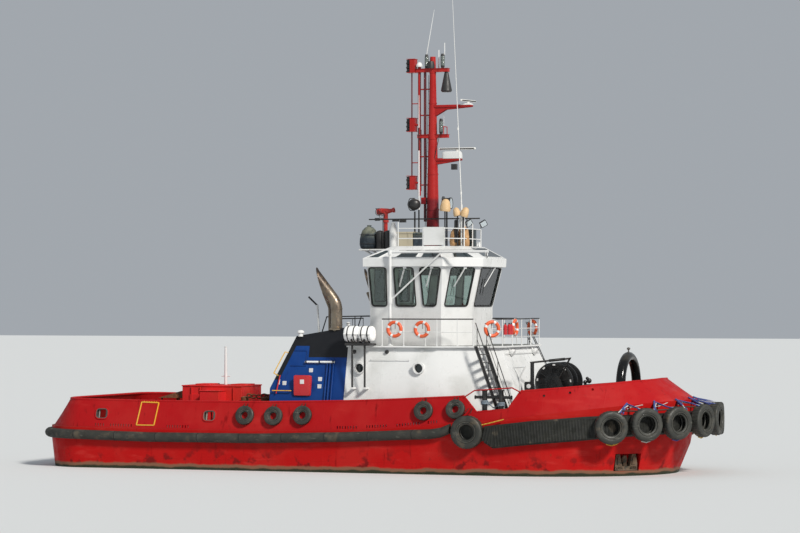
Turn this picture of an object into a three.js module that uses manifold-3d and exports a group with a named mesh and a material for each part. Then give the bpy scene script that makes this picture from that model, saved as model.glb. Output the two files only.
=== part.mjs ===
// Harbour tugboat with steerable stern thrusters, built as separate pieces.
// Millimetres, +X towards the bow, +Y to port, +Z up. The origin lies on the
// centreline amidships at the waterline.
import * as THREE from 'three';
import { mergeVertices } from 'three/addons/utils/BufferGeometryUtils.js';
import Module from 'manifold-3d';

const wasm = await Module();
wasm.setup();

const GAP = 0.3; // left between two pieces that rest on each other
const RUN = 6; // running clearance round a door
const STARBOARD = -1;
const PORT = 1;
const SIDES = [
  ['starboard', STARBOARD],
  ['port', PORT],
];

// Colours of the paint, rubber and bare metal.
const PAINT = {
  red: [0xb3272a, 0.45, 0.1],
  white: [0xe9ebea, 0.4, 0.05],
  blue: [0x1f4f96, 0.4, 0.1],
  black: [0x17181a, 0.5, 0.2],
  rubber: [0x1b1b1c, 0.9, 0.0],
  glass: [0x2c3a40, 0.08, 0.0],
  steel: [0x8a8c8d, 0.35, 0.9],
  bronze: [0xa8843f, 0.35, 0.9],
  scorched: [0x5b4a40, 0.6, 0.6],
  fabric: [0x2a2c30, 0.8, 0.0],
};

// Shape helpers. Each returns a manifold solid.

function solid(geometry) {
  const bare = new THREE.BufferGeometry();
  bare.setAttribute('position', geometry.getAttribute('position'));
  if (geometry.index) bare.setIndex(geometry.index);
  const merged = mergeVertices(bare, 1e-3);
  const points = merged.getAttribute('position');
  const faces = Uint32Array.from(merged.index.array);
  const [a, b, c] = [new THREE.Vector3(), new THREE.Vector3(), new THREE.Vector3()];
  let volume = 0;
  for (let i = 0; i < faces.length; i += 3) {
    a.fromBufferAttribute(points, faces[i]);
    b.fromBufferAttribute(points, faces[i + 1]);
    c.fromBufferAttribute(points, faces[i + 2]);
    volume += a.dot(b.cross(c));
  }
  if (volume < 0) {
    for (let i = 0; i < faces.length; i += 3) {
      [faces[i + 1], faces[i + 2]] = [faces[i + 2], faces[i + 1]];
    }
  }
  return new wasm.Manifold(
    new wasm.Mesh({
      numProp: 3,
      vertProperties: Float32Array.from(points.array),
      triVerts: faces,
    }),
  );
}

const join = (first, ...rest) => rest.reduce((whole, piece) => whole.add(piece), first);
const cut = (first, ...rest) => rest.reduce((whole, piece) => whole.subtract(piece), first);

function box(x0, x1, y0, y1, z0, z1) {
  const geometry = new THREE.BoxGeometry(x1 - x0, y1 - y0, z1 - z0);
  return solid(geometry.translate((x0 + x1) / 2, (y0 + y1) / 2, (z0 + z1) / 2));
}

// A straight round bar, or a cone, between two points.
function rod(from, to, radius, sides = 8, endRadius = radius) {
  const a = new THREE.Vector3(...from);
  const b = new THREE.Vector3(...to);
  const geometry = new THREE.CylinderGeometry(endRadius, radius, a.distanceTo(b), sides);
  const turn = new THREE.Quaternion().setFromUnitVectors(
    new THREE.Vector3(0, 1, 0),
    b.clone().sub(a).normalize(),
  );
  geometry.applyQuaternion(turn);
  const middle = a.add(b).multiplyScalar(0.5);
  return solid(geometry.translate(middle.x, middle.y, middle.z));
}

// Straight bars joined end to end through a list of points.
function pipe(points, radius, sides = 4) {
  const bars = [];
  for (let i = 0; i + 1 < points.length; i += 1) {
    bars.push(rod(points[i], points[i + 1], radius, sides));
  }
  return join(...bars);
}

// A round tube swept along a smooth curve through a few points.
function bentTube(points, radius, sides, steps) {
  const path = new THREE.CatmullRomCurve3(points.map((p) => new THREE.Vector3(...p)));
  const section = new THREE.Shape();
  for (let i = 0; i < sides; i += 1) {
    const angle = (2 * Math.PI * i) / sides;
    const [u, v] = [radius * Math.cos(angle), radius * Math.sin(angle)];
    if (i === 0) section.moveTo(u, v);
    else section.lineTo(u, v);
  }
  section.closePath();
  return solid(new THREE.ExtrudeGeometry(section, { steps, extrudePath: path, bevelEnabled: false }));
}

// A flat outline of [x, y] points pulled up from one height to another.
function slab(outline, z0, z1) {
  const shape = new THREE.Shape(outline.map(([x, y]) => new THREE.Vector2(x, y)));
  const geometry = new THREE.ExtrudeGeometry(shape, { depth: z1 - z0, bevelEnabled: false });
  return solid(geometry.translate(0, 0, z0));
}

// A side profile of [x, z] points pulled across from one y to another.
function profile(outline, y0, y1) {
  const shape = new THREE.Shape(outline.map(([x, z]) => new THREE.Vector2(x, z)));
  const geometry = new THREE.ExtrudeGeometry(shape, { depth: y1 - y0, bevelEnabled: false });
  return solid(geometry.rotateX(Math.PI / 2).translate(0, y1, 0));
}

// A turned shape from [radius, height] points, on an axis that points along +Z.
function turned(points, sides) {
  const line = points.map(([r, h]) => new THREE.Vector2(r, h));
  return new THREE.LatheGeometry(line, sides).rotateX(Math.PI / 2);
}

// A skin through rings of points, with both ends closed by strips across.
function loft(rings) {
  const count = rings[0].length;
  const vertices = rings.flat(2);
  const faces = [];
  for (let r = 0; r + 1 < rings.length; r += 1) {
    for (let i = 0; i < count; i += 1) {
      const j = (i + 1) % count;
      const [a, b] = [r * count + i, r * count + j];
      faces.push(a, b, b + count, a, b + count, a + count);
    }
  }
  const last = (rings.length - 1) * count;
  for (let i = 0, j = count - 1; i + 1 < j; i += 1, j -= 1) {
    faces.push(i, j, i + 1, last + i, last + i + 1, last + j);
    if (i + 2 < j) faces.push(i + 1, j, j - 1, last + i + 1, last + j - 1, last + j);
  }
  const geometry = new THREE.BufferGeometry();
  geometry.setAttribute('position', new THREE.Float32BufferAttribute(vertices, 3));
  geometry.setIndex(faces);
  return solid(geometry);
}

const mirrored = (piece, side) => (side === STARBOARD ? piece : piece.mirror([0, 1, 0]));

const tug = new THREE.Group();

function add(name, piece, [color, roughness, metalness]) {
  const { vertProperties, triVerts } = piece.getMesh();
  const geometry = new THREE.BufferGeometry();
  geometry.setAttribute('position', new THREE.BufferAttribute(vertProperties, 3));
  geometry.setIndex(new THREE.BufferAttribute(triVerts, 1));
  const material = new THREE.MeshStandardMaterial({ color, roughness, metalness });
  const mesh = new THREE.Mesh(geometry, material);
  mesh.name = name;
  tug.add(mesh);
}

// Straight-line reading of a height from a table of [x, z] rows.
function heightAt(table, x) {
  if (x <= table[0][0]) return table[0][1];
  for (let i = 1; i < table.length; i += 1) {
    const [x0, z0] = table[i - 1];
    const [x1, z1] = table[i];
    if (x <= x1) return z0 + ((z1 - z0) * (x - x0)) / (x1 - x0);
  }
  return table[table.length - 1][1];
}

// Hull: a decked steel hull with a round stern corner, a flat run over the
// thrusters and a full round bow.
const DECK_EDGE = [ // x, height of the deck edge
  [-14200, 1750], [-9000, 1680], [-4000, 1680], [0, 1750], [2000, 1860],
  [4000, 2060], [6000, 2230], [8000, 2450], [10000, 2700], [12000, 2930], [13400, 3050],
];
const WATERLINES = [ // z, x of the transom, corner radius, half beam, x of the bow curve, x of the stem
  [-3300, -1500, 900, 2500, 1500, 9000],
  [-2700, -4600, 1000, 3700, 3000, 10700],
  [-1750, -7700, 1000, 4300, 4800, 11700],
  [-1350, -12300, 1100, 4450, 5400, 12000],
  [-700, -13500, 1500, 4600, 6000, 12250],
  [0, -14050, 1800, 4720, 6500, 12550],
  [1200, -14200, 1900, 4800, 7000, 13050],
  [null, -14200, 1900, 4800, 7000, 13400],
];
const CORNER_STEPS = 4;
const SIDE_STEPS = 8;
const BOW_STEPS = 9;

// Half of a plan outline, stern centre to bow centre on the starboard side,
// as points with their outward direction.
function halfPlan(aft, corner, half, run, fore, grow = 0) {
  const points = [{ x: aft - grow, y: 0, nx: -1, ny: 0 }];
  for (let i = 0; i <= CORNER_STEPS; i += 1) {
    const angle = (Math.PI / 2) * (i / CORNER_STEPS);
    const [nx, ny] = [-Math.cos(angle), -Math.sin(angle)];
    points.push({
      x: aft + corner + (corner + grow) * nx,
      y: -(half - corner) + (corner + grow) * ny,
      nx,
      ny,
    });
  }
  for (let i = 1; i <= SIDE_STEPS; i += 1) {
    const x = aft + corner + ((run - aft - corner) * i) / SIDE_STEPS;
    points.push({ x, y: -half - grow, nx: 0, ny: -1 });
  }
  for (let i = 1; i <= BOW_STEPS; i += 1) {
    const angle = (Math.PI / 2) * (i / BOW_STEPS);
    const [nx, ny] = [Math.sin(angle) / (fore - run), -Math.cos(angle) / half];
    const size = Math.hypot(nx, ny);
    points.push({
      x: run + (fore - run + grow) * Math.sin(angle),
      y: -(half + grow) * Math.cos(angle),
      nx: nx / size,
      ny: ny / size,
    });
  }
  points[points.length - 1].y = 0;
  return points;
}

function hullShape(grow) {
  const rings = WATERLINES.map(([z, ...plan]) => {
    const half = halfPlan(...plan, grow);
    const level = (p) => (z === null ? heightAt(DECK_EDGE, p.x) + grow : z);
    const starboard = half.map((p) => [p.x, p.y, level(p)]);
    const port = half.slice(1, -1).reverse().map((p) => [p.x, -p.y, level(p)]);
    return [...starboard, ...port];
  });
  return loft(rings);
}

const hullCutter = hullShape(GAP);
const DECK_PLAN = WATERLINES[WATERLINES.length - 1].slice(1);
const HALF_BEAM = DECK_PLAN[2];

// Skeg: a deep centreline fin under the run, part of the hull.
const SKEG = { foot: -3300, aft: -8600, fore: -1000, width: 320 };
const skeg = profile(
  [
    [SKEG.aft, -1500],
    [SKEG.aft + 500, SKEG.foot],
    [SKEG.fore, SKEG.foot],
    [SKEG.fore + 1500, -2000],
  ],
  -SKEG.width / 2,
  SKEG.width / 2,
);

// Anchor pockets: square recesses on each bow, set square to the plating.
const POCKET = { x: 11350, y: -3050, z: 560, width: 1150, height: 700, depth: 420, turn: 42 };
function pocketPiece(geometry) {
  const angle = THREE.MathUtils.degToRad(POCKET.turn);
  return solid(geometry.rotateZ(angle).translate(POCKET.x, POCKET.y, POCKET.z));
}
const pocketHole = pocketPiece(
  new THREE.BoxGeometry(POCKET.width, 2 * POCKET.depth, POCKET.height),
);
// Thruster pads: flat round seats under the sloping hull bottom.
const PAD = { x: -10300, y: -2400, radius: 620, top: -1400, foot: -1760 };
const pad = rod([PAD.x, PAD.y, PAD.top], [PAD.x, PAD.y, PAD.foot], PAD.radius, 20);
const hull = cut(
  join(hullShape(0), skeg, pad, pad.mirror([0, 1, 0])),
  pocketHole,
  pocketHole.mirror([0, 1, 0]),
);
add('hull', hull, PAINT.red);

// A strip that follows the hull's plan: each station has a point and an outward
// direction, and section(station) gives the [out, z] corners there.
function strip(stations, section) {
  return loft(
    stations.map((s) => section(s).map(([out, z]) => [s.x + s.nx * out, s.y + s.ny * out, z])),
  );
}

// Bulwark: plating on the deck edge that leans in, most at the bow and stern,
// notched at the side gate and pierced by the fairleads.
const BULWARK_TOP = [ // x, height of the top edge
  [-14200, 2900], [-9000, 2830], [-4000, 2840], [0, 2930], [2000, 3020], [4900, 3170],
  [7300, 3400], [9000, 3530], [10600, 3660], [12000, 3780], [13400, 3840],
];
const BULWARK = { inset: 60, plate: 70, leanSide: 280, leanStern: 960, leanBow: 1300, foot: 60 };
const GATE = [ // x, z of the corners of the notch
  [4900, 3500], [4900, 3166], [5470, 2560], [6810, 2683], [7290, 3390], [7290, 3700],
];
const FAIRLEADS = [[-11230, 2290], [-6280, 2256]]; // x, z of the centres
const FAIRLEAD = { width: 540, height: 420 };

function bulwarkLean(s) {
  const end = s.nx > 0 ? BULWARK.leanBow : BULWARK.leanStern;
  return BULWARK.leanSide + (end - BULWARK.leanSide) * Math.abs(s.nx) ** 1.5;
}

const deckEdge = halfPlan(...DECK_PLAN);
const sampled = (table) => deckEdge.map((s) => [s.x, heightAt(table, s.x)]);
const deckLine = sampled(DECK_EDGE);
const bulwarkLine = sampled(BULWARK_TOP);
const half = deckEdge.map((s) => ({ ...s, y: Math.min(s.y, -GAP) }));
const plateShape = (grow) => strip(half, (s) => {
  const [foot, top] = [heightAt(DECK_EDGE, s.x), heightAt(BULWARK_TOP, s.x)];
  const low = grow - BULWARK.inset;
  const high = low - bulwarkLean(s);
  return [
    [low, foot - BULWARK.foot],
    [high, top],
    [high - BULWARK.plate, top],
    [low - BULWARK.plate, foot - BULWARK.foot],
  ];
});
const GATE_RAIL = [ // x, y, z of the guard rail over the gate
  [4880, -4480, 3130], [5350, -4480, 3425], [6950, -4480, 3546], [7330, -4480, 3360],
];
const sideHole = (x, z, geometry) => solid(geometry.translate(x, -HALF_BEAM, z));
const bulwark = cut(
  join(
    cut(plateShape(0), profile(GATE, -6000, -3000)),
    pipe(GATE_RAIL, 28),
  ),
  hullCutter,
  ...FAIRLEADS.map(([x, z]) =>
    sideHole(x, z, new THREE.BoxGeometry(FAIRLEAD.width, 2000, FAIRLEAD.height))),
);
for (const [name, side] of SIDES) {
  add(`bulwark_${name}`, mirrored(bulwark, side), PAINT.red);
}

// Belt fenders: a D-shaped rubber along each side, in two lengths that butt
// together at the middle of the stern.
const BELT = { out: 300, half: 200, root: 80, fore: 4450 };
const BELT_HEIGHT = [ // x, height of the middle
  [-14200, 1440], [-12000, 1400], [-9000, 1340], [-4000, 1360], [0, 1480], [3900, 1665], [4450, 1890],
];
const sternHalf = halfPlan(...WATERLINES[WATERLINES.length - 2].slice(1)).slice(0, CORNER_STEPS + 2);
const beltSide = [-9000, -6500, -4000, 0, 3900, BELT.fore].map((x) => ({
  x, y: -HALF_BEAM, nx: 0, ny: -1,
}));
const beltStations = [...sternHalf, ...beltSide].map((s) => ({ ...s, y: Math.min(s.y, -GAP / 2) }));
const beltFender = cut(strip(beltStations, (s) => {
  const z = heightAt(BELT_HEIGHT, s.x);
  return [
    [-BELT.root, z - BELT.half],
    [BELT.out / 2, z - BELT.half],
    [BELT.out, z - BELT.half / 2],
    [BELT.out, z + BELT.half / 2],
    [BELT.out / 2, z + BELT.half],
    [-BELT.root, z + BELT.half],
  ];
}), hullCutter);
for (const [name, side] of SIDES) {
  add(`belt_fender_${name}`, mirrored(beltFender, side), PAINT.rubber);
}

// Bow fender: ribbed rubber blocks from the side gate round the stem.
const BOW_FENDER = { aft: 5930, side: 320, stem: 640, root: 260, bevel: 120 };
const BOW_FENDER_TOP = [ // x, height
  [5930, 2010], [7860, 2240], [9950, 2420], [10800, 2460], [13400, 2560],
];
const BOW_FENDER_FOOT = [ // x, height
  [5930, 1340], [6300, 1120], [7860, 1290], [9950, 1480], [10800, 1580], [13400, 1750],
];
const bowCurve = deckEdge.slice(-BOW_STEPS - 1);
const bowSide = [BOW_FENDER.aft, 6300].map((x) => ({ x, y: -HALF_BEAM, nx: 0, ny: -1 }));
const bowStarboard = [...bowSide, ...bowCurve];
const bowPort = bowStarboard.slice(0, -1).reverse().map((s) => ({ ...s, y: -s.y, ny: -s.ny }));
const fenderOut = (s) =>
  BOW_FENDER.side + (BOW_FENDER.stem - BOW_FENDER.side) * Math.max(s.nx, 0) ** 1.5;
const bowFenderShape = (grow) => strip([...bowStarboard, ...bowPort], (s) => {
  const out = fenderOut(s) + grow;
  const [foot, top] = [heightAt(BOW_FENDER_FOOT, s.x), heightAt(BOW_FENDER_TOP, s.x)];
  const root = -BOW_FENDER.root - 200 * Math.max(s.nx, 0);
  return [
    [root, foot],
    [out - BOW_FENDER.bevel, foot],
    [out, foot + BOW_FENDER.bevel],
    [out, top - BOW_FENDER.bevel],
    [out - BOW_FENDER.bevel, top],
    [root, top],
  ];
});
add('bow_fender', cut(bowFenderShape(0), hullCutter), PAINT.rubber);

// Tyres: closed rings with a round shoulder, on an axis that points along +Z.
function tyre(radius, hole, width, sides = 12) {
  const shoulder = 0.86 * radius;
  return turned(
    [
      [hole, -0.5 * width],
      [shoulder, -0.5 * width],
      [radius, -0.2 * width],
      [radius, 0.2 * width],
      [shoulder, 0.5 * width],
      [hole, 0.5 * width],
      [hole, -0.5 * width],
    ],
    sides,
  );
}

// Turns a ring so that its axis points out along [nx, ny, nz], and places it.
function hung(geometry, x, y, z, nx, ny, nz) {
  const turn = new THREE.Quaternion().setFromUnitVectors(
    new THREE.Vector3(0, 0, 1),
    new THREE.Vector3(nx, ny, nz).normalize(),
  );
  return solid(geometry.applyQuaternion(turn).translate(x, y, z));
}

// Bow tyres: nine large tyres chained side by side round the stem.
const BOW_TYRE = { radius: 670, hole: 340, width: 420, chain: 34 };
const BOW_TYRES = [ // degrees round the bow curve from abeam, height of the centre
  [36, 2000], [49.2, 2110], [62.5, 2150], [77, 2210], [90, 2240],
];
const bowTyreSpots = [STARBOARD, PORT].flatMap((side) => {
  const [, , halfBeam, run, fore] = DECK_PLAN;
  const rows = side === STARBOARD ? BOW_TYRES : BOW_TYRES.slice(0, -1);
  const spots = rows.map(([angle, z]) => {
    const turn = THREE.MathUtils.degToRad(angle);
    const normal = new THREE.Vector2(Math.sin(turn) / (fore - run), -Math.cos(turn) / halfBeam);
    normal.normalize();
    const out = fenderOut({ nx: normal.x }) + BOW_TYRE.width / 2 - 2;
    const x = run + (fore - run) * Math.sin(turn) + out * normal.x;
    const y = -halfBeam * Math.cos(turn) + out * normal.y;
    return { x, y: -side * y, z, nx: normal.x, ny: -side * normal.y };
  });
  return side === STARBOARD ? spots : spots.reverse();
});
const bowChain = pipe(
  bowTyreSpots.map((s) => [s.x, s.y, s.z + 0.72 * BOW_TYRE.radius]),
  BOW_TYRE.chain,
);
const bowTyres = join(
  bowChain,
  ...bowTyreSpots.map((s) =>
    hung(tyre(BOW_TYRE.radius, BOW_TYRE.hole, BOW_TYRE.width), s.x, s.y, s.z, s.nx, s.ny, 0)),
);
add('bow_tyres', cut(bowTyres, bowFenderShape(GAP)), PAINT.rubber);

// Side tyre: one large tyre flat on the plating between the two fenders.
const SIDE_TYRE = { x: 5215, z: 1760, radius: 672, hole: 300, width: 440 };
const sideTyre = hung(
  tyre(SIDE_TYRE.radius, SIDE_TYRE.hole, SIDE_TYRE.width),
  SIDE_TYRE.x, -HALF_BEAM - SIDE_TYRE.width / 2 - GAP, SIDE_TYRE.z, 0, -1, 0,
);
for (const [name, side] of SIDES) {
  add(`side_tyre_${name}`, mirrored(sideTyre, side), PAINT.rubber);
}

// Bulwark tyres: five small tyres on each side, flat on the leaning plating.
const SMALL_TYRE = { radius: 405, hole: 150, width: 200 };
const SMALL_TYRES = [ // x, z
  [-4645, 2275], [-3358, 2267], [-2063, 2309], [3226, 2562], [4600, 2640],
];
SMALL_TYRES.forEach(([x, z], i) => {
  const foot = heightAt(deckLine, x) - BULWARK.foot;
  const slope = BULWARK.leanSide / (heightAt(bulwarkLine, x) - foot);
  const face = -HALF_BEAM + BULWARK.inset + slope * (z - foot);
  const out = (SMALL_TYRE.width / 2 - 1) * Math.hypot(1, slope);
  const ring = cut(
    hung(tyre(SMALL_TYRE.radius, SMALL_TYRE.hole, SMALL_TYRE.width, 10), x, face - out, z, 0, -1, slope),
    plateShape(GAP),
  );
  for (const [name, side] of SIDES) {
    add(`bulwark_tyre_${name}_${i + 1}`, mirrored(ring, side), PAINT.rubber);
  }
});

// House outlines: a long room with straight sides, two cheeks and a flat front.
// The offsets move the side, cheek, front and aft walls outwards.
function houseOutline({ aft, side, bend, fore, cheek }, { out = 0, face = out, front = out, back = 0 }) {
  const [dx, dy] = [fore - bend, side - cheek];
  const size = Math.hypot(dx, dy);
  const [nx, ny] = [dy / size, dx / size];
  const reach = nx * bend + ny * side + face;
  const [wide, ahead, behind] = [side + out, fore + front, aft - back];
  const corners = [
    [behind, -wide],
    [(reach - ny * wide) / nx, -wide],
    [ahead, -(reach - nx * ahead) / ny],
  ];
  return [...corners, ...corners.slice().reverse().map(([x, y]) => [x, -y])];
}
const atHeight = (outline, z) => outline.map(([x, y]) => [x, y, z]);

// Deckhouse: white steel house whose sides and front lean in, with the bridge
// deck on top of it and a doorway aft.
const HOUSE = { aft: -600, side: 3250, bend: 3300, fore: 5800, cheek: 2450 };
const HOUSE_FOOT = { z: 1500, out: 875, face: 1210, front: 1600 };
const HOUSE_WALL = 80;
const BRIDGE_DECK = { z: 5200, plate: 70, edge: 180 };
const DOOR = { width: 760, height: 1900, leaf: 50, lap: 40 };
const DECK_DOOR = { y: 0, sill: 1980, x: -600 };
const BRIDGE_DOOR = { y: 0, sill: 5420, x: 100 };
const ALCOVE_ROOF = { aft: -1700, side: 1850 };

const houseTop = BRIDGE_DECK.z - BRIDGE_DECK.plate;
const footShare = (z) => (houseTop - z) / (houseTop - HOUSE_FOOT.z);
const houseAt = (z, inset) => atHeight(
  houseOutline(HOUSE, {
    out: HOUSE_FOOT.out * footShare(z) - inset,
    face: HOUSE_FOOT.face * footShare(z) - inset,
    front: HOUSE_FOOT.front * footShare(z) - inset,
    back: -inset,
  }),
  z,
);
const doorHole = (door) => box(
  door.x - 400, door.x + 400,
  door.y - DOOR.width / 2, door.y + DOOR.width / 2,
  door.sill, door.sill + DOOR.height,
);

// Door hinges: two lugs on the wall for each barrel on the leaf, port side.
const HINGE = { radius: 22, set: 28, barrel: 120, lug: 40, lugHalf: 14, heights: [0.18, 0.82] };
const hingeX = (door) => door.x - RUN - DOOR.leaf / 2;
const hingeY = (door) => door.y + DOOR.width / 2 + DOOR.lap + HINGE.set;
const barrelFoot = (door, share) => door.sill + DOOR.height * share - HINGE.barrel / 2;
function hingeLugs(door) {
  const lugs = HINGE.heights.flatMap((share) => {
    const foot = barrelFoot(door, share);
    return [foot - GAP - HINGE.lug, foot + HINGE.barrel + GAP].map((z) => box(
      hingeX(door) - HINGE.lugHalf, door.x + 20,
      hingeY(door) - HINGE.lugHalf, hingeY(door) + HINGE.lugHalf,
      z, z + HINGE.lug,
    ));
  });
  return join(...lugs);
}
function doorLeaf(door) {
  const [near, far] = [door.x - RUN, door.x - RUN - DOOR.leaf];
  const wide = DOOR.width / 2 + DOOR.lap;
  const leaf = box(
    far, near, door.y - wide, door.y + wide,
    door.sill - DOOR.lap, door.sill + DOOR.height + DOOR.lap,
  );
  const barrels = HINGE.heights.map((share) => join(
    rod(
      [hingeX(door), hingeY(door), barrelFoot(door, share)],
      [hingeX(door), hingeY(door), barrelFoot(door, share) + HINGE.barrel],
      HINGE.radius, 10,
    ),
    box(
      hingeX(door) - 8, hingeX(door) + 8, door.y + wide - 10, hingeY(door),
      barrelFoot(door, share) + 20, barrelFoot(door, share) + HINGE.barrel - 20,
    ),
  ));
  return join(leaf, ...barrels);
}

const bridgeDeck = slab(
  houseOutline(HOUSE, { out: BRIDGE_DECK.edge, back: 0 }),
  houseTop, BRIDGE_DECK.z,
);
const alcoveRoof = box(
  ALCOVE_ROOF.aft, HOUSE.aft + 100, -ALCOVE_ROOF.side, ALCOVE_ROOF.side, houseTop, BRIDGE_DECK.z,
);
const deckhouse = cut(
  join(
    loft([houseAt(HOUSE_FOOT.z, 0), houseAt(houseTop, 0)]),
    bridgeDeck,
    alcoveRoof,
    hingeLugs(DECK_DOOR),
  ),
  loft([houseAt(HOUSE_FOOT.z - 100, HOUSE_WALL), houseAt(houseTop - 10, HOUSE_WALL)]),
  doorHole(DECK_DOOR),
  hullCutter,
);
add('deckhouse_door', doorLeaf(DECK_DOOR), PAINT.white);

// Funnel casings: blue steel casings behind the house, one on each side, with
// a sloping top and aft edge. Each carries an exhaust that bends aft and ends
// in a scoop-shaped mouth.
const CASING_SIDE = [ // x, z round the side, from the foot aft
  [-3850, 1500], [-3950, 3400], [-2960, 5580], [-760, 5950], [-600 - GAP, 5300], [-600 - GAP, 1500],
];
const CASING_INNER = 1900;
const houseSideY = (z) => -(HOUSE.side + HOUSE_FOOT.out * footShare(z));
const casing = cut(
  loft([
    CASING_SIDE.map(([x, z]) => [x, houseSideY(z), z]),
    CASING_SIDE.map(([x, z]) => [x, -CASING_INNER, z]),
  ]),
  hullCutter,
);
const EXHAUST = { x: -1268, y: -2850, foot: 5830, bend: 7000, tip: 8040, aft: 831, radius: 240, wall: 30 };
const EXHAUST_MOUTH = [ // x, z of what the upright mouth takes off the pipe's end
  [-1658, 6900], [-2085, 8220], [-3000, 8220], [-3000, 6900],
];
const exhaustUpper = (share, radius) => rod(
  [EXHAUST.x, EXHAUST.y, EXHAUST.bend - 60],
  [
    EXHAUST.x - EXHAUST.aft * share, EXHAUST.y,
    EXHAUST.bend - 60 + (EXHAUST.tip - EXHAUST.bend) * share,
  ],
  radius, 12,
);
const exhaust = cut(
  join(
    rod(
      [EXHAUST.x, EXHAUST.y, EXHAUST.foot - 200], [EXHAUST.x, EXHAUST.y, EXHAUST.bend],
      EXHAUST.radius, 12,
    ),
    exhaustUpper(1, EXHAUST.radius),
  ),
  exhaustUpper(1.5, EXHAUST.radius - EXHAUST.wall),
  profile(EXHAUST_MOUTH, EXHAUST.y - 400, EXHAUST.y + 400),
  casing.translate([0, 0, GAP]),
);
for (const [name, side] of SIDES) {
  add(`funnel_casing_${name}`, mirrored(casing, side), PAINT.blue);
  add(`exhaust_${name}`, mirrored(exhaust, side), PAINT.scorched);
}

// Life rafts: white canisters in cradles over the side deck, each cradle on two
// legs that are welded to the leaning house side.
const RAFT = { x0: -520, x1: 760, y: -3790, z: 5690, radius: 330 };
const raftShape = join(
  rod([RAFT.x0 + 120, RAFT.y, RAFT.z], [RAFT.x1 - 120, RAFT.y, RAFT.z], RAFT.radius, 14),
  rod(
    [RAFT.x0, RAFT.y, RAFT.z], [RAFT.x0 + 121, RAFT.y, RAFT.z],
    0.72 * RAFT.radius, 14, RAFT.radius,
  ),
  rod(
    [RAFT.x1 - 121, RAFT.y, RAFT.z], [RAFT.x1, RAFT.y, RAFT.z],
    RAFT.radius, 14, 0.72 * RAFT.radius,
  ),
);
const CRADLE = { z: 5190, beam: 130, feet: [-140, 410], foot: 3460, leg: 38 };
const houseInside = loft([houseAt(HOUSE_FOOT.z - 100, HOUSE_WALL), houseAt(houseTop - 10, HOUSE_WALL)]);
const cradleShape = cut(
  join(
    box(RAFT.x0 + 100, RAFT.x1 - 100, RAFT.y - 300, RAFT.y + 490, CRADLE.z, CRADLE.z + CRADLE.beam),
    ...CRADLE.feet.flatMap((x) => [
      box(x - 30, x + 30, RAFT.y - 280, RAFT.y + 280, CRADLE.z + 30, RAFT.z - 120),
      rod([x, RAFT.y - 180, CRADLE.foot], [x, RAFT.y - 180, CRADLE.z + 10], CRADLE.leg, 8),
      box(x - 60, x + 60, RAFT.y - 240, RAFT.y + 200, CRADLE.foot - 40, CRADLE.foot + 20),
    ]),
  ),
  rod([RAFT.x0 - 10, RAFT.y, RAFT.z], [RAFT.x1 + 10, RAFT.y, RAFT.z], RAFT.radius + GAP, 14),
  houseInside,
);
for (const [name, side] of SIDES) {
  add(`life_raft_${name}`, mirrored(raftShape, side), PAINT.white);
}

// Bridge deck rail: posts and two bars round the deck, with seven lifebuoys on
// it. It is open at the head of each stair and round the rafts.
const RAIL = { post: 24, bar: 20, top: 1100, middle: 560 };
const RAIL_LINES = [ // x, y of the posts on the starboard side, foot of the run first
  [[950, 3370], [1900, 3370], [2850, 3370], [3340, 3360], [4150, 3105], [4780, 2905]],
  [[5500, 2680], [5900, 2520], [5920, 1260], [5920, 0]],
  [[-1640, 0], [-1640, 1280]],
];
const railTop = BRIDGE_DECK.z + RAIL.top;
const railRun = (line, side, foot = GAP) => {
  const at = (z) => line.map(([x, y]) => [x, side * y, BRIDGE_DECK.z + z]);
  const posts = at(RAIL.top).map(([x, y, z]) =>
    rod([x, y, BRIDGE_DECK.z + foot], [x, y, z], RAIL.post, 4));
  return join(pipe(at(RAIL.top), RAIL.bar), pipe(at(RAIL.middle), RAIL.bar), ...posts);
};
const LIFEBUOY = { outer: 360, inner: 215, thick: 100 };
const lifebuoy = () => turned(
  [
    [LIFEBUOY.inner, -LIFEBUOY.thick / 4], [LIFEBUOY.outer - 40, -LIFEBUOY.thick / 2],
    [LIFEBUOY.outer, 0], [LIFEBUOY.outer - 40, LIFEBUOY.thick / 2],
    [LIFEBUOY.inner, LIFEBUOY.thick / 4], [LIFEBUOY.inner, -LIFEBUOY.thick / 4],
  ],
  12,
);
const BUOYS = [[1510, 3370], [2710, 3370]]; // x, y of the lifebuoys on each side rail
const CORNER_BUOY = { x: 5600, y: 2690, nx: 0.35 };
const BUOY_DROP = 420;
const sideBuoys = SIDES.flatMap(([, side]) => BUOYS.map(([x, y]) =>
  hung(lifebuoy(), x, side * (y + 40), railTop - BUOY_DROP, 0, side, 0)));
const frontBuoy = hung(lifebuoy(), 5960, -1020, railTop - BUOY_DROP, 1, 0, 0);
const cornerBuoys = SIDES.map(([, side]) => hung(
  lifebuoy(), CORNER_BUOY.x, side * CORNER_BUOY.y, railTop - BUOY_DROP, CORNER_BUOY.nx, side, 0,
));
const sideRail = (side) => railRun(RAIL_LINES[0], side);
const frontRail = join(
  railRun(RAIL_LINES[1], STARBOARD), railRun(RAIL_LINES[1], PORT), frontBuoy, ...cornerBuoys,
);
const aftRail = join(railRun(RAIL_LINES[2], STARBOARD, -20), railRun(RAIL_LINES[2], PORT, -20));
for (const [name, side] of SIDES) {
  const near = sideBuoys.filter((_, i) => (i < BUOYS.length) === (side === STARBOARD));
  add(`bridge_rail_${name}`, join(sideRail(side), ...near), PAINT.black);
}
add('bridge_rail_front', frontRail, PAINT.black);
add('deckhouse', join(deckhouse, aftRail, cradleShape, mirrored(cradleShape, PORT)), PAINT.white);

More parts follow.
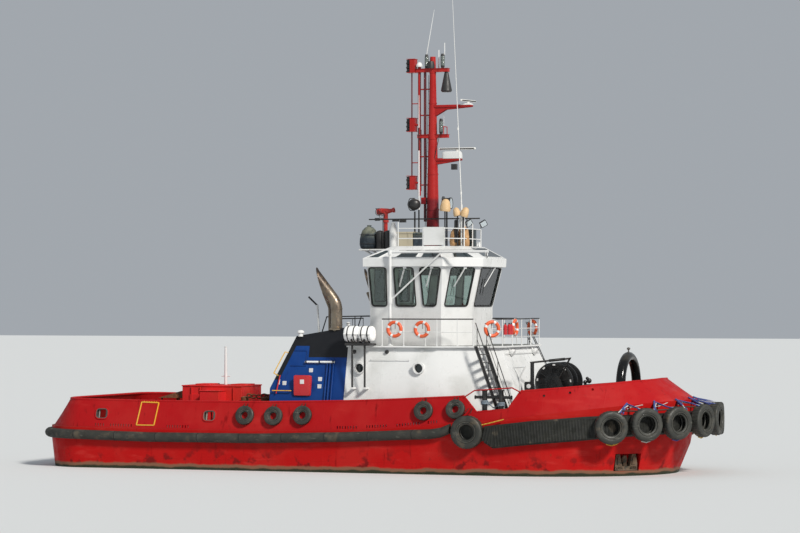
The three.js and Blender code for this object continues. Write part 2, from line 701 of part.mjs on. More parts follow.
// Stairs: steel ladders from the bridge deck down to each side of the foredeck.
const STAIR = {
  head: [5150, -3130, 5200], foot: [6430, -3690, 2200], half: 290, stringer: 45, treads: 8,
  railHead: 950, railFoot: 880,
};
function stairShape() {
  const head = new THREE.Vector3(...STAIR.head);
  const foot = new THREE.Vector3(...STAIR.foot);
  const run = foot.clone().sub(head);
  const across = new THREE.Vector3(-run.y, run.x, 0).normalize().multiplyScalar(STAIR.half);
  const pieces = [];
  for (const side of [-1, 1]) {
    const shift = across.clone().multiplyScalar(side);
    const [a, b] = [head.clone().add(shift), foot.clone().add(shift)];
    pieces.push(rod(a.toArray(), b.toArray(), 1.6 * STAIR.stringer, 4));
    const c = a.clone().add(new THREE.Vector3(0, 0, STAIR.railHead));
    const d = b.clone().add(new THREE.Vector3(0, 0, STAIR.railFoot));
    pieces.push(rod(c.toArray(), d.toArray(), 26, 4));
    for (const share of [0.06, 0.94]) {
      const post = a.clone().lerp(b, share);
      const cap = c.clone().lerp(d, share);
      pieces.push(rod(post.toArray(), cap.toArray(), 22, 4));
    }
  }
  for (let i = 1; i <= STAIR.treads; i += 1) {
    const middle = head.clone().addScaledVector(run, i / (STAIR.treads + 1));
    const yaw = Math.atan2(across.y, across.x);
    pieces.push(solid(new THREE.BoxGeometry(2 * STAIR.half, 210, 30).rotateZ(yaw)
      .translate(middle.x, middle.y, middle.z)));
  }
  return join(...pieces);
}
const stair = cut(
  stairShape(),
  hullCutter,
  loft([houseAt(HOUSE_FOOT.z, -GAP), houseAt(houseTop, -GAP)]),
  slab(
    houseOutline(HOUSE, { out: BRIDGE_DECK.edge + GAP, back: 0 }),
    houseTop - GAP, BRIDGE_DECK.z + GAP,
  ),
);
for (const [name, side] of SIDES) {
  add(`stair_${name}`, mirrored(stair, side), PAINT.black);
}

// Wheelhouse: eight-sided room with upright walls to the sill and windows that
// lean out above it, under a roof with sloping skylights.
const BRIDGE = { aft: 100, side: 2500, bend: 3230, fore: 4200, cheek: 1350 };
const SILL = 6780;
const HEAD = 8470;
const BRIDGE_LEAN = 400;
const BRIDGE_WALL = 70;
const bridgeOut = (z) => (BRIDGE_LEAN * Math.max(z - SILL, 0)) / (HEAD - SILL);
const bridgeAt = (z, inset) => atHeight(
  houseOutline(BRIDGE, { out: bridgeOut(z) - inset, back: -inset }), z,
);
const bridgeFoot = BRIDGE_DECK.z + GAP;
const bridgeInside = (inset) => join(
  loft([bridgeAt(bridgeFoot - 100, inset), bridgeAt(SILL, inset)]),
  loft([bridgeAt(SILL, inset), bridgeAt(HEAD + 10, inset)]),
);

// A window cutter through a wall: shares along the wall at the sill and head.
const PANE = { low: 6830, high: 8420 };
function paneHole(from, to, [l0, r0], [l1, r1]) {
  const at = (z, share) => {
    const outline = bridgeAt(z, 0);
    const [a, b] = [outline[from], outline[to]];
    return [a[0] + (b[0] - a[0]) * share, a[1] + (b[1] - a[1]) * share];
  };
  const [a, b] = [at(SILL, 0), at(SILL, 1)];
  const size = Math.hypot(b[0] - a[0], b[1] - a[1]);
  const [nx, ny] = [(b[1] - a[1]) / size, -(b[0] - a[0]) / size];
  const ring = (z, left, right) => [[left, 250], [right, 250], [right, -250], [left, -250]].map(
    ([share, out]) => {
      const [x, y] = at(z, share);
      return [x + nx * out, y + ny * out, z];
    },
  );
  return loft([ring(PANE.low, l0, r0), ring(PANE.high, l1, r1)]);
}
const PANES = [ // wall corners (from, to), shares at the sill, shares at the head
  [0, 1, [0.04, 0.24], [0.04, 0.24]],
  [0, 1, [0.34, 0.62], [0.33, 0.57]],
  [0, 1, [0.71, 0.93], [0.67, 0.96]],
  [1, 2, [0.1, 0.9], [0.09, 0.91]],
  [2, 3, [0.06, 0.94], [0.06, 0.94]],
  [3, 4, [0.1, 0.9], [0.09, 0.91]],
  [4, 5, [0.07, 0.29], [0.04, 0.33]],
  [4, 5, [0.38, 0.66], [0.43, 0.67]],
  [4, 5, [0.76, 0.96], [0.76, 0.96]],
];
const AFT_PANES = [[-2150, -800], [800, 2150]]; // y from, to
const paneHoles = PANES.map((pane) => paneHole(...pane));
const aftHoles = AFT_PANES.map(([y0, y1]) => box(
  BRIDGE.aft - 300, BRIDGE.aft + 300, y0, y1, PANE.low + 200, PANE.high,
));
const wheelhouse = cut(
  join(
    loft([bridgeAt(bridgeFoot, 0), bridgeAt(SILL, 0)]),
    loft([bridgeAt(SILL, 0), bridgeAt(HEAD, 0)]),
    hingeLugs(BRIDGE_DOOR),
  ),
  bridgeInside(BRIDGE_WALL),
  ...paneHoles,
  ...aftHoles,
  doorHole(BRIDGE_DOOR),
);
add('wheelhouse', wheelhouse, PAINT.white);
add('wheelhouse_door', doorLeaf(BRIDGE_DOOR), PAINT.white);

// Window glass: one band of panes behind the side, cheek and front walls.
const GLASS = 14;
const glass = cut(
  bridgeInside(BRIDGE_WALL + GAP),
  bridgeInside(BRIDGE_WALL + GAP + GLASS),
  box(-500, 8000, -5000, 5000, 4000, PANE.low - 60),
  box(-500, 8000, -5000, 5000, HEAD - 2, 9500),
  box(-500, BRIDGE.aft + BRIDGE_WALL + 40, -5000, 5000, 4000, 9500),
);
add('window_glass', glass, PAINT.glass);

// Wheelhouse roof: a brow all round, four sloping faces and a flat top.
const ROOF = { brow: 8820, rimOut: 560, rimBack: 130, top: 9330, topIn: 330, topBack: -850 };
const roofRing = (z, out, back) => atHeight(houseOutline(BRIDGE, { out, back }), z);
const roof = join(
  loft([
    roofRing(HEAD + GAP, ROOF.rimOut - 20, ROOF.rimBack),
    roofRing(ROOF.brow, ROOF.rimOut, ROOF.rimBack),
  ]),
  loft([
    roofRing(ROOF.brow, ROOF.rimOut, ROOF.rimBack),
    roofRing(ROOF.top, -ROOF.topIn, ROOF.topBack),
  ]),
);

// Helm: a console under the front windows and a pilot chair behind it.
const HELM = { x0: 3050, x1: 3700, half: 900, top: 6450 };
const floor = BRIDGE_DECK.z + GAP;
const consoleShape = join(
  box(HELM.x0, HELM.x1, -HELM.half, HELM.half, floor, HELM.top - 250),
  profile(
    [
      [HELM.x0 - 80, HELM.top - 260], [HELM.x1, HELM.top - 260],
      [HELM.x1, HELM.top], [HELM.x0 + 150, HELM.top - 60],
    ],
    -HELM.half, HELM.half,
  ),
);
const CHAIR = { x: 2300, seat: 6060, half: 290 };
const chairShape = join(
  rod([CHAIR.x, 0, floor], [CHAIR.x, 0, floor + 50], 300, 12),
  rod([CHAIR.x, 0, floor + 10], [CHAIR.x, 0, CHAIR.seat], 60, 10),
  box(CHAIR.x - 270, CHAIR.x + 290, -CHAIR.half, CHAIR.half, CHAIR.seat - 20, CHAIR.seat + 120),
  profile(
    [[CHAIR.x - 330, CHAIR.seat + 60], [CHAIR.x - 200, CHAIR.seat + 60],
      [CHAIR.x - 300, CHAIR.seat + 900], [CHAIR.x - 410, CHAIR.seat + 900]],
    -260, 260,
  ),
  ...[-1, 1].map((side) => box(
    CHAIR.x - 260, CHAIR.x + 180, side * 330 - 45, side * 330 + 45, CHAIR.seat + 80, CHAIR.seat + 330,
  )),
);
add('helm_console', consoleShape, PAINT.black);
add('helm_chair', chairShape, PAINT.fabric);

// Davit: a post on the bridge deck edge and a boom that swings on its head.
const DAVIT = { x: 1240, y: -3200, radius: 62, top: 9070, reach: 4260, boom: 55, pin: 30 };
const davitPost = join(
  rod([DAVIT.x, DAVIT.y, floor], [DAVIT.x, DAVIT.y, floor + 30], 130, 12),
  rod([DAVIT.x, DAVIT.y, floor + 10], [DAVIT.x, DAVIT.y, DAVIT.top - 120], DAVIT.radius, 12),
  rod([DAVIT.x, DAVIT.y, DAVIT.top - 130], [DAVIT.x, DAVIT.y, DAVIT.top + 90], DAVIT.pin, 12),
  rod([DAVIT.x, DAVIT.y, 6930], [DAVIT.x, DAVIT.y, 6990], 90, 12),
);
const davitBoom = cut(
  join(
    rod([DAVIT.x, DAVIT.y, 6990 + GAP], [DAVIT.x, DAVIT.y, 7200], 95, 12),
    rod([DAVIT.x, DAVIT.y, DAVIT.top - 110], [DAVIT.x, DAVIT.y, DAVIT.top + 60], 95, 12),
    rod([DAVIT.x, DAVIT.y, DAVIT.top], [DAVIT.x + DAVIT.reach, DAVIT.y, DAVIT.top], DAVIT.boom, 10),
    rod([DAVIT.x + 60, DAVIT.y, 7100], [DAVIT.x + 2260, DAVIT.y, DAVIT.top - 10], 38, 8),
    rod(
      [DAVIT.x + DAVIT.reach - 60, DAVIT.y, DAVIT.top],
      [DAVIT.x + DAVIT.reach - 60, DAVIT.y, DAVIT.top - 260], 40, 8,
    ),
  ),
  rod([DAVIT.x, DAVIT.y, 6900], [DAVIT.x, DAVIT.y, 7300], DAVIT.radius + 4, 12),
  rod(
    [DAVIT.x, DAVIT.y, DAVIT.top - 200], [DAVIT.x, DAVIT.y, DAVIT.top + 200], DAVIT.pin + 2, 12,
  ),
);
add('davit_post', davitPost, PAINT.white);
add('davit_boom', davitBoom, PAINT.white);

// Roof rail: white posts and two bars round the roof edge, with a blank board on
// each side.
const roofTop = ROOF.top + GAP;
const weldFoot = ROOF.top - 20;
const ROOF_RAIL = { post: 26, bar: 20, middle: 320, upper: 740, head: 780 };
const ROOF_POSTS = [[1150, 1980], [2250, 1980], [3180, 1980], [3760, 1100], [3760, 0]]; // x, y
const BOARD = { x0: 2280, x1: 3160, y: 1990, thick: 35, z0: 40, z1: 790 };
const roofBar = (height) => pipe(
  ROOF_POSTS.map(([x, y]) => [x, -y, roofTop + height]), ROOF_RAIL.bar,
);
const roofRail = join(
  ...ROOF_POSTS.map(([x, y]) =>
    rod([x, -y, weldFoot], [x, -y, roofTop + ROOF_RAIL.head], ROOF_RAIL.post, 4)),
  roofBar(ROOF_RAIL.middle),
  roofBar(ROOF_RAIL.upper),
  box(BOARD.x0, BOARD.x1, -BOARD.y - BOARD.thick, -BOARD.y, roofTop + BOARD.z0, roofTop + BOARD.z1),
);

// Aft platform: a plate on two struts behind the roof, with drums of gear on it,
// and two lockers on the roof beside the mast.
const STAGE = {
  x0: -1300, x1: 800, y0: -50, y1: 1250, z0: 9200, z1: 9260, strut: 45, struts: [150, 1050],
};
const STAGE_DRUMS = [ // x, y, radius, top
  [-500, 300, 170, 10060], [-130, 300, 170, 10060], [-1080, 450, 370, 10220],
];
const ROOF_LOCKERS = [ // x0, x1, y0, y1, foot, top
  [840, 1510, -1250, -650, 9240, 9950],
  [1540, 1870, -1200, -700, weldFoot, 9920],
];
const roofStage = join(
  box(STAGE.x0, STAGE.x1, STAGE.y0, STAGE.y1, STAGE.z0, STAGE.z1),
  ...STAGE.struts.map((y) =>
    rod([STAGE.x0 + 150, y, STAGE.z0 + 20], [60, y, HEAD + 55], STAGE.strut, 6)),
  ...STAGE_DRUMS.map(([x, y, radius, top]) =>
    rod([x, y, STAGE.z1 - 20], [x, y, top], radius, 12)),
);
const roofLockers = ROOF_LOCKERS.map((locker) => box(...locker));

// Fire monitor: a water cannon that turns on a post on the aft platform.
const MONITOR = { x: -410, y: 750, post: 10450, head: 10850 };
const monitorPost = join(
  rod([MONITOR.x, MONITOR.y, STAGE.z1 - 20], [MONITOR.x, MONITOR.y, STAGE.z1 + 40], 190, 12),
  rod([MONITOR.x, MONITOR.y, STAGE.z1 + 10], [MONITOR.x, MONITOR.y, MONITOR.post], 85, 12),
);
const monitor = join(
  rod([MONITOR.x, MONITOR.y, MONITOR.post + GAP], [MONITOR.x, MONITOR.y, MONITOR.post + 130], 120, 12),
  rod([MONITOR.x, MONITOR.y, MONITOR.post + 100], [MONITOR.x, MONITOR.y, MONITOR.head], 80, 12),
  rod(
    [MONITOR.x - 220, MONITOR.y, MONITOR.head - 20], [MONITOR.x + 80, MONITOR.y, MONITOR.head + 20],
    110, 12,
  ),
  rod(
    [MONITOR.x, MONITOR.y, MONITOR.head], [MONITOR.x + 640, MONITOR.y, MONITOR.head + 120],
    75, 12, 50,
  ),
);
add(
  'wheelhouse_roof',
  join(roof, roofRail, mirrored(roofRail, PORT), roofStage, ...roofLockers, monitorPost),
  PAINT.white,
);
add('fire_monitor', monitor, PAINT.red);

// Mast: a tapering red column with two fore and aft platforms, two radar
// brackets, a lantern pole with three light boxes, and two whip aerials.
const MAST = { x: 1990, foot: 285, head: 120, top: 17370 };
const LIGHT_POLE = { x: 1390, y: 0, radius: 50, z0: 11500, z1: 17150 };
const LIGHT_BOXES = [12050, 14500, 17000]; // heights of the centres
// Radars: x of the shaft, height and aft reach of the gearbox, half length of the
// scanner and its turn in degrees.
const RADARS = [
  { name: 'lower', x: 3080, z: 12960, aft: 630, half: 820, turn: 0 },
  { name: 'upper', x: 3560, z: 15250, aft: 190, half: 560, turn: 78 },
];
const RADAR = { box: 280, lift: 40, wide: 110, thick: 100 };
const WHIP = { x: 1450, y: -240, radius: 30, top: 15740, stays: [11950, 14080] };
const platform = (x0, x1, z, wide) => box(x0, x1, -wide / 2, wide / 2, z, z + 90);
const mast = join(
  rod([MAST.x, 0, roofTop], [MAST.x, 0, MAST.top], MAST.foot, 12, MAST.head),
  platform(1250, 2700, 16830, 260),
  platform(1330, 2680, 14040, 260),
  ...RADARS.map(({ x, z, aft }) => join(
    platform(MAST.x, x + 180, z - 90, 300),
    profile(
      [[MAST.x, z - 600], [MAST.x + 200, z - 600], [x - 100, z - 60], [MAST.x, z - 60]], -30, 30,
    ),
    box(x - aft, x + 190, -170, 170, z - 10, z + RADAR.box),
    rod([x, 0, z + RADAR.box - 20], [x, 0, z + RADAR.box + RADAR.lift], 60, 12),
  )),
  rod([LIGHT_POLE.x, 0, LIGHT_POLE.z0], [LIGHT_POLE.x, 0, LIGHT_POLE.z1], LIGHT_POLE.radius, 8),
  ...[11950, 13150, 14900, 16000].map((z) => rod([LIGHT_POLE.x, 0, z], [MAST.x, 0, z], 30, 4)),
  ...LIGHT_BOXES.map((z) => join(
    box(870, 1230, -180, 180, z - 300, z + 300),
    rod([1200, 0, z], [LIGHT_POLE.x, 0, z], 40, 4),
  )),
  rod([2270, 0, 16900], [2300, 0, 19370], 14, 6),
  rod([2350, -100, 16900], [2350, -100, 17450], 60, 8),
  rod([2600, 0, 16900], [2600, 0, 17480], 70, 8),
  rod([2600, 0, 16850], [2600, 0, 16020], 60, 8, 220),
  rod([1050, 0, 11750], [1050, 0, 16700], 30, 6),
  rod([WHIP.x, WHIP.y, roofTop], [WHIP.x, WHIP.y, WHIP.top], WHIP.radius, 6),
  ...WHIP.stays.map((z) => rod([WHIP.x, WHIP.y, z], [LIGHT_POLE.x, 0, z], 20, 4)),
);
add('mast', mast, PAINT.red);
for (const { name, x, z, half: arm, turn } of RADARS) {
  const foot = z + RADAR.box + RADAR.lift + GAP;
  add(`radar_${name}`, join(
    rod([x, 0, foot], [x, 0, foot + 40], 70, 12),
    solid(new THREE.BoxGeometry(2 * arm, RADAR.wide, RADAR.thick)
      .rotateZ(THREE.MathUtils.degToRad(turn))
      .translate(x, 0, foot + 30 + RADAR.thick / 2)),
  ), PAINT.white);
}

// Tall aerial: a whip on its own stand at the front of the roof.
const AERIAL = { x: 3000, y: -900, top: 19900, stand: 11000 };
add('tall_aerial', join(
  rod([AERIAL.x, AERIAL.y, roofTop], [AERIAL.x, AERIAL.y, AERIAL.stand], 45, 8),
  rod([AERIAL.x, AERIAL.y, AERIAL.stand - 20], [AERIAL.x - 410, AERIAL.y, AERIAL.top], 22, 6, 12),
), PAINT.white);

// Searchlights: drum lamps on stands at each side of the mast.
const LAMPS = [ // name, x, y, height of the lamp
  ['aft', 1250, -500, 11100],
  ['forward', 2760, -420, 11150],
];
for (const [name, x, y, z] of LAMPS) {
  add(`searchlight_${name}`, join(
    rod([x, y, roofTop], [x, y, z - 150], 38, 8),
    rod([x, y, z - 160], [x, y, z], 60, 8),
    rod([x - 180, y, z], [x + 200, y, z], 190, 14, 210),
  ), PAINT.black);
}

// Towing winch: a black drum between two flanges on a frame on the foredeck,
// with a guide post and bar on its starboard side.
const WINCH = {
  x: 7555, z: 3685, drum: 430, flange: 820, half: 700, shaft: 110, side: 860, plate: 90,
};
const GUIDE = { x: 7110, y: -2300, top: 4560, radius: 80, bar: 40 };
const GUIDE_END = [8300, -905, 4675];
const foredeck = (x) => heightAt(DECK_EDGE, x);
const winchSideShape = (y0, y1) => profile(
  [
    [WINCH.x - 430, 1900], [WINCH.x - 260, WINCH.z + 220],
    [WINCH.x + 260, WINCH.z + 220], [WINCH.x + 800, 1900],
  ],
  y0, y1,
);
const winchFrame = cut(
  join(
    winchSideShape(WINCH.side, WINCH.side + WINCH.plate),
    winchSideShape(-WINCH.side - WINCH.plate, -WINCH.side),
    ...[[WINCH.x - 420, WINCH.x - 260], [WINCH.x + 540, WINCH.x + 740]].map(([x0, x1]) =>
      box(x0, x1, -WINCH.side - 20, WINCH.side + 20, 1900, 2600)),
    box(WINCH.x - 350, WINCH.x + 500, WINCH.side + 80, WINCH.side + 900, 1900, WINCH.z + 100),
    rod([GUIDE.x, GUIDE.y, 1900], [GUIDE.x, GUIDE.y, GUIDE.top], GUIDE.radius, 8),
    box(GUIDE.x - 40, GUIDE.x + 60, GUIDE.y, -WINCH.side, 1900, 2560),
    box(GUIDE.x - 310, GUIDE.x + 10, GUIDE.y - 100, GUIDE.y + 100, 3380, 3740),
    pipe([[GUIDE.x, GUIDE.y, GUIDE.top - 30], GUIDE_END, [WINCH.x + 200, -905, WINCH.z]], GUIDE.bar, 6),
    box(WINCH.x + 500, 9180, -WINCH.side - WINCH.plate, -WINCH.side, 1900, 2700),
    box(8900, 9180, -WINCH.side - WINCH.plate, -WINCH.side + 160, 1900, 3950),
  ),
  hullCutter,
  rod(
    [WINCH.x, -3000, WINCH.z], [WINCH.x, WINCH.side + 75, WINCH.z],
    (WINCH.shaft + GAP) / Math.cos(Math.PI / 12), 12,
  ),
);
const winchDrum = join(
  rod([WINCH.x, -WINCH.side - 160, WINCH.z], [WINCH.x, WINCH.side + 60, WINCH.z], WINCH.shaft, 24),
  rod([WINCH.x, -WINCH.half, WINCH.z], [WINCH.x, WINCH.half, WINCH.z], WINCH.drum, 16),
  ...[-1, 0.02, 1].map((share) => rod(
    [WINCH.x, share * WINCH.half - 30, WINCH.z], [WINCH.x, share * WINCH.half + 30, WINCH.z],
    WINCH.flange, 20,
  )),
);
add('winch_frame', winchFrame, PAINT.black);
add('winch_drum', winchDrum, PAINT.black);

// Towing staple: a bent steel arch on the foredeck that leads the tow line.
const STAPLE = { x: 10550, half: 1200, spring: 3550, radius: 200, foot: 2500, bends: 8 };
const stapleLine = [
  [STAPLE.x, -STAPLE.half, STAPLE.foot],
  ...Array.from({ length: STAPLE.bends + 1 }, (_, i) => {
    const angle = Math.PI * (1 - i / STAPLE.bends);
    return [STAPLE.x, STAPLE.half * Math.cos(angle), STAPLE.spring + STAPLE.half * Math.sin(angle)];
  }),
  [STAPLE.x, STAPLE.half, STAPLE.foot],
];
const staple = cut(
  join(
    bentTube(stapleLine, STAPLE.radius, 8, 20),
    box(
      STAPLE.x - 420, STAPLE.x + 420, -STAPLE.half - 330, STAPLE.half + 330,
      2600, foredeck(STAPLE.x) + 60,
    ),
  ),
  hullCutter,
);
add('towing_staple', staple, PAINT.black);

// Side bitts: pairs of posts with a cross bar beside each gate.
const BITTS = { posts: [5700, 6400], y: -4230, radius: 105, top: 3430, bar: 3150 };
const bitts = cut(
  join(
    ...BITTS.posts.map((x) => rod([x, BITTS.y, 1900], [x, BITTS.y, BITTS.top], BITTS.radius, 12)),
    ...BITTS.posts.map((x) => rod([x, BITTS.y, BITTS.top - 20], [x, BITTS.y, BITTS.top + 30], 135, 12)),
    rod([5300, BITTS.y, BITTS.bar], [6850, BITTS.y, BITTS.bar], 60, 10),
  ),
  hullCutter,
);
for (const [name, side] of SIDES) {
  add(`bitts_${name}`, mirrored(bitts, side), PAINT.black);
}

// Aft towing bitt: an H-shaped post on the aft deck.
const AFT_BITT = { x: -10700, half: 620, top: 2620, radius: 170 };
add('aft_bitt', cut(
  join(
    ...[-AFT_BITT.half, AFT_BITT.half].map((y) =>
      rod([AFT_BITT.x, y, 1500], [AFT_BITT.x, y, AFT_BITT.top], AFT_BITT.radius, 14)),
    rod(
      [AFT_BITT.x, -AFT_BITT.half - 330, 2250], [AFT_BITT.x, AFT_BITT.half + 330, 2250], 120, 12,
    ),
  ),
  hullCutter,
), PAINT.black);

// Aft locker: a red deck locker with a stores box on its starboard side and a
// short flag staff on top.
const LOCKER = { x0: -8900, x1: -6150, y0: -1500, y1: 700, top: 3430 };
const STAFF = { x: -7250, y: -300, top: 5090 };
const flagStaff = join(
  rod([STAFF.x, STAFF.y, LOCKER.top - 20], [STAFF.x, STAFF.y, STAFF.top], 34, 8),
  rod([STAFF.x - 260, STAFF.y, 3900], [STAFF.x + 260, STAFF.y, 3900], 26, 6),
);
add('aft_locker', cut(
  join(
    flagStaff,
    box(LOCKER.x0, LOCKER.x1, LOCKER.y0, LOCKER.y1, 1500, LOCKER.top),
    box(-7740, -6870, -2300, LOCKER.y0 + 10, 1500, 3240),
    profile([[-10150, 2900], [LOCKER.x0 + 10, 2900], [LOCKER.x0 + 10, 3200]], -1300, 500),
  ),
  hullCutter,
), PAINT.red);

// Anchors: stockless anchors stowed in the bow pockets.
const anchorShape = (() => {
  const bar = (w, d, h, x, y, z) => pocketPiece(new THREE.BoxGeometry(w, d, h).translate(x, y, z));
  const back = POCKET.depth - GAP;
  return join(
    bar(900, 170, 150, 0, back - 85, -POCKET.height / 2 + 75 + GAP),
    bar(170, 150, 500, -310, back - 85, -60),
    bar(170, 150, 500, 310, back - 85, -60),
    bar(150, 190, 560, 0, back - 95, -15),
  );
})();
for (const [name, side] of SIDES) {
  add(`anchor_${name}`, mirrored(anchorShape, side), PAINT.steel);
}

// Thrusters: a leg under the stern turns about its own axis and carries a
// nozzle; the propeller turns in the nozzle.
const THRUSTER = {
  x: PAD.x, y: PAD.y, top: PAD.foot - GAP, axis: -3150, leg: 330, pod: 330,
  bore: 1090, nozzle: 1230, n0: -1000, n1: -200,
};
const tx = (x) => THRUSTER.x + x;
const nozzle = solid(
  new THREE.LatheGeometry(
    [
      [THRUSTER.bore, THRUSTER.n0],
      [THRUSTER.nozzle - 40, THRUSTER.n0],
      [THRUSTER.nozzle, THRUSTER.n1 - 100],
      [THRUSTER.nozzle, THRUSTER.n1],
      [THRUSTER.bore + 60, THRUSTER.n1],
      [THRUSTER.bore, THRUSTER.n1 - 250],
      [THRUSTER.bore, THRUSTER.n0],
    ].map(([r, h]) => new THREE.Vector2(r, h)),
    20,
  ).rotateZ(-Math.PI / 2).translate(THRUSTER.x, THRUSTER.y, THRUSTER.axis),
);
const thruster = join(
  nozzle,
  rod([tx(0), THRUSTER.y, THRUSTER.top - 60], [tx(0), THRUSTER.y, THRUSTER.axis], THRUSTER.leg, 10, 240),
  rod([tx(0), THRUSTER.y, THRUSTER.top], [tx(0), THRUSTER.y, THRUSTER.top - 110], 560, 20),
  rod([tx(-330), THRUSTER.y, THRUSTER.axis], [tx(560), THRUSTER.y, THRUSTER.axis], THRUSTER.pod, 10),
  rod([tx(560), THRUSTER.y, THRUSTER.axis], [tx(900), THRUSTER.y, THRUSTER.axis], THRUSTER.pod, 10, 120),
  ...[0, 1, 2].map((i) => {
    const angle = (Math.PI * 2 * i) / 3 + Math.PI / 2;
    const [c, s] = [Math.cos(angle), Math.sin(angle)];
    const at = (r) => [tx(-260), THRUSTER.y + r * c, THRUSTER.axis + r * s];
    return rod(at(200), at(THRUSTER.bore + 60), 60, 4);
  }),
);
const PROP = { x: -600, hub: 230, radius: 1000, blades: 4, chord: 470, thick: 60, pitch: 62 };
const blade = (i) => {
  const angle = (Math.PI * 2 * i) / PROP.blades + Math.PI / 4;
  const geometry = new THREE.BoxGeometry(PROP.thick, PROP.chord, PROP.radius - 120)
    .rotateZ(THREE.MathUtils.degToRad(-PROP.pitch))
    .translate(0, 0, (PROP.radius + 120) / 2)
    .rotateX(angle)
    .translate(tx(PROP.x), THRUSTER.y, THRUSTER.axis);
  return solid(geometry);
};
const propeller = join(
  rod([tx(-330 - GAP), THRUSTER.y, THRUSTER.axis], [tx(-800), THRUSTER.y, THRUSTER.axis], PROP.hub, 10),
  rod([tx(-790), THRUSTER.y, THRUSTER.axis], [tx(-960), THRUSTER.y, THRUSTER.axis], PROP.hub, 10, 80),
  ...Array.from({ length: PROP.blades }, (_, i) => blade(i)),
);
for (const [name, side] of SIDES) {
  add(`thruster_${name}`, mirrored(thruster, side), PAINT.red);
  add(`propeller_${name}`, mirrored(propeller, side), PAINT.bronze);
}

export default tug;
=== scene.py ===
import math
from math import cos, pi, radians, sin

import bmesh
import bpy
from mathutils import Matrix, Vector


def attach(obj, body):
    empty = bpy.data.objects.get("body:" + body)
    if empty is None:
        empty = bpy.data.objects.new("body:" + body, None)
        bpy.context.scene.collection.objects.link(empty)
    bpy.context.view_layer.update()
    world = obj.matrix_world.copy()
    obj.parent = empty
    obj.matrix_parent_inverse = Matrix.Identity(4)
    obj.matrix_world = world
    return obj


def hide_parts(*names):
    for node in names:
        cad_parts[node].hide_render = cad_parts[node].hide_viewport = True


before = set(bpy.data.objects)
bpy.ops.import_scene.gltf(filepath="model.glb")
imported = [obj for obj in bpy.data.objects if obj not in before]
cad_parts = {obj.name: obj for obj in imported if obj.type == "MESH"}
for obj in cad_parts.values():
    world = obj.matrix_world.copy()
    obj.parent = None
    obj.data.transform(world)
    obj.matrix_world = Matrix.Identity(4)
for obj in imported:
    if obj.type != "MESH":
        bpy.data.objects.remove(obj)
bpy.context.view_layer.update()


# Camera: a long lens low over the water, off the starboard side and a little
# ahead of the beam.
def add(name, data):
    made = bpy.data.objects.new(name, data)
    bpy.context.collection.objects.link(made)
    return made


camera_lens = bpy.data.cameras.new("camera")
camera_lens.sensor_width = 36
camera_lens.lens = 135
camera_lens.clip_end = 900
camera = add("camera", camera_lens)
camera.location = (44.044, -119.601, 7.086)
camera.rotation_euler = (radians(90.64), 0, radians(20))
bpy.context.scene.camera = camera

# Studio: a wide pale floor at the waterline, pale air all round, and a broad
# lamp high off the starboard bow, so that fronts are brighter than sides.
FLOOR_REACH = 420
FLOOR_COLOUR = (0.66, 0.68, 0.69, 1)
AIR_COLOUR = (0.8, 0.86, 0.93, 1)
AIR_LIGHT = 0.45
KEY_LIGHT = 3.65
KEY_AIM = (-0.68, 0.44, -0.59)
KEY_COLOUR = (1, 0.955, 0.88)
KEY_WIDTH = radians(9)

floor_mesh = bpy.data.meshes.new("floor")
floor_mesh.from_pydata(
    [(x * FLOOR_REACH, y * FLOOR_REACH, 0) for x, y in ((-1, -1), (1, -1), (1, 1), (-1, 1))], [],
    [(0, 1, 2, 3)]
)
floor = add("floor", floor_mesh)
floor_finish = bpy.data.materials.new("floor")
floor_finish.use_nodes = True
floor_shader = floor_finish.node_tree.nodes["Principled BSDF"]
floor_shader.inputs["Base Color"].default_value = FLOOR_COLOUR
floor_shader.inputs["Roughness"].default_value = 0.9
floor_mesh.materials.append(floor_finish)

air = bpy.data.worlds.new("air")
air.use_nodes = True
air.node_tree.nodes["Background"].inputs["Color"].default_value = AIR_COLOUR
air.node_tree.nodes["Background"].inputs["Strength"].default_value = AIR_LIGHT
bpy.context.scene.world = air
bpy.context.scene.view_settings.view_transform = "Standard"

key_lamp = bpy.data.lights.new("key", "SUN")
key_lamp.energy = KEY_LIGHT
key_lamp.color = KEY_COLOUR
key_lamp.angle = KEY_WIDTH
key = add("key", key_lamp)
key.rotation_euler = Vector(KEY_AIM).to_track_quat("-Z", "Y").to_euler()

# Hull: welded steel plate under red paint, decked from stem to stern. Its sides
# are worn by quays, and weed and scale mark the waterline.
PAINT_RED = (0.42, 0.006, 0.006)
PAINT_RED_FADED = (0.43, 0.013, 0.011)
PAINT_RED_DARK = (0.17, 0.008, 0.008)
RUST = (0.13, 0.035, 0.012)
DECK_EDGE = (  # x, height of the deck edge
    (-14.2, 1.75), (-9, 1.68), (-4, 1.68), (0, 1.75), (2, 1.86), (4, 2.06),
    (6, 2.23), (8, 2.45), (10, 2.7), (12, 2.93), (13.4, 3.05),
)
WATERLINES = (  # z, transom x, corner radius, half beam, start of the bow curve, stem x
    (-3.3, -1.5, 0.9, 2.5, 1.5, 9),
    (-2.7, -4.6, 1, 3.7, 3, 10.7),
    (-1.75, -7.7, 1, 4.3, 4.8, 11.7),
    (-1.35, -12.3, 1.1, 4.45, 5.4, 12),
    (-0.7, -13.5, 1.5, 4.6, 6, 12.25),
    (0, -14.05, 1.8, 4.72, 6.5, 12.55),
    (0.25, -14.08, 1.82, 4.735, 6.6, 12.65),
    (1.2, -14.2, 1.9, 4.8, 7, 13.05),
    (None, -14.2, 1.9, 4.8, 7, 13.4),
)
CORNER_STEPS, SIDE_STEPS, BOW_STEPS = 10, 16, 36
SKEG = ((-8.6, -1.5), (-8.1, -3.3), (-1, -3.3), (0.5, -2))
SKEG_WIDTH = 0.32
PADS = ((-10.3, -2.4), (-10.3, 2.4))
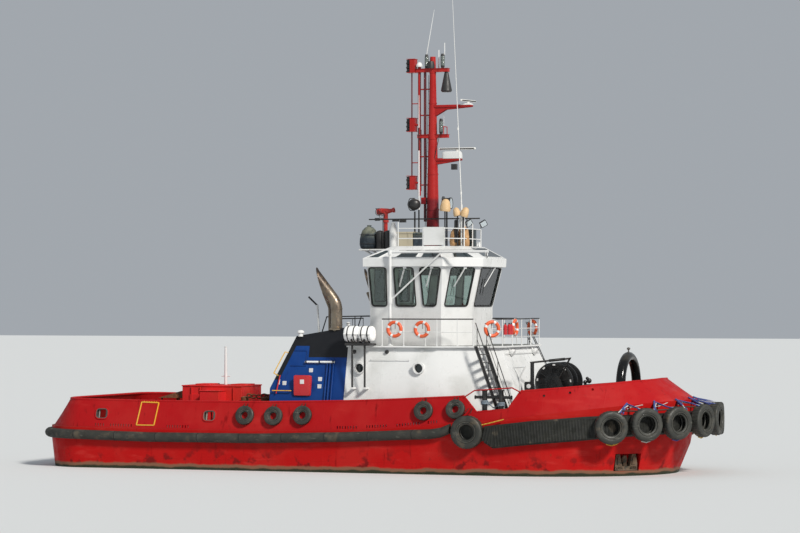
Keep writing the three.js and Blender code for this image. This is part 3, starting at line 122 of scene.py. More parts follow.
POCKET = {"x": 11.35, "y": -3.05, "z": 0.56, "wide": 1.15, "tall": 0.7, "deep": 0.42, "turn": 42}


class Finish:
    """A coat or a bare surface: noise in, then colour, gloss and relief out."""

    def __init__(self, name, colour, rough=0.5, metal=0, **shader):
        self.material = bpy.data.materials.new(name)
        self.material.use_nodes = True
        self.nodes = self.material.node_tree.nodes
        self.links = self.material.node_tree.links
        self.shader = self.nodes["Principled BSDF"]
        self.shader.inputs["Base Color"].default_value = (*colour, 1)
        self.shader.inputs["Roughness"].default_value = rough
        self.shader.inputs["Metallic"].default_value = metal
        for socket, value in shader.items():
            self.shader.inputs[socket.replace("_", " ")].default_value = value
        self.place = self.nodes.new("ShaderNodeTexCoord").outputs["Object"]
        split = self.node("ShaderNodeSeparateXYZ", {"Vector": self.place})
        self.x, self.y, self.z = split.outputs
        self.colour = colour
        self.relief = None

    def node(self, kind, inputs, **settings):
        made = self.nodes.new(kind)
        for key, value in settings.items():
            setattr(made, key, value)
        for key, value in inputs.items():
            if isinstance(value, bpy.types.NodeSocket):
                self.links.new(value, made.inputs[key])
            elif isinstance(value, tuple) and made.inputs[key].type == "RGBA":
                made.inputs[key].default_value = (*value[:3], 1)
            else:
                made.inputs[key].default_value = value
        return made

    def read(self, share):
        """A share: an axis, an axis with a seam's pitch and width, or a noise's scale or settings."""
        if isinstance(share, str):
            return getattr(self, share)
        if isinstance(share, tuple):
            return self.seam(*share) if isinstance(share[0], str) else self.noise(*share)
        return self.noise(share) if isinstance(share, (int, float)) else share

    def between(self, value, low, high, start=0, end=1):
        """Eases a value from start at low to end at high."""
        inputs = {0: self.read(value), 1: low, 2: high, 3: start, 4: end}
        return self.node("ShaderNodeMapRange", inputs, interpolation_type="SMOOTHSTEP").outputs[0]

    def sum(self, kind, first, second=0, third=0):
        values = [
            value if isinstance(value, (int, float)) else self.read(value)
            for value in (first, second, third)
        ]
        return self.node("ShaderNodeMath", dict(enumerate(values)), operation=kind).outputs[0]

    def noise(self, scale, low=0.3, high=0.7, detail=4, stretch=(1, 1, 1), rough=0.55):
        """Cloudy patches, drawn out along an axis where its stretch is small."""
        place = self.node("ShaderNodeMapping", {"Vector": self.place, "Scale": stretch}).outputs[0]
        inputs = {"Vector": place, "Scale": scale, "Detail": detail, "Roughness": rough}
        return self.between(self.node("ShaderNodeTexNoise", inputs).outputs[0], low, high)

    def stain(self, share, colour):
        """Lays another colour over the finish where share is high."""
        inputs = {0: self.read(share), 6: self.colour, 7: colour}
        self.colour = self.node("ShaderNodeMix", inputs, data_type="RGBA").outputs[2]
        self.links.new(self.colour, self.shader.inputs["Base Color"])
        return self

    def seam(self, value, pitch, width):
        """A thin line at each pitch of a coordinate: 1 on it and 0 off it."""
        cell = self.sum("FRACT", self.sum("DIVIDE", value, pitch))
        off = self.sum("ABSOLUTE", self.sum("SUBTRACT", cell, 0.5))
        return self.between(off, 0, width / pitch, 1, 0)

    def gloss(self, share, low, high):
        self.links.new(self.between(share, 0, 1, low, high), self.shader.inputs["Roughness"])
        return self

    def bump(self, share, depth, strength=0.6):
        inputs = {"Height": self.read(share), "Distance": depth, "Strength": strength}
        if self.relief:
            inputs["Normal"] = self.relief
        self.relief = self.node("ShaderNodeBump", inputs).outputs[0]
        self.links.new(self.relief, self.shader.inputs["Normal"])
        return self


class Piece:
    """The plates, bars and castings of one piece, gathered before it is made."""

    def __init__(self):
        self.mesh = bmesh.new()
        self.coat = 0

    def face(self, corners):
        face = self.mesh.faces.new(corners)
        face.material_index = self.coat
        return face

    def skin(self, rings, ends=True, wrap=True, close=False):
        """A skin through rings of points, with its ends closed."""
        rows = [[self.mesh.verts.new(p) for p in ring] for ring in rings]
        count = len(rows[0])
        pairs = list(zip(rows, rows[1:])) + ([(rows[-1], rows[0])] if close else [])
        for low, high in pairs:
            for i in range(count if wrap else count - 1):
                j = (i + 1) % count
                self.face((low[i], low[j], high[j], high[i]))
        if ends and not close:
            self.face(rows[0][::-1])
            self.face(rows[-1])
        return self

    def plate(self, outline, place, thick):
        """A flat outline of (u, v) points, given a thickness, set by a frame."""
        return self.skin([lay(place, outline, w) for w in (0, thick)])

    def web(self, outline, *sides):
        """A plate on edge: (x, z) points between two y."""
        return self.skin([[(x, y, z) for x, z in outline] for y in sides])

    def block(self, low, high):
        (x0, y0, z0), (x1, y1, z1) = low, high
        return self.skin([[(x0, y0, z), (x1, y0, z), (x1, y1, z), (x0, y1, z)] for z in (z0, z1)])

    def bar(self, path, radius, sides=8, loop=False):
        """A round bar swept along a path, mitred at its bends."""
        path = [Vector(p) for p in path]
        radii = radius if isinstance(radius, (list, tuple)) else [radius] * len(path)
        count = len(path)
        legs = [(path[(i + 1) % count] - path[i]).normalized() for i in range(count)]
        if not loop:
            legs[-1] = legs[-2]
        side = legs[0].orthogonal().normalized()
        rings = []
        for i, spot in enumerate(path):
            back = legs[i - 1] if loop or i else legs[0]
            ahead = legs[i]
            side = (side - back * side.dot(back)).normalized()
            up = back.cross(side)
            bend = (back + ahead).normalized()
            ring = []
            for k in range(sides):
                turn = 2 * pi * k / sides
                out = (side * cos(turn) + up * sin(turn)) * radii[i]
                ring.append(spot + out - back * (out.dot(bend) / back.dot(bend)))
            rings.append(ring)
        return self.skin(rings, close=loop)

    def hoop(self, path, radius, sides=8):
        return self.bar(path, radius, sides, loop=True)

    def turned(self, outline, place, sides=20, close=False):
        """A turned shape from (radius, height) points on the Z axis of a frame, or upright over a spot."""
        place = stand(place) if isinstance(place, tuple) else place
        rings = [lay(place, circle(radius, sides), height) for radius, height in outline]
        return self.skin(rings, close=close)

    def ring(self, outline, place, sides=20):
        """A turned shape that is open along its axis."""
        return self.turned(outline, place, sides, close=True)

    def lathe(self, outline, place, sides=20):
        """A turned shape whose two ends are flat."""
        return self.turned([(0, outline[0][1]), *outline, (0, outline[-1][1])], place, sides)

    def both_sides(self):
        """Adds the port half, as the mirror image of the starboard half."""
        for face in list(self.mesh.faces):
            corners = [self.mesh.verts.new((v.co.x, -v.co.y, v.co.z)) for v in reversed(face.verts)]
            self.mesh.faces.new(corners).material_index = face.material_index
        return self

    def done(self, name, coats=(), slot=None, instead_of="", edge=0, body="tug", crease=32, cuts=None):
        """Makes the object: cleaned, cut, creased at sharp edges and bevelled."""
        bmesh.ops.remove_doubles(self.mesh, verts=self.mesh.verts, dist=1e-5)
        bmesh.ops.recalc_face_normals(self.mesh, faces=self.mesh.faces)
        mesh = bpy.data.meshes.new(name)
        self.mesh.to_mesh(mesh)
        self.mesh.free()
        for coat in coats:
            mesh.materials.append(coat.material)
        made = add(name, mesh)
        if not coats:  # a cutter, or a shape that is only copied
            return made
        if cuts:
            tool = made.modifiers.new("cut", "BOOLEAN")
            tool.operation = "DIFFERENCE"
            tool.solver = "EXACT"
            tool.use_self = True
            tool.object = cuts
            settle(made)
            bpy.data.objects.remove(cuts)
        crease_edges(made.data, crease)
        if edge:
            bevel = made.modifiers.new("edge", "BEVEL")
            bevel.width = edge
            bevel.segments = 2
            bevel.limit_method = "ANGLE"
            bevel.angle_limit = radians(crease)
            bevel.harden_normals = True
        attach(made, body)
        if instead_of:
            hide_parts(*instead_of.split())
        return made


def settle(made):
    """Turns an object with live modifiers into the plain mesh that they give."""
    bpy.context.view_layer.update()
    ready = made.evaluated_get(bpy.context.evaluated_depsgraph_get())
    mesh = bpy.data.meshes.new_from_object(ready)
    made.modifiers.clear()
    made.data = mesh
    mesh.name = made.name


def crease_edges(mesh, angle):
    """Shades smooth across shallow edges and flat across sharp ones."""
    soft = bmesh.new()
    soft.from_mesh(mesh)
    for face in soft.faces:
        face.smooth = True
    for seam in soft.edges:
        seam.smooth = seam.calc_face_angle(0) < radians(angle)
    soft.to_mesh(mesh)
    soft.free()


def stand(spot, facing=(0, 0, 1), along=(1, 0, 0)):
    """A frame with its Z axis on facing and its X axis as near along as it can be."""
    z = Vector(facing).normalized()
    x = Vector(along) - z * z.dot(Vector(along))
    if x.length < 1e-6:
        x = z.orthogonal()
    x.normalize()
    return Matrix.Translation(spot) @ Matrix((x, z.cross(x), z)).transposed().to_4x4()


def lay(place, points, height=0):
    """Points of a flat outline, at a height in a frame."""
    return [place @ Vector((u, v, height)) for u, v in points]


def circle(wide, count, tall=None):
    """Points round a circle, or round an ellipse that has a second radius."""
    turns = (2 * pi * k / count for k in range(count))
    return [(wide * cos(t), (tall or wide) * sin(t)) for t in turns]


def read_off(table, x):
    """Straight-line reading of a height from rows of (x, height)."""
    if x <= table[0][0]:
        return table[0][1]
    for (x0, z0), (x1, z1) in zip(table, table[1:]):
        if x <= x1:
            return z0 + (z1 - z0) * (x - x0) / (x1 - x0)
    return table[-1][1]


def half_plan(aft, corner, half, run, fore):
    """Half a plan of the hull from stern to stem, starboard side: x, y and outward direction."""
    points = [(aft, 0, -1, 0)]
    for i in range(CORNER_STEPS + 1):
        turn = pi / 2 * i / CORNER_STEPS
        nx, ny = -cos(turn), -sin(turn)
        points.append((aft + corner + corner * nx, corner - half + corner * ny, nx, ny))
    for i in range(1, SIDE_STEPS + 1):
        points.append((aft + corner + (run - aft - corner) * i / SIDE_STEPS, -half, 0, -1))
    for i in range(1, BOW_STEPS + 1):
        turn = pi / 2 * i / BOW_STEPS
        out = Vector((sin(turn) / (fore - run), -cos(turn) / half)).normalized()
        points.append((run + (fore - run) * sin(turn), -half * cos(turn), out.x, out.y))
    points[-1] = (points[-1][0], 0, 1, 0)
    return points


def painted_steel(name, colour, faded, rough=0.42, rust=0.5, **shader):
    """Ship's paint: faded in patches, dusty, streaked below, dented between frames."""
    coat = (
        Finish(name, colour, rough, **shader).stain((0.7, 0.42, 0.66), faded)
        .stain((5, 0.6, 0.78, 4, (1, 1, 0.14)), tuple(0.55 * c for c in colour))
    )
    spots = coat.noise(9, 0.7 - 0.05 * rust, 0.76, stretch=(1, 1, 0.35), detail=8)
    coat.stain(coat.sum("MULTIPLY", spots, rust), RUST).gloss(3, rough - 0.08, rough + 0.14)
    coat.bump(1.1, 0.012, 0.35).bump(60, 0.0015, 0.3)
    return coat


def pocket_frame(side):
    spot = (POCKET["x"], side * POCKET["y"], POCKET["z"])
    return Matrix.Translation(spot) @ Matrix.Rotation(radians(side * POCKET["turn"]), 4, "Z")


hull_paint = painted_steel(
    "hull_paint", PAINT_RED, PAINT_RED_FADED, rough=0.5, rust=0.75, Specular_IOR_Level=0.1
)
hull_paint.stain((2.2, 0.54, 0.76, 7, (0.35, 0.35, 1.4)), (0.48, 0.026, 0.022))
hull_paint.stain(
    hull_paint.sum("MULTIPLY", (1.6, 0.52, 0.62, 8), hull_paint.between("z", 1.3, 0.3)), PAINT_RED_DARK
)
ripple = hull_paint.sum("MULTIPLY", (1.3, 0.2, 0.8, 7), 0.1)
scale_line = hull_paint.sum("ADD", "z", ripple)
hull_paint.stain(hull_paint.between(scale_line, 0.34, 0.24), (0.21, 0.105, 0.065))
hull_paint.stain(hull_paint.between(scale_line, 0.2, 0.13), (0.03, 0.036, 0.022))
hull_paint.stain(hull_paint.between("z", -0.12, -0.3), (0.13, 0.022, 0.018))
hull_paint.bump(("x", 2.35, 0.02), 0.006).bump(("z", 0.93, 0.02), 0.005)

deck_paint = (
    Finish("deck_paint", (0.17, 0.055, 0.042), 0.8).stain((0.9, 0.4, 0.7, 6), (0.11, 0.045, 0.036))
    .stain((14, 0.62, 0.75), RUST).bump(160, 0.002).gloss(2, 0.6, 0.9)
)

hull = Piece()
hull_rings = []
for level, *plan in WATERLINES:
    half = half_plan(*plan)
    ring = [(x, y, read_off(DECK_EDGE, x) if level is None else level) for x, y, *_ in half]
    hull_rings.append(ring + [(x, -y, z) for x, y, z in ring[-2:0:-1]])
hull.skin(hull_rings, ends=False)
plan_half = len(half_plan(*WATERLINES[0][1:]))
for coat, ring in enumerate((hull_rings[0], hull_rings[-1])):
    hull.coat = coat
    port = [(x, -y, z) for x, y, z in ring[:plan_half]]
    hull.skin([ring[:plan_half], port], ends=False, wrap=False)
hull.coat = 0
hull.web(SKEG, -SKEG_WIDTH / 2, SKEG_WIDTH / 2)
for x, y in PADS:
    hull.turned(((0.62, 0), (0.62, 0.36)), (x, y, -1.76), 48)
pocket = Piece()
for side in (-1, 1):
    place = pocket_frame(-side)
    w, d, h = POCKET["wide"] / 2, POCKET["deep"], POCKET["tall"] / 2
    pocket.skin([lay(place, ((-w, -d), (w, -d), (w, d), (-w, d)), z) for z in (-h, h)])
pocket_tool = pocket.done("pocket_tool")
hull.done("hull_plating", [hull_paint, deck_paint], "hull_paint", "hull", cuts=pocket_tool)

# Bulwark: a plated wall round the deck edge that leans in, most at the bow and
# stern, with a round cap bar, welded stays, mooring holes and drain slots.
BULWARK_TOP = (  # x, height of the top edge
    (-14.2, 2.9), (-9, 2.83), (-4, 2.84), (0, 2.93), (2, 3.02), (4.9, 3.17),
    (7.3, 3.4), (9, 3.53), (10.6, 3.66), (12, 3.78), (13.4, 3.84),
)
INSET, PLATE, FOOT = 0.06, 0.07, 0.06
LEAN_SIDE, LEAN_STERN, LEAN_BOW = 0.28, 0.96, 1.3
HALF_BEAM, BOW_START, STEM = 4.8, 7, 13.4
GATE = ((4.9, 4.2), (4.9, 3.166), (5.47, 2.56), (6.81, 2.683), (7.29, 3.39), (7.29, 4.2))
GATE_RAIL = ((4.88, -4.48, 3.13), (5.35, -4.48, 3.425), (6.95, -4.48, 3.546), (7.33, -4.48, 3.36))
FAIRLEADS = ((-11.23, 2.29), (-6.28, 2.256))
FAIRLEAD_HALF = (0.27, 0.21)
FAIRLEAD_CORNER = 0.15
EYES = ((8.31, 3.243), (9.37, 3.366), (10.29, 3.49))
EYE_RADIUS = 0.05
DRAINS = (
    (-11.48, -11.06), (-10.78, -9.81), (-8.17, -7.14), (-0.52, 0.43), (0.78, 1.72), (2.09, 3.06),
    (3.44, 3.88)
)
DRAIN_PITCH, DRAIN_SIZE = 0.119, (0.052, 0.11)
BOARDING_MARK = ((-9.43, 2.79), (-8.64, 2.77), (-8.77, 1.83), (-9.58, 1.83))
STAY_PITCH = 0.92


def bulwark_lean(nx):
    end = LEAN_BOW if nx > 0 else LEAN_STERN
    return LEAN_SIDE + (end - LEAN_SIDE) * abs(nx) ** 1.5


def on_bulwark(x, z, proud=0):
    """A point on the starboard plating's outer face, with the face's outward direction."""
    share = max(x - BOW_START, 0) / (STEM - BOW_START)
    y = -HALF_BEAM * math.sqrt(max(1 - share * share, 0))
    out = Vector((share / (STEM - BOW_START), y / HALF_BEAM ** 2 if y else -1e-6, 0)).normalized()
    foot, top = read_off(DECK_EDGE, x) - FOOT, read_off(BULWARK_TOP, x)
    slope = bulwark_lean(out.x) / (top - foot)
    facing = (out + Vector((0, 0, slope))).normalized()
    return Vector((x, y, z)) + out * (-INSET - slope * (z - foot)) + facing * proud, facing


def rounded(half_wide, half_tall, corner, steps=5):
    """A rounded rectangle as (u, v) points."""
    points = []
    for k, (su, sv) in enumerate(((1, 1), (-1, 1), (-1, -1), (1, -1))):
        for i in range(steps + 1):
            turn = pi / 2 * (k + i / steps)
            points.append((
                su * (half_wide - corner) + corner * cos(turn),
                sv * (half_tall - corner) + corner * sin(turn)
            ))
    return points


bulwark_coat = painted_steel(
    "bulwark_paint", (0.37, 0.007, 0.009), (0.39, 0.013, 0.013), rough=0.45, rust=0.35,
    Specular_IOR_Level=0.12
)
bulwark_coat.stain((1.4, 0.58, 0.74, 8, (0.3, 0.3, 1.2)), (0.44, 0.022, 0.02))
bulwark_coat.bump(("x", 2.35, 0.02), 0.005)
mark_yellow = painted_steel("mark_yellow", (0.75, 0.36, 0.02), (0.7, 0.38, 0.05), rust=0.3)
worn_steel = painted_steel(
    "worn_steel", (0.16, 0.15, 0.14), (0.24, 0.21, 0.18), metal=0.7, rough=0.38, rust=0.8
)

edge_half = half_plan(*WATERLINES[-1][1:])
edge_loop = edge_half + [(x, -y, nx, -ny) for x, y, nx, ny in edge_half[-2:0:-1]]
bulwark = Piece()
cap_line = []
rings = []
for x, y, nx, ny in edge_loop:
    low, high = read_off(DECK_EDGE, x) - FOOT, read_off(BULWARK_TOP, x)
    lean = bulwark_lean(nx)
    section = ((-INSET, low), (-INSET - lean, high), (-INSET - lean - PLATE, high), (-INSET - PLATE, low))
    rings.append([(x + nx * out, y + ny * out, z) for out, z in section])
    cap_line.append((x - nx * (INSET + lean + PLATE / 2), y - ny * (INSET + lean + PLATE / 2), high))
bulwark.skin(rings, close=True)
bulwark.hoop(cap_line, 0.052, 10)

holes = Piece()
holes.web(GATE, -6, 6)
for x, z in FAIRLEADS:
    outline = rounded(*FAIRLEAD_HALF, FAIRLEAD_CORNER)
    holes.skin([[(x + u, y, z + v) for u, v in outline] for y in (-6, -3.5)])
    holes.skin([[(x + u, y, z + v) for u, v in outline] for y in (3.5, 6)])
for x, z in EYES:
    spot, out = on_bulwark(x, z)
    for way in (1, -1):
        holes.turned(
            ((EYE_RADIUS, -0.4), (EYE_RADIUS, 0.4)),
            stand((spot.x, spot.y * way, spot.z), (out.x, out.y * way, out.z))
        )
drain_spots = []
for start, end in DRAINS:
    for i in range(int((end - start) / DRAIN_PITCH) + 1):
        drain_spots.append(start + i * DRAIN_PITCH)
for x in drain_spots:
    z = read_off(DECK_EDGE, x) + 0.11
    for y0, y1 in ((-4.9, -4.5), (4.5, 4.9)):
        w, h = DRAIN_SIZE[0] / 2, DRAIN_SIZE[1] / 2
        holes.block((x - w, y0, z - h), (x + w, y1, z + h))
holes_tool = holes.done("holes_tool")
bulwark.done(
    "bulwark_plating", [bulwark_coat], "bulwark_paint", "bulwark_starboard bulwark_port", cuts=holes_tool
)

trim = Piece()
for x, z in FAIRLEADS:
    outline = rounded(FAIRLEAD_HALF[0] + 0.02, FAIRLEAD_HALF[1] + 0.02, FAIRLEAD_CORNER + 0.02)
    trim.hoop([on_bulwark(x + u, z + v, 0.005)[0] for u, v in outline], 0.034)
    trim.hoop([on_bulwark(x + u, z + v, -PLATE)[0] for u, v in outline], 0.034)
for x, z in EYES:
    spot, out = on_bulwark(x, z)
    trim.hoop(lay(stand(spot, out), circle(0.058, 18)), 0.01, 6)
trim.bar(GATE_RAIL, 0.026)
gate_edge = [on_bulwark(x, z, -PLATE / 2)[0] for x, z in GATE[1:-1]]
trim.bar(gate_edge, 0.048)
travel = 0
for (x0, y0, *_), (x1, y1, nx, ny) in zip(edge_half[1:], edge_half[2:]):
    travel += math.dist((x0, y0), (x1, y1))
    if travel < STAY_PITCH or 4.7 < x1 < 7.5 or y1 > -0.5:
        continue
    travel = 0
    low, high = read_off(DECK_EDGE, x1) - FOOT, read_off(BULWARK_TOP, x1)
    lean = bulwark_lean(nx)
    stay = (
        (-INSET - PLATE + 0.01, low), (-INSET - PLATE - 0.8 * lean, low + 0.8 * (high - low)),
        (-INSET - PLATE - 0.8 * lean - 0.07, low + 0.8 * (high - low)),
        (-INSET - PLATE - max(0.42, lean * 0.6), low + 0.04)
    )
    along = Vector((-ny, nx, 0)) * 0.007
    trim.skin([
        [Vector((x1 + nx * out, y1 + ny * out, z)) + along * way for out, z in stay] for way in (-1, 1)
    ])
trim.coat = 2
for x, z in FAIRLEADS:
    sleeve = []
    for small, deep in ((0.005, 0.03), (0.005, -0.16), (0.03, -0.16), (0.03, 0.03)):
        outline = rounded(FAIRLEAD_HALF[0] - small, FAIRLEAD_HALF[1] - small, FAIRLEAD_CORNER - small)
        sleeve.append([on_bulwark(x + u, z + v, deep)[0] for u, v in outline])
    trim.skin(sleeve, close=True)
    for along in (-0.17, 0.17):
        trim.bar([on_bulwark(x + along, z + up, -0.1)[0] for up in (-0.2, 0.2)], 0.045, 12)
trim.both_sides()
trim.coat = 1
mark = [on_bulwark(x, z, 0.004)[0] for x, z in BOARDING_MARK]
for a, b in zip(mark, mark[1:] + mark[:1]):
    trim.bar((a, b), 0.032, 4)
for i in range(1, 7):
    a, b = mark[0].lerp(mark[1], i / 7), mark[3].lerp(mark[2], i / 7)
    trim.bar((a.lerp(b, 0.02), a.lerp(b, -0.045)), 0.02, 4)
trim.done("bulwark_fittings", [bulwark_coat, mark_yellow, worn_steel], "bulwark_paint")

# Belt fender: a D-section of black rubber, bolted round the stern and along
# both sides in lengths that butt together.
BELT_OUT, BELT_HALF, BELT_ROOT, BELT_FORE = 0.3, 0.2, 0.08, 4.45
BELT_HEIGHT = ((-14.2, 1.44), (-12, 1.4), (-9, 1.34), (-4, 1.36), (0, 1.48), (3.9, 1.665), (4.45, 1.89))
BELT_LENGTH = 1.9


def rubber(name, colour, worn, rough=0.75):
    """Old rubber: scuffed grey on its faces, dusty brown low down, finely pitted."""
    coat = (
        Finish(name, colour, rough).stain((2.5, 0.45, 0.7, 8), worn)
        .stain((11, 0.6, 0.75, 6, (0.3, 0.3, 1)), tuple(1.9 * c for c in worn))
        .stain((1.7, 0.58, 0.72), (0.075, 0.06, 0.04)).gloss(5, rough - 0.15, rough + 0.15).bump(45, 0.003)
    )
    return coat


belt_coat = (
    rubber("belt_rubber", (0.022, 0.023, 0.019), (0.045, 0.044, 0.036))
    .stain(("x", BELT_LENGTH, 0.035), (0.008, 0.008, 0.008)).bump(("x", BELT_LENGTH, 0.05), 0.02)
)

belt_plan = half_plan(*WATERLINES[-2][1:])[:CORNER_STEPS + 2]
belt_line = belt_plan + [(-12.2 + i * (BELT_FORE + 12.2) / 40, -HALF_BEAM, 0, -1) for i in range(1, 41)]
belt_line = belt_line[::-1] + [(x, -y, nx, -ny) for x, y, nx, ny in belt_line[1:]]
belt_section = [(-BELT_ROOT, -BELT_HALF)]
for i in range(9):
    turn = pi / 2 * (i / 4 - 1)
    belt_section.append((0.1 + (BELT_OUT - 0.1) * cos(turn), BELT_HALF * sin(turn)))
belt_section.append((-BELT_ROOT, BELT_HALF))
belt = Piece()
belt.skin([
    [(x + nx * out, y + ny * out, read_off(BELT_HEIGHT, x) + up) for out, up in belt_section]
    for x, y, nx, ny in belt_line
])
for side in (-1, 1):  # a pad on the plating carries on behind the big tyre
    pad = stand((5.15, side * (HALF_BEAM - 0.02), 1.78), (0, side, 0), (0, 0, 1))
    belt.plate(rounded(0.36, 0.55, 0.1), pad, 0.06)
belt.done("belt_fender_rubber", [belt_coat], "fender_rubber", "belt_fender_starboard belt_fender_port")

# Bow fender: upright rubber ribs moulded on flat blocks, held by flat bars from
# the side gates round the stem.
BOW_FENDER_AFT, BOW_OUT_SIDE, BOW_OUT_STEM, BOW_ROOT = 5.93, 0.32, 0.64, 0.26
BOW_FENDER_TOP = ((5.93, 2.01), (7.86, 2.24), (9.95, 2.42), (10.8, 2.46), (13.4, 2.56))
BOW_FENDER_FOOT = ((5.93, 1.34), (6.3, 1.12), (7.86, 1.29), (9.95, 1.48), (10.8, 1.58), (13.4, 1.75))
RIB_PITCH, RIB_HALF, RIB_DEEP = 0.12, 0.045, 0.045


def bow_out(nx):
    return BOW_OUT_SIDE + (BOW_OUT_STEM - BOW_OUT_SIDE) * max(nx, 0) ** 1.5


def copies_along_path():
    """Nodes that set copies of a shape at an even pitch along a path, facing out."""
    tree = bpy.data.node_groups.new("copies_along_path", "GeometryNodeTree")
    for label, kind in (
        ("Path", "Geometry"), ("Copy", "Object"), ("Pitch", "Float"), ("Finish", "Material")
    ):
        tree.interface.new_socket(label, in_out="INPUT", socket_type=f"NodeSocket{kind}")
    tree.interface.new_socket("Pieces", in_out="OUTPUT", socket_type="NodeSocketGeometry")
    new = tree.nodes.new
    given, result = new("NodeGroupInput"), new("NodeGroupOutput")
    curve, spread = new("GeometryNodeMeshToCurve"), new("GeometryNodeResampleCurve")
    spread.mode = "LENGTH"
    tangent, out = new("GeometryNodeInputTangent"), new("GeometryNodeInputNamedAttribute")
    out.data_type = "FLOAT_VECTOR"
    out.inputs["Name"].default_value = "facing"
    face, line_up = new("FunctionNodeAlignRotationToVector"), new("FunctionNodeAlignRotationToVector")
    face.axis, line_up.axis, line_up.pivot_axis = "Z", "X", "Z"
    tall = new("GeometryNodeInputNamedAttribute")
    tall.data_type = "FLOAT_VECTOR"
    tall.inputs["Name"].default_value = "size"
    shape, copies = new("GeometryNodeObjectInfo"), new("GeometryNodeInstanceOnPoints")
    real, coat = new("GeometryNodeRealizeInstances"), new("GeometryNodeSetMaterial")
    for source, output, target, entry in (
        (given, "Path", curve, "Mesh"), (curve, "Curve", spread, "Curve"),
        (given, "Pitch", spread, "Length"), (spread, "Curve", copies, "Points"),
        (out, "Attribute", face, "Vector"), (face, "Rotation", line_up, "Rotation"),
        (tangent, "Tangent", line_up, "Vector"), (line_up, "Rotation", copies, "Rotation"),
        (tall, "Attribute", copies, "Scale"), (given, "Copy", shape, "Object"),
        (shape, "Geometry", copies, "Instance"), (copies, "Instances", real, "Geometry"),
        (real, "Geometry", coat, "Geometry"), (given, "Finish", coat, "Material"),
        (coat, "Geometry", result, "Pieces")
    ):
        tree.links.new(source.outputs[output], target.inputs[entry])
    return tree


along_path = copies_along_path()


def set_copies(name, runs, shape, coat, pitch):
    """One plain mesh of copies of a shape, spaced along runs of (spot, facing, size) points."""
    mesh = bpy.data.meshes.new(name)
    spots = [point for run in runs for point in run]
    edges, start = [], 0
    for run in runs:
        edges += [(start + i, start + i + 1) for i in range(len(run) - 1)]
        start += len(run)
    mesh.from_pydata([tuple(spot) for spot, _, _ in spots], edges, [])
    for label, column in (("facing", 1), ("size", 2)):
        values = mesh.attributes.new(label, "FLOAT_VECTOR", "POINT")
        for item, point in zip(values.data, spots):
            item.vector = point[column]
    made = add(name, mesh)
    nodes = made.modifiers.new("copies", "NODES")
    nodes.node_group = along_path
    given = {"Copy": shape, "Pitch": pitch, "Finish": coat.material}
    for item in along_path.interface.items_tree:
        if item.in_out == "INPUT" and item.name in given:
            nodes[item.identifier] = given[item.name]
    settle(made)
    bpy.data.objects.remove(shape)
    crease_edges(made.data, 32)
    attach(made, "tug")


bow_coat = rubber("bow_rubber", (0.006, 0.007, 0.005), (0.015, 0.016, 0.012), rough=0.75)
bow_half = [(x, -HALF_BEAM, 0, -1) for x in (BOW_FENDER_AFT, 6.3, 6.65)] + edge_half[-BOW_STEPS - 1:]
bow_line = bow_half + [(x, -y, nx, -ny) for x, y, nx, ny in bow_half[-2::-1]]
bow_fender = Piece()
rings = []
for x, y, nx, ny in bow_line:
    out, root = bow_out(nx) - 0.03, -BOW_ROOT - 0.2 * max(nx, 0)
    foot, top = read_off(BOW_FENDER_FOOT, x), read_off(BOW_FENDER_TOP, x)
    section = (
        (root, foot), (out - 0.09, foot), (out, foot + 0.09), (out, top - 0.09), (out - 0.09, top),
        (root, top)
    )
    rings.append([(x + nx * o, y + ny * o, z) for o, z in section])
bow_fender.skin(rings)
bow_fender.done("bow_fender_rubber", [bow_coat], "fender_rubber", "bow_fender")

rib = Piece()
rib.skin([
    [
        (RIB_HALF * u, v, RIB_DEEP * w - 0.03)
        for u, w in ((-1, 0), (-0.72, 0.8), (-0.3, 1), (0.3, 1), (0.72, 0.8), (1, 0))
    ]
    for v in (-0.5, 0.5)
])
rib_shape = rib.done("rib_shape")
run = []
for x, y, nx, ny in bow_line:
    foot, top = read_off(BOW_FENDER_FOOT, x) + 0.07, read_off(BOW_FENDER_TOP, x) - 0.07
    out = bow_out(nx) - 0.03
    run.append((Vector((x + nx * out, y + ny * out, (foot + top) / 2)), (nx, ny, 0), (1, top - foot, 1)))
set_copies("bow_fender_ribs", [run], rib_shape, bow_coat, RIB_PITCH)

# Tyres: worn truck and loader tyres hung as fenders, nine round the stem on a
# chain, one big one at each side gate and five small ones on each bulwark.
BOW_TYRE = {"radius": 0.67, "hole": 0.34, "width": 0.42}
BOW_TYRES = ((36, 2), (49.2, 2.11), (62.5, 2.15), (77, 2.21), (90, 2.24))  # degrees, height
SIDE_TYRE = {"radius": 0.672, "hole": 0.3, "width": 0.44}
SMALL_TYRE = {"radius": 0.405, "hole": 0.15, "width": 0.2}
SMALL_TYRES = ((-4.645, 2.275), (-3.358, 2.267), (-2.063, 2.309), (3.226, 2.562), (4.6, 2.64))
LUGS = 30
ROPE_BLUE, ROPE_WHITE, ROPE_YELLOW = (0.06, 0.09, 0.3), (0.62, 0.62, 0.58), (0.66, 0.4, 0.05)

tyre_coat = rubber("tyre_rubber", (0.024, 0.025, 0.021), (0.048, 0.048, 0.04), rough=0.58)
# Paler rubber for the bead lip: a painted highlight.
bead_highlight_coat = rubber("tyre_bead", (0.075, 0.073, 0.062), (0.12, 0.115, 0.1), rough=0.6)
chain_coat = painted_steel(
    "chain_iron", (0.05, 0.04, 0.035), (0.09, 0.05, 0.03), metal=0.6, rough=0.6, rust=1
)


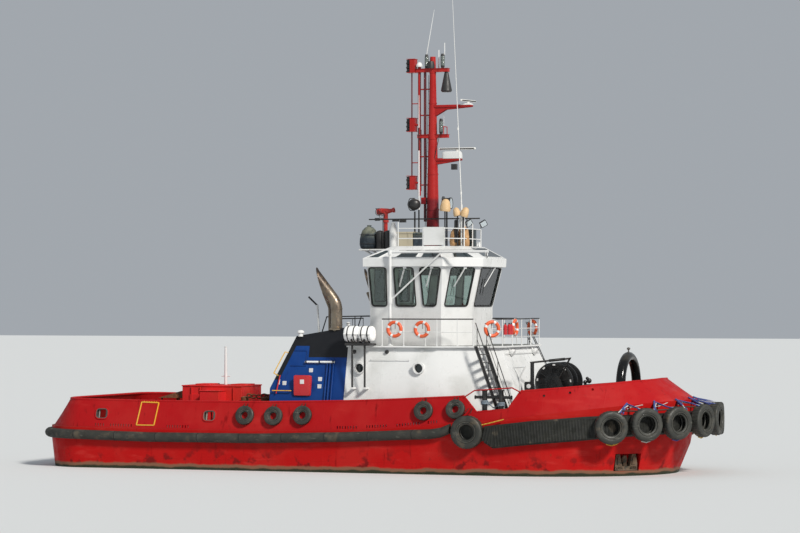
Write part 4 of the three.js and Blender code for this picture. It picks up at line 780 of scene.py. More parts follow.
def tyre(piece, place, radius, hole, width, sides=40):
    """A tyre with bulged walls, a bead, a scrubbed tread and its hollow inside."""
    w = width / 2
    wall = radius - hole
    outer = (  # share of the wall from the hole outwards, share of half the width
        (0, 0.5), (0.04, 0.66), (0.22, 0.76), (0.28, 0.97), (0.34, 0.93), (0.4, 0.98), (0.62, 1),
        (0.8, 0.95), (0.94, 0.8), (0.97, 0.7), (0.985, 0),
    )
    inner = ((0.06, 0.42), (0.7, 0.62), (0.88, 0))
    half = [(hole + a * wall, b * w) for a, b in outer]
    hollow = [(hole + a * wall, b * w) for a, b in inner]
    piece.ring(
        [(r, -v) for r, v in half] + half[-2::-1] + hollow + [(r, -v) for r, v in hollow[-2::-1]], place,
        sides
    )
    # The paler ring on the bead lip is painted highlight.
    piece.coat = 1
    for way in (-1, 1):
        ring = ((0.27, 0.93), (0.275, 0.99), (0.325, 0.99), (0.34, 0.93))
        piece.ring([(hole + a * wall, way * b * w) for a, b in ring], place, sides)
    piece.coat = 0


def tread_run(place, radius, width, count=LUGS):
    """The path that lugs follow round a tyre's tread."""
    run = []
    for k in range(count + 1):
        turn = 2 * pi * k / count
        out = place.to_3x3() @ Vector((cos(turn), sin(turn), 0))
        run.append((place.translation + out * (radius - 0.022), out, (1, width, 1)))
    return run


def stem_edge(angle, z):
    """A point on the deck's edge round the bow, and its outward direction."""
    turn = radians(angle)
    out = Vector((sin(turn) / (STEM - BOW_START), -cos(turn) / HALF_BEAM, 0)).normalized()
    return Vector((BOW_START + (STEM - BOW_START) * sin(turn), -HALF_BEAM * cos(turn), z)), out


bow_tyres = Piece()
treads = []
round_stem = BOW_TYRES + tuple((180 - angle, z) for angle, z in BOW_TYRES[:-1])
for angle, z in round_stem:
    edge, out = stem_edge(angle, z)
    place = stand(edge + out * (bow_out(out.x) + BOW_TYRE["width"] / 2), out, (0, 0, 1))
    tyre(bow_tyres, place, **BOW_TYRE)
    treads.append(tread_run(place, BOW_TYRE["radius"], 0.62 * BOW_TYRE["width"]))
bow_tyres.done("bow_tyre_rubber", [tyre_coat, bead_highlight_coat], "tyre_rubber", "bow_tyres")

side_tyres = Piece()
instead = []
for side, name in ((-1, "starboard"), (1, "port")):
    place = stand((5.215, side * (HALF_BEAM + SIDE_TYRE["width"] / 2), 1.76), (0, side, 0), (0, 0, 1))
    tyre(side_tyres, place, **SIDE_TYRE)
    treads.append(tread_run(place, SIDE_TYRE["radius"], 0.62 * SIDE_TYRE["width"]))
    instead.append(f"side_tyre_{name}")
    for i, (x, z) in enumerate(SMALL_TYRES):
        spot, out = on_bulwark(x, z, SMALL_TYRE["width"] / 2)
        place = stand((spot.x, -side * spot.y, spot.z), (out.x, -side * out.y, out.z), (0, 0, 1))
        tyre(side_tyres, place, **SMALL_TYRE, sides=28)
        instead.append(f"bulwark_tyre_{name}_{i + 1}")
side_tyres.done("side_tyre_rubber", [tyre_coat, bead_highlight_coat], "tyre_rubber", " ".join(instead))

lug = Piece()
lug.skin([
    [(u, v * 0.5, w) for u, w in ((-0.046, 0), (-0.036, 0.022), (0.036, 0.022), (0.046, 0))] for v in (-1, 1)
])
lug_shape = lug.done("lug_shape")
set_copies("tyre_treads", treads, lug_shape, tyre_coat, 2 * pi * 0.63 / LUGS)

# Tyre lashings: short bights of blue, white and yellow rope and the chain that
# carries the bow tyres, all made fast to eyes on the bulwark.
rope_coats = []
for name, colour in (("blue", ROPE_BLUE), ("white", ROPE_WHITE), ("yellow", ROPE_YELLOW)):
    rope = (
        Finish(f"rope_{name}", colour, 0.85).stain((22, 0.45, 0.65), tuple(0.6 * c for c in colour))
        .bump((120, 0.35, 0.65), 0.004, 0.9)
    )
    rope_coats.append(rope)
BIGHTS = (  # rope, radius, then degrees, height over the tyre's middle and how far out at each end
    (0, 0.044, (-3.4, 0.52, 0.34), (1.9, 0.88, 0)), (0, 0.034, (-2.2, 0.5, 0.3), (0.9, 0.74, 0)),
    (1, 0.024, (-4.2, 0.54, 0.4), (2.2, 0.8, 0.02)), (0, 0.03, (4.4, 0.62, 0.36), (1.9, 0.86, 0)),
    (1, 0.02, (5, 0.64, 0.34), (2.6, 0.76, 0.02)), (3, 0.03, (-5.5, 0.58, 0.24), (6.5, 0.58, 0.24)),
    (1, 0.018, (1.4, 0.66, 0.02), (8.6, 0.82, 0.02)),
)


def hung(angle, z, out_by):
    """A point by the bow plating: on its face, or out_by in front of the fender's root."""
    edge, out = stem_edge(angle, z)
    foot, top = read_off(DECK_EDGE, edge.x) - FOOT, read_off(BULWARK_TOP, edge.x)
    lean = bulwark_lean(out.x) * max(z - foot, 0) / (top - foot)
    return edge + out * (out_by + (bow_out(out.x) - 0.1 if out_by > 0.1 else 0.04 - INSET - lean))


ropes = Piece()
for k, ((a0, z0), (a1, z1)) in enumerate(zip(BOW_TYRES, BOW_TYRES[1:])):
    middle, z = (a0 + a1) / 2, (z0 + z1) / 2
    for rope, radius, (t0, up0, out0), (t1, up1, out1) in BIGHTS:
        ropes.coat = rope
        low, head = hung(middle + t0, z + up0, out0), hung(middle + t1, z + up1, out1)
        knee = low.lerp(head, 0.35) + Vector((0, 0, 0.03 * (-1) ** k))
        ropes.bar((low, knee, head), radius, 6)
    # A loose end shows under each tyre.
    ropes.coat = (2, 1, 0, 2)[k]
    low = [
        hung(a0 + turn, z0 - drop, 0.2)
        for turn, drop in ((-1.5, 0.66), (0.5, 0.71), (2.2, 0.66), (3.2, 0.58))
    ]
    ropes.bar(low, 0.026, 6)
ropes.coat = 2
ropes.bar(((5.7, -4.98, 2.03), (6.2, -4.97, 2.15), (6.74, -4.93, 2.29)), 0.022, 6)
for x, z in SMALL_TYRES + ((5.215, 2.2),):
    ropes.coat = 3
    for shift in (-0.12, 0.12):
        head, _ = on_bulwark(x + shift * 0.6, z + 0.5, 0.015)
        low, _ = on_bulwark(x + shift, z + 0.22, 0.215 if x < 5 else 0.3)
        ropes.bar((head, low + Vector((0, 0, 0.02))), 0.016, 6)
ropes.both_sides()
ropes.done("tyre_lashings", [*rope_coats, chain_coat])

# Deckhouse: a welded steel house with leaning sides under the bridge deck, with
# tube-framed portholes, a weathertight door aft and lamps under the deck edge.
HOUSE = {"aft": -0.6, "side": 3.25, "bend": 3.3, "fore": 5.8, "cheek": 2.45}
HOUSE_FOOT, HOUSE_TOP = 1.5, 5.13
FOOT_OUT, FOOT_FACE, FOOT_FRONT = 0.875, 1.21, 1.6
HOUSE_WALL = 0.08
BRIDGE_DECK, DECK_LIP = 5.2, 0.18
DOOR_WIDE, DOOR_TALL, DOOR_LAP = 0.76, 1.9, 0.04
DECK_DOOR, BRIDGE_DOOR = (-0.6, 1.98), (0.1, 5.42)
PORTHOLES = ((0.03, 4.27), (2.62, 4.28))
PORTHOLE_TUBE = {"outer": 0.235, "inner": 0.19, "proud": 0.19}
WHITE, WHITE_AGED = (0.72, 0.73, 0.73), (0.6, 0.61, 0.6)


def house_outline(aft, side, bend, fore, cheek, out=0, face=None, front=None, back=0):
    """Plan of a room with straight sides, two cheeks and a flat front."""
    face, front = out if face is None else face, out if front is None else front
    dx, dy = fore - bend, side - cheek
    size = math.hypot(dx, dy)
    nx, ny = dy / size, dx / size
    reach = nx * bend + ny * side + face
    wide, ahead, behind = side + out, fore + front, aft - back
    half = [(behind, -wide), ((reach - ny * wide) / nx, -wide), (ahead, -(reach - nx * ahead) / ny)]
    return half + [(x, -y) for x, y in reversed(half)]


def house_at(z, inset=0):
    share = (HOUSE_TOP - z) / (HOUSE_TOP - HOUSE_FOOT)
    plan = house_outline(
        **HOUSE, out=FOOT_OUT * share - inset, face=FOOT_FACE * share - inset,
        front=FOOT_FRONT * share - inset, back=-inset
    )
    return [(x, y, z) for x, y in plan]


def house_side(z):
    return -(HOUSE["side"] + FOOT_OUT * (HOUSE_TOP - z) / (HOUSE_TOP - HOUSE_FOOT))


def by_house(out, *points):
    """Points beside the leaning house side, out from its face."""
    return [(x, house_side(z) - out, z) for x, z in points]


def white_paint(name, grime=0.5):
    """White gloss paint with faint runs of grime and rust, over slightly wavy plate."""
    coat = Finish(name, WHITE, 0.32).stain((0.8, 0.45, 0.75), WHITE_AGED)
    runs = coat.noise(6, 0.6, 0.85, stretch=(1, 1, 0.1), detail=6)
    coat.stain(coat.sum("MULTIPLY", runs, 0.5 * grime), (0.36, 0.34, 0.3))
    spots = coat.noise(7, 0.72, 0.8, stretch=(1, 1, 0.3), detail=8)
    coat.stain(coat.sum("MULTIPLY", spots, grime), (0.3, 0.14, 0.06)).gloss(3, 0.26, 0.46)
    coat.bump(1.6, 0.01, 0.3)
    return coat


white_coat = white_paint("house_paint").bump(("x", 1.95, 0.02), 0.004)
black_coat = painted_steel("black_gear", (0.018, 0.018, 0.019), (0.035, 0.034, 0.034), rough=0.42, rust=0.45)
glass_dark_coat = (
    Finish("dark_glass", (0.012, 0.018, 0.02), 0.06).stain(1.5, (0.03, 0.045, 0.05))
    .gloss((9, 0.45, 0.7), 0.04, 0.12)
)
bridge_deck_coat = (
    Finish("bridge_deck_paint", (0.2, 0.21, 0.2), 0.8).stain((1.3, 0.4, 0.7, 6), (0.13, 0.14, 0.13))
    .gloss(2, 0.65, 0.9).bump(150, 0.002)
)

house = Piece()
house.skin(
    [
        house_at(HOUSE_FOOT), house_at(HOUSE_TOP), house_at(HOUSE_TOP, HOUSE_WALL),
        house_at(HOUSE_FOOT, HOUSE_WALL)
    ],
    close=True
)
holes = Piece()
holes.block(
    (DECK_DOOR[0] - 0.4, -DOOR_WIDE / 2, DECK_DOOR[1]),
    (DECK_DOOR[0] + 0.4, DOOR_WIDE / 2, DECK_DOOR[1] + DOOR_TALL)
)
for x, z in PORTHOLES:
    for side in (-1, 1):
        spot = (x, -side * house_side(z), z)
        holes.turned(((0.195, -0.4), (0.195, 0.4)), stand(spot, (0, side, 0)), 28)
house.done("house_shell", [white_coat], "white_paint", "deckhouse", 0.006, cuts=holes.done("house_holes"))

deck = Piece()
lip = house_outline(**HOUSE, out=DECK_LIP)
deck.skin([[(x, y, HOUSE_TOP) for x, y in lip], [(x, y, BRIDGE_DECK - 0.002) for x, y in lip]])
deck.block((-1.7, -1.85, HOUSE_TOP), (-0.5, 1.85, BRIDGE_DECK - 0.002))
deck.coat = 1
inner = house_outline(**HOUSE, out=DECK_LIP - 0.04)
deck.skin([[(x, y, BRIDGE_DECK - 0.01) for x, y in inner], [(x, y, BRIDGE_DECK) for x, y in inner]])
deck.block((-1.66, -1.81, BRIDGE_DECK - 0.01), (-0.7, 1.81, BRIDGE_DECK))
deck.done("bridge_deck", [white_coat, bridge_deck_coat], "white_paint", edge=0.008)

gear = Piece()
for x, z in PORTHOLES:
    place = stand((x, house_side(z), z), (0, -1, 0), (1, 0, 0))
    tube = PORTHOLE_TUBE
    gear.coat = 0
    gear.ring(
        (
            (tube["inner"], -0.12), (tube["outer"], -0.12), (tube["outer"], tube["proud"]),
            (tube["inner"], tube["proud"])
        ),
        place, 32
    )
    brow = [
        place @ Vector((0.26 * cos(t), 0.26 * sin(t), 0.14))
        for t in (pi * (0.1 + 0.8 * k / 10) for k in range(11))
    ]
    gear.bar(brow, 0.012, 6)
    gear.coat = 1
    gear.turned(((0.192, -0.05), (0.192, -0.03)), place, 32)
    gear.coat = 2
    gear.hoop(lay(place, circle(0.175, 28), -0.02), 0.017, 6)
# Bulkhead lamps, small blank plates and a grab rail under the deck edge.
gear.coat = 2
for x in (1.14, -0.3):
    gear.turned(
        ((0, -0.02), (0.085, -0.02), (0.085, 0.03), (0.06, 0.1), (0, 0.12)),
        stand((x, house_side(4.94), 4.94), (0, -1, -0.1))
    )
gear.coat = 0
for x in (1.47, 2.68):
    gear.block((x - 0.08, house_side(4.99) - 0.02, 4.92), (x + 0.08, house_side(4.99) + 0.05, 5.06))
gear.bar(by_house(0.06, (0.45, 4.62), (2.2, 4.62)), 0.014, 6)
for x in (0.5, 1.05, 1.6, 2.15):
    gear.bar([(x, house_side(4.62) - 0.06, 4.62), (x, house_side(4.62) + 0.02, 4.64)], 0.01, 6)
gear.both_sides()
# Front: two floodlights and a long grab rail under the deck edge.
front = HOUSE["fore"] + FOOT_FRONT * (HOUSE_TOP - 4.9) / (HOUSE_TOP - HOUSE_FOOT)
for y in (-1.55, 1.55):
    gear.coat = 0
    gear.turned(
        ((0, -0.05), (0.12, -0.05), (0.15, 0.04), (0.15, 0.09), (0, 0.1)),
        stand((front + 0.1, y, 4.93), (0.9, 0, -0.5)), 24
    )
    gear.bar([(front + 0.08, y, 4.93), (front - 0.03, y, 5.1)], 0.02, 6)
gear.bar([(front + 0.09, y, 4.88) for y in (-2.3, 2.3)], 0.016, 6)
for y in (-2.25, -0.75, 0.75, 2.25):
    gear.bar([(front + 0.09, y, 4.88), (front - 0.02, y, 4.9)], 0.012, 6)
# Inside: a grating floor, a bench and a switch cabinet seen through the door.
gear.coat = 3
gear.skin([[(x, y, z) for x, y, _ in house_at(2.1, 0.1)] for z in (2.09, 2.11)])
gear.coat = 0
gear.block((0.2, -2.6, 2.11), (2.6, -2, 2.62))
gear.block((0.3, 2.2, 2.11), (1.5, 2.8, 4.1))
gear.done(
    "house_fittings", [white_coat, glass_dark_coat, black_coat, bridge_deck_coat], "white_paint", edge=0.004
)


def steel_door(name, spot_x, sill, lamp):
    """A weathertight door: pressed leaf, gasket, dogs, round light and hinges."""
    x0 = spot_x - 0.006
    wide, low, high = DOOR_WIDE / 2 + DOOR_LAP, sill - DOOR_LAP, sill + DOOR_TALL + DOOR_LAP
    middle = (low + high) / 2
    leaf = Piece()
    place = stand((x0 - 0.05, 0, middle), (1, 0, 0), (0, 1, 0))
    leaf.plate(rounded(wide, (high - low) / 2, 0.13), place, 0.05)
    leaf.skin([
        lay(place, rounded(wide - d, (high - low) / 2 - d, 0.1), w) for d, w in ((0.1, 0), (0.12, -0.012))
    ])
    leaf.coat = 1
    light = place @ stand((0, 0.42, 0))
    leaf.turned(((0.17, -0.035), (0.17, -0.01)), light, 28)
    leaf.coat = 2
    leaf.hoop(lay(light, circle(0.18, 24), -0.02), 0.022, 6)
    hinge_x, hinge_y = x0 - 0.025, DOOR_WIDE / 2 + DOOR_LAP + 0.028
    for share in (0.18, 0.82):
        z = sill + DOOR_TALL * share
        leaf.turned(((0.022, -0.06), (0.022, 0.06)), (hinge_x, hinge_y, z), 16)
        leaf.bar(((hinge_x - 0.028, hinge_y - 0.02, z), (x0 - 0.055, 0.15, z)), 0.016, 6)
    for share in (0.12, 0.36, 0.64, 0.88):
        z = low + (high - low) * share
        leaf.bar(
            (
                (x0 - 0.056, -wide + 0.03, z), (x0 - 0.085, -wide + 0.03, z),
                (x0 - 0.085, -wide + 0.17, z + 0.05)
            ),
            0.012, 6
        )
    grip = ((0.05, -0.1), (0.1, -0.1), (0.1, 0.12), (0.05, 0.12))
    leaf.bar([(x0 - out, -0.22, middle + up) for out, up in grip], 0.012, 6)
    leaf.done(
        f"{name}_leaf", [white_coat, glass_dark_coat, black_coat], "white_paint", name, 0.004, body=name
    )
    jamb = Piece()
    for share in (0.18, 0.82):
        z = sill + DOOR_TALL * share
        for low_z, high_z in ((z - 0.1003, z - 0.0603), (z + 0.0603, z + 0.1003)):
            jamb.block((hinge_x - 0.014, hinge_y - 0.014, low_z), (spot_x + 0.02, hinge_y + 0.014, high_z))
    jamb.turned(
        ((0, 0), (0.09, 0), (0.09, 0.03), (0.05, 0.11), (0, 0.13)), stand((spot_x, 0, lamp), (-1, 0, -0.2)),
        18
    )
    jamb.bar([(spot_x - 0.01, y, sill + DOOR_TALL + 0.09) for y in (-wide - 0.05, wide + 0.05)], 0.016, 6)
    jamb.done(f"{name}_frame", [white_coat], "white_paint", edge=0.003)


steel_door("deckhouse_door", *DECK_DOOR, 4.45)

# Funnel casings: blue plated boxes behind the house with a black top, carried lower
# forward by painted shadow, a fire cabinet, pipes, a tube lamp and handrails, and
# louvres on the inner wall.
CASING = ((-3.85, 1.5), (-3.95, 3.4), (-2.96, 5.58), (-0.76, 5.95), (-0.6003, 5.3), (-0.6003, 1.5))
CASING_INNER = 1.9
BLUE, BLUE_FADED = (0.004, 0.038, 0.19), (0.007, 0.05, 0.22)
PAINTED_SHADOW_LINE = 4.7
FIRE_BOX = ((-2.8, 3.12), (-2.08, 3.94))

casing_paint = painted_steel("casing_paint", BLUE, BLUE_FADED, rough=0.36, rust=0.2, Specular_IOR_Level=0.25)
# The dark on the casing: black paint above z 5.17, and painted shadow that carries it down to z 4.7 forward
# of x -2.32. A dark band also runs 0.22 m wide along the raked aft edge above z 3.76.
edge_x = casing_paint.sum("MULTIPLY_ADD", "z", 0.454, -5.49)
from_edge = casing_paint.sum("SUBTRACT", "x", edge_x)
black = casing_paint.between("z", PAINTED_SHADOW_LINE - 0.01, PAINTED_SHADOW_LINE + 0.01)
forward_shadow_part = casing_paint.between("x", -2.33, -2.31)
high_part = casing_paint.between("z", 5.16, 5.18)
black = casing_paint.sum("MULTIPLY", black, casing_paint.sum("MAXIMUM", forward_shadow_part, high_part))
edge_band = casing_paint.sum(
    "MULTIPLY", casing_paint.between(from_edge, 0.24, 0.22), casing_paint.between("z", 3.75, 3.77)
)
casing_paint.stain(casing_paint.sum("MAXIMUM", black, edge_band), (0.012, 0.013, 0.016))
casing_paint.bump(("x", 1.1, 0.02), 0.004)
red_gloss = painted_steel("red_gloss", (0.5, 0.02, 0.025), (0.55, 0.04, 0.04), rough=0.25, rust=0.15)
yellow_coat = painted_steel("yellow_rail", (0.72, 0.4, 0.05), (0.7, 0.44, 0.1), rust=0.35)
lamp_coat = Finish("lamp_tube", (0.85, 0.87, 0.86), 0.2).stain((30, 0.4, 0.7), (0.7, 0.73, 0.72))

casing = Piece()
casing.skin([[(x, house_side(z), z) for x, z in CASING], [(x, -CASING_INNER, z) for x, z in CASING]])
casing.both_sides()
casing.done(
    "casing_plating", [casing_paint], "blue_paint", "funnel_casing_starboard funnel_casing_port", 0.035
)

gear = Piece()
(x0, z0), (x1, z1) = FIRE_BOX
y = house_side(3.5)
gear.coat = 1
place = stand(((x0 + x1) / 2, y + 0.06, (z0 + z1) / 2), (0, -1, 0), (1, 0, 0))
for grow, low, high in ((0, 0, 0.24), (0.02, 0.17, 0.2)):
    gear.plate(
        rounded((x1 - x0) / 2 + grow, (z1 - z0) / 2 + grow, 0.07), place @ stand((0, 0, low)), high - low
    )
gear.coat = 2
for x, z, half in ((-2.16, 4.16, 0.085), (-1.72, 3.8, 0.085), (-1.72, 3.5, 0.085), (-3.3, 3.62, 0.085)):
    gear.block((x - half, house_side(z) - 0.02, z - half), (x + half, house_side(z) + 0.04, z + half))
gear.block((-2.52, y - 0.195, 3.6), (-2.34, y - 0.17, 3.78))
gear.coat = 3
gear.bar(by_house(0.07, (-2.43, 4.51), (-1.12, 4.51)), 0.045, 10)
gear.coat = 4
for x in (-2.38, -1.78, -1.17):
    gear.block((x - 0.03, house_side(4.51) - 0.12, 4.46), (x + 0.03, house_side(4.51) + 0.03, 4.56))
gear.coat = 0
for x in (-1.44, -1.31, -1.16):
    gear.bar(by_house(0.045, (x, 4.62), (x, 3.2), (x, 2.2)), 0.035)
gear.bar(by_house(0.02, (-2.95, 4.98), (-2.4, 4.98), (-2.4, 4.35), (-3.1, 4.35)), 0.018, 6)
gear.coat = 5
gear.bar(by_house(0.1, (-3.36, 4.92), (-3.78, 4.04), (-3.57, 3.93)), 0.024)
gear.bar([(-3.36, house_side(4.92) - 0.1, 4.92), (-3.16, house_side(4.92) + 0.1, 4.86)], 0.02, 6)
gear.bar(by_house(0.12, (-3.78, 3.31), (-2.92, 3.31)), 0.024)
for x in (-3.72, -2.98):
    gear.bar([(x, house_side(3.31) - 0.12, 3.31), (x, house_side(3.31) + 0.02, 3.31)], 0.018, 6)
gear.coat = 1
gear.bar([(-3.49, house_side(3.93) - 0.09, 3.95), (-3.6, house_side(3.19) - 0.09, 3.19)], 0.026)
gear.coat = 2
gear.bar([(-3.515, house_side(3.93) - 0.09, 3.78), (-3.545, house_side(3.93) - 0.09, 3.56)], 0.03)
gear.turned(
    ((0, -0.1), (0.1, -0.1), (0.1, 0.04), (0.155, 0.05), (0.15, 0.11), (0.1, 0.16), (0, 0.18)),
    (-2.74, -3.2, 5.66), 24
)
gear.turned(((0, -0.1), (0.07, -0.1), (0.07, 0.12), (0.11, 0.14), (0, 0.2)), (-0.95, -2.3, 5.98))
gear.coat = 4
gear.bar(((-2.25, -2.05, 5.68), (-2.02, -2.05, 6.38), (-0.1, -2.05, 6.42)), 0.026)
gear.bar(((-1.62, -2.05, 5.78), (-1.45, -2.05, 6.39)), 0.022)
gear.bar(((-0.75, -2.05, 5.9), (-0.75, -2.05, 6.4)), 0.022)
gear.both_sides()
# One drain pole stands on the starboard casing alone.
gear.bar(((-2.27, -2.5, 6.86), (-2.66, -2.5, 7.22)), 0.04)
gear.coat = 2
gear.bar(((-2.19, -2.5, 5.66), (-2.27, -2.5, 6.88)), 0.048)
gear.done(
    "casing_gear", [casing_paint, red_gloss, white_coat, lamp_coat, black_coat, yellow_coat], "blue_paint",
    edge=0.006
)

slat = Piece()
slat.plate(((-0.5, -0.035), (0.5, -0.035), (0.5, 0.03), (-0.5, 0.03)), Matrix.Rotation(0.7, 4, "X"), 0.008)
slat_shape = slat.done("slat_shape")
runs = []
for side in (-1, 1):
    for x in (-3.1, -1.9):
        runs.append([
            (Vector((x, side * (CASING_INNER - 0.015), z)), (0, -side, 0), (0.9, 1, 1)) for z in (2.5, 4.9)
        ])


# Exhausts: heat-stained steel pipes that rise from each casing and bend aft,
# with a weld collar at the bend, and a black plug a little way into the mouth:
# soot, and painted shade for the depth of the bore.
def soft_corners(points, radius, steps=6, loop=False):
    """Rounds the corners of a path or, with loop, of a closed outline."""
    points = [Vector(point) for point in points]
    corners = list(zip(points[-1:] + points, points, points[1:] + points[:1]))
    path = []
    for a, b, c in corners if loop else corners[1:-1]:
        start, end = b + (a - b).normalized() * radius, b + (c - b).normalized() * radius
        for i in range(steps + 1):
            t = i / steps
            path.append(start * (1 - t) ** 2 + b * 2 * t * (1 - t) + end * t * t)
    return path if loop else [points[0], *path, points[-1]]


EXHAUST_LINE = ((-1.268, -2.85, 5.66), (-1.268, -2.85, 6.94), (-2.099, -2.85, 7.98))
EXHAUST_RADIUS, EXHAUST_WALL = 0.243, 0.03
MOUTH_SPOT, MOUTH_OUT = Vector((-1.658, -2.85, 6.9)), Vector((-1.32, 0, -0.427)).normalized()

exhaust_steel = Finish("exhaust_steel", (0.3, 0.26, 0.2), 0.34, 0.75)
exhaust_steel.stain((2, 0.35, 0.65, 6, (1, 1, 0.4)), (0.17, 0.135, 0.105))
exhaust_steel.stain(exhaust_steel.between("z", 7, 8.2), (0.07, 0.055, 0.045))
exhaust_steel.stain((9, 0.6, 0.74, 7), (0.42, 0.27, 0.13)).gloss(6, 0.28, 0.6)
exhaust_steel.bump(14, 0.003)
soot_and_shade_coat = Finish("soot", (0.006, 0.006, 0.006), 0.95).stain((12, 0.4, 0.7), (0.02, 0.018, 0.016))
bend = soft_corners(EXHAUST_LINE, 0.28)


def pipe_rings(radius):
    """Rings of the pipe, up to the upright plane that cuts its mouth."""
    rings = []
    for spot, ahead in zip(bend, bend[1:]):
        place = stand(spot, ahead - spot, (0, 1, 0))
        rings.append(lay(place, circle(radius, 28)))
    way = (bend[-1] - bend[-2]).normalized()
    rings.append([p + way * ((MOUTH_SPOT - p).dot(MOUTH_OUT) / way.dot(MOUTH_OUT)) for p in rings[-1]])
    return rings


exhaust = Piece()
outer, inner = pipe_rings(EXHAUST_RADIUS), pipe_rings(EXHAUST_RADIUS - EXHAUST_WALL)
exhaust.skin(outer + inner[:-4:-1])
exhaust.hoop(outer[-1], 0.012, 6)
for z in (6.05, 6.72):
    collar = ((0.235, -0.02), (0.256, -0.02), (0.256, 0.02), (0.235, 0.02))
    exhaust.ring(collar, (-1.268, -2.85, z), 28)
flange = ((0.24, -0.14), (0.34, -0.14), (0.34, -0.1), (0.262, -0.05), (0.24, -0.05))
exhaust.ring(flange, (-1.268, -2.85, 5.98), 28)
drain = ((-1.66, -2.62, 5.78), (-1.66, -2.62, 6.75), (-1.95, -2.62, 7.42))
exhaust.bar(soft_corners(drain, 0.12), 0.062, 14)
# A black plug closes the bore a little way in: soot, and painted shade standing for the pipe's depth.
exhaust.coat = 1
exhaust.skin(pipe_rings(EXHAUST_RADIUS - EXHAUST_WALL - 0.002)[-3:-1])
exhaust.both_sides()
exhaust.done("exhaust_pipes", [exhaust_steel, soot_and_shade_coat], "exhaust_steel", "exhaust_starboard exhaust_port")

louvres = Piece()
for side in (-1, 1):
    for x in (-3.1, -1.95):
        louvres.block(
            (x - 0.52, side * CASING_INNER - 0.015, 2.42), (x + 0.52, side * CASING_INNER + 0.015, 4.98)
        )
louvres.done("louvre_panels", [casing_paint], "blue_paint", edge=0.004)
set_copies("louvre_slats", runs, slat_shape, casing_paint, 0.095)

# Life rafts: inflatable rafts packed in white plastic canisters, strapped in
# welded cradles that stand on legs from the leaning house side.
RAFT = {"x0": -0.52, "x1": 0.76, "y": -3.79, "z": 5.69, "radius": 0.33}
CRADLE_SPOTS, CRADLE_FOOT = (-0.14, 0.41), 3.46

raft_plastic = (
    Finish("raft_plastic", (0.94, 0.94, 0.93), 0.34).stain((5, 0.5, 0.8, 6, (1, 1, 0.2)), (0.84, 0.83, 0.8))
    .gloss(6, 0.25, 0.5).bump(9, 0.0015)
)
raft = Piece()
raft_x, raft_end, raft_y, raft_z, girth = RAFT.values()
length = raft_end - raft_x
axis = stand((raft_x, raft_y, raft_z), (1, 0, 0), (0, 0, 1))
end = ((0, 0.03), (0.1, 0), (0.21, 0), (0.28, 0.025), (0.32, 0.08))
middle = (
    (girth, 0.12), (girth, length / 2 - 0.1), (0.3, length / 2 - 0.08), (0.3, length / 2 + 0.08),
    (girth, length / 2 + 0.1)
)
raft.turned((*end, *middle, *((r, length - h) for r, h in end[::-1])), axis, 36)
for way in (-1, 1):
    y = raft_y + way * (girth + 0.005)
    raft.block((raft_x + 0.05, y - 0.018, raft_z - 0.02), (raft_end - 0.05, y + 0.018, raft_z + 0.02))
raft.coat = 1
for along in (0.2, 0.47, length - 0.47, length - 0.2):
    strap = ((0.012, -0.022), (0.012, 0.022), (-0.02, 0.022), (-0.02, -0.022))
    raft.ring([(girth + r, along + h) for r, h in strap], axis, 36)
    x, y = raft_x + along, raft_y - girth
    raft.block((x - 0.03, y - 0.03, raft_z - 0.1), (x + 0.03, y, raft_z + 0.02))
raft.both_sides()
raft.done(
    "raft_canisters", [raft_plastic, black_coat], "raft_shell", "life_raft_starboard life_raft_port", 0.003
)

cradle = Piece()
y0, y1 = raft_y - 0.3, raft_y + 0.49
for x in (raft_x + 0.13, raft_end - 0.13):
    cradle.bar(((x, y0, 5.255), (x, y1, 5.255)), 0.045)
for y in (y0 + 0.03, raft_y, y1 - 0.2):
    cradle.bar(((raft_x + 0.1, y, 5.255), (raft_end - 0.1, y, 5.255)), 0.05)
for x in CRADLE_SPOTS:
    seat = [
        (raft_y + (girth + r) * sin(t), raft_z - (girth + r) * cos(t))
        for r, turns in ((0.008, range(-7, 8)), (0.07, range(7, -8, -1))) for t in (k * 0.13 for k in turns)
    ]
    cradle.skin([[(x + way * 0.03, y, z) for y, z in seat] for way in (-1, 1)])
    for way in (-1, 1):
        cradle.bar(((x, raft_y + way * 0.22, 5.27), (x, raft_y + way * 0.27, 5.43)), 0.03)
    cradle.bar(((x, raft_y - 0.18, 5.27), (x, raft_y - 0.18, CRADLE_FOOT - 0.03)), 0.042, 12)
cradle.lathe(((0.045, -0.09), (0.045, 0.09)), (0.14, raft_y - 0.27, 5.42), 16)
cradle.bar(((0.14, raft_y - 0.27, 5.5), (0.16, raft_y - 0.345, 5.68)), 0.008, 6)
cradle.coat = 1
for x in CRADLE_SPOTS:
    cradle.block(
        (x - 0.07, raft_y - 0.25, CRADLE_FOOT - 0.05),
        (x + 0.07, house_side(3.46) + 0.02, CRADLE_FOOT + 0.03)
    )
cradle.both_sides()
cradle.done("raft_cradles", [black_coat, white_coat], "white_paint", edge=0.005)

# Bridge deck rail: white posts and lower bars under a black hand rail, open at
# the stair heads, with plastic lifebuoys hung in clips on its outside.
RAIL_TOP, RAIL_MIDDLE = 1.1, 0.56
SIDE_RAIL = ((0.95, 3.37), (1.9, 3.37), (2.85, 3.37), (3.34, 3.36), (4.15, 3.105), (4.78, 2.905))
FRONT_RAIL = ((5.5, 2.68), (5.9, 2.52), (5.92, 1.26), (5.92, 0))
AFT_RAIL = ((-1.64, 0), (-1.64, 1.28))
BUOYS = (  # spot and outward direction on the starboard side
    ((1.51, -3.41, 5.88), (0, -1, 0)), ((2.71, -3.41, 5.88), (0, -1, 0)),
    ((5.53, -2.76, 5.9), (0.75, -1, 0)), ((5.96, -1.02, 5.95), (1, 0, 0)),
)
BUOY_RING, BUOY_TUBE, BUOY_BANDS = 0.285, 0.072, 4

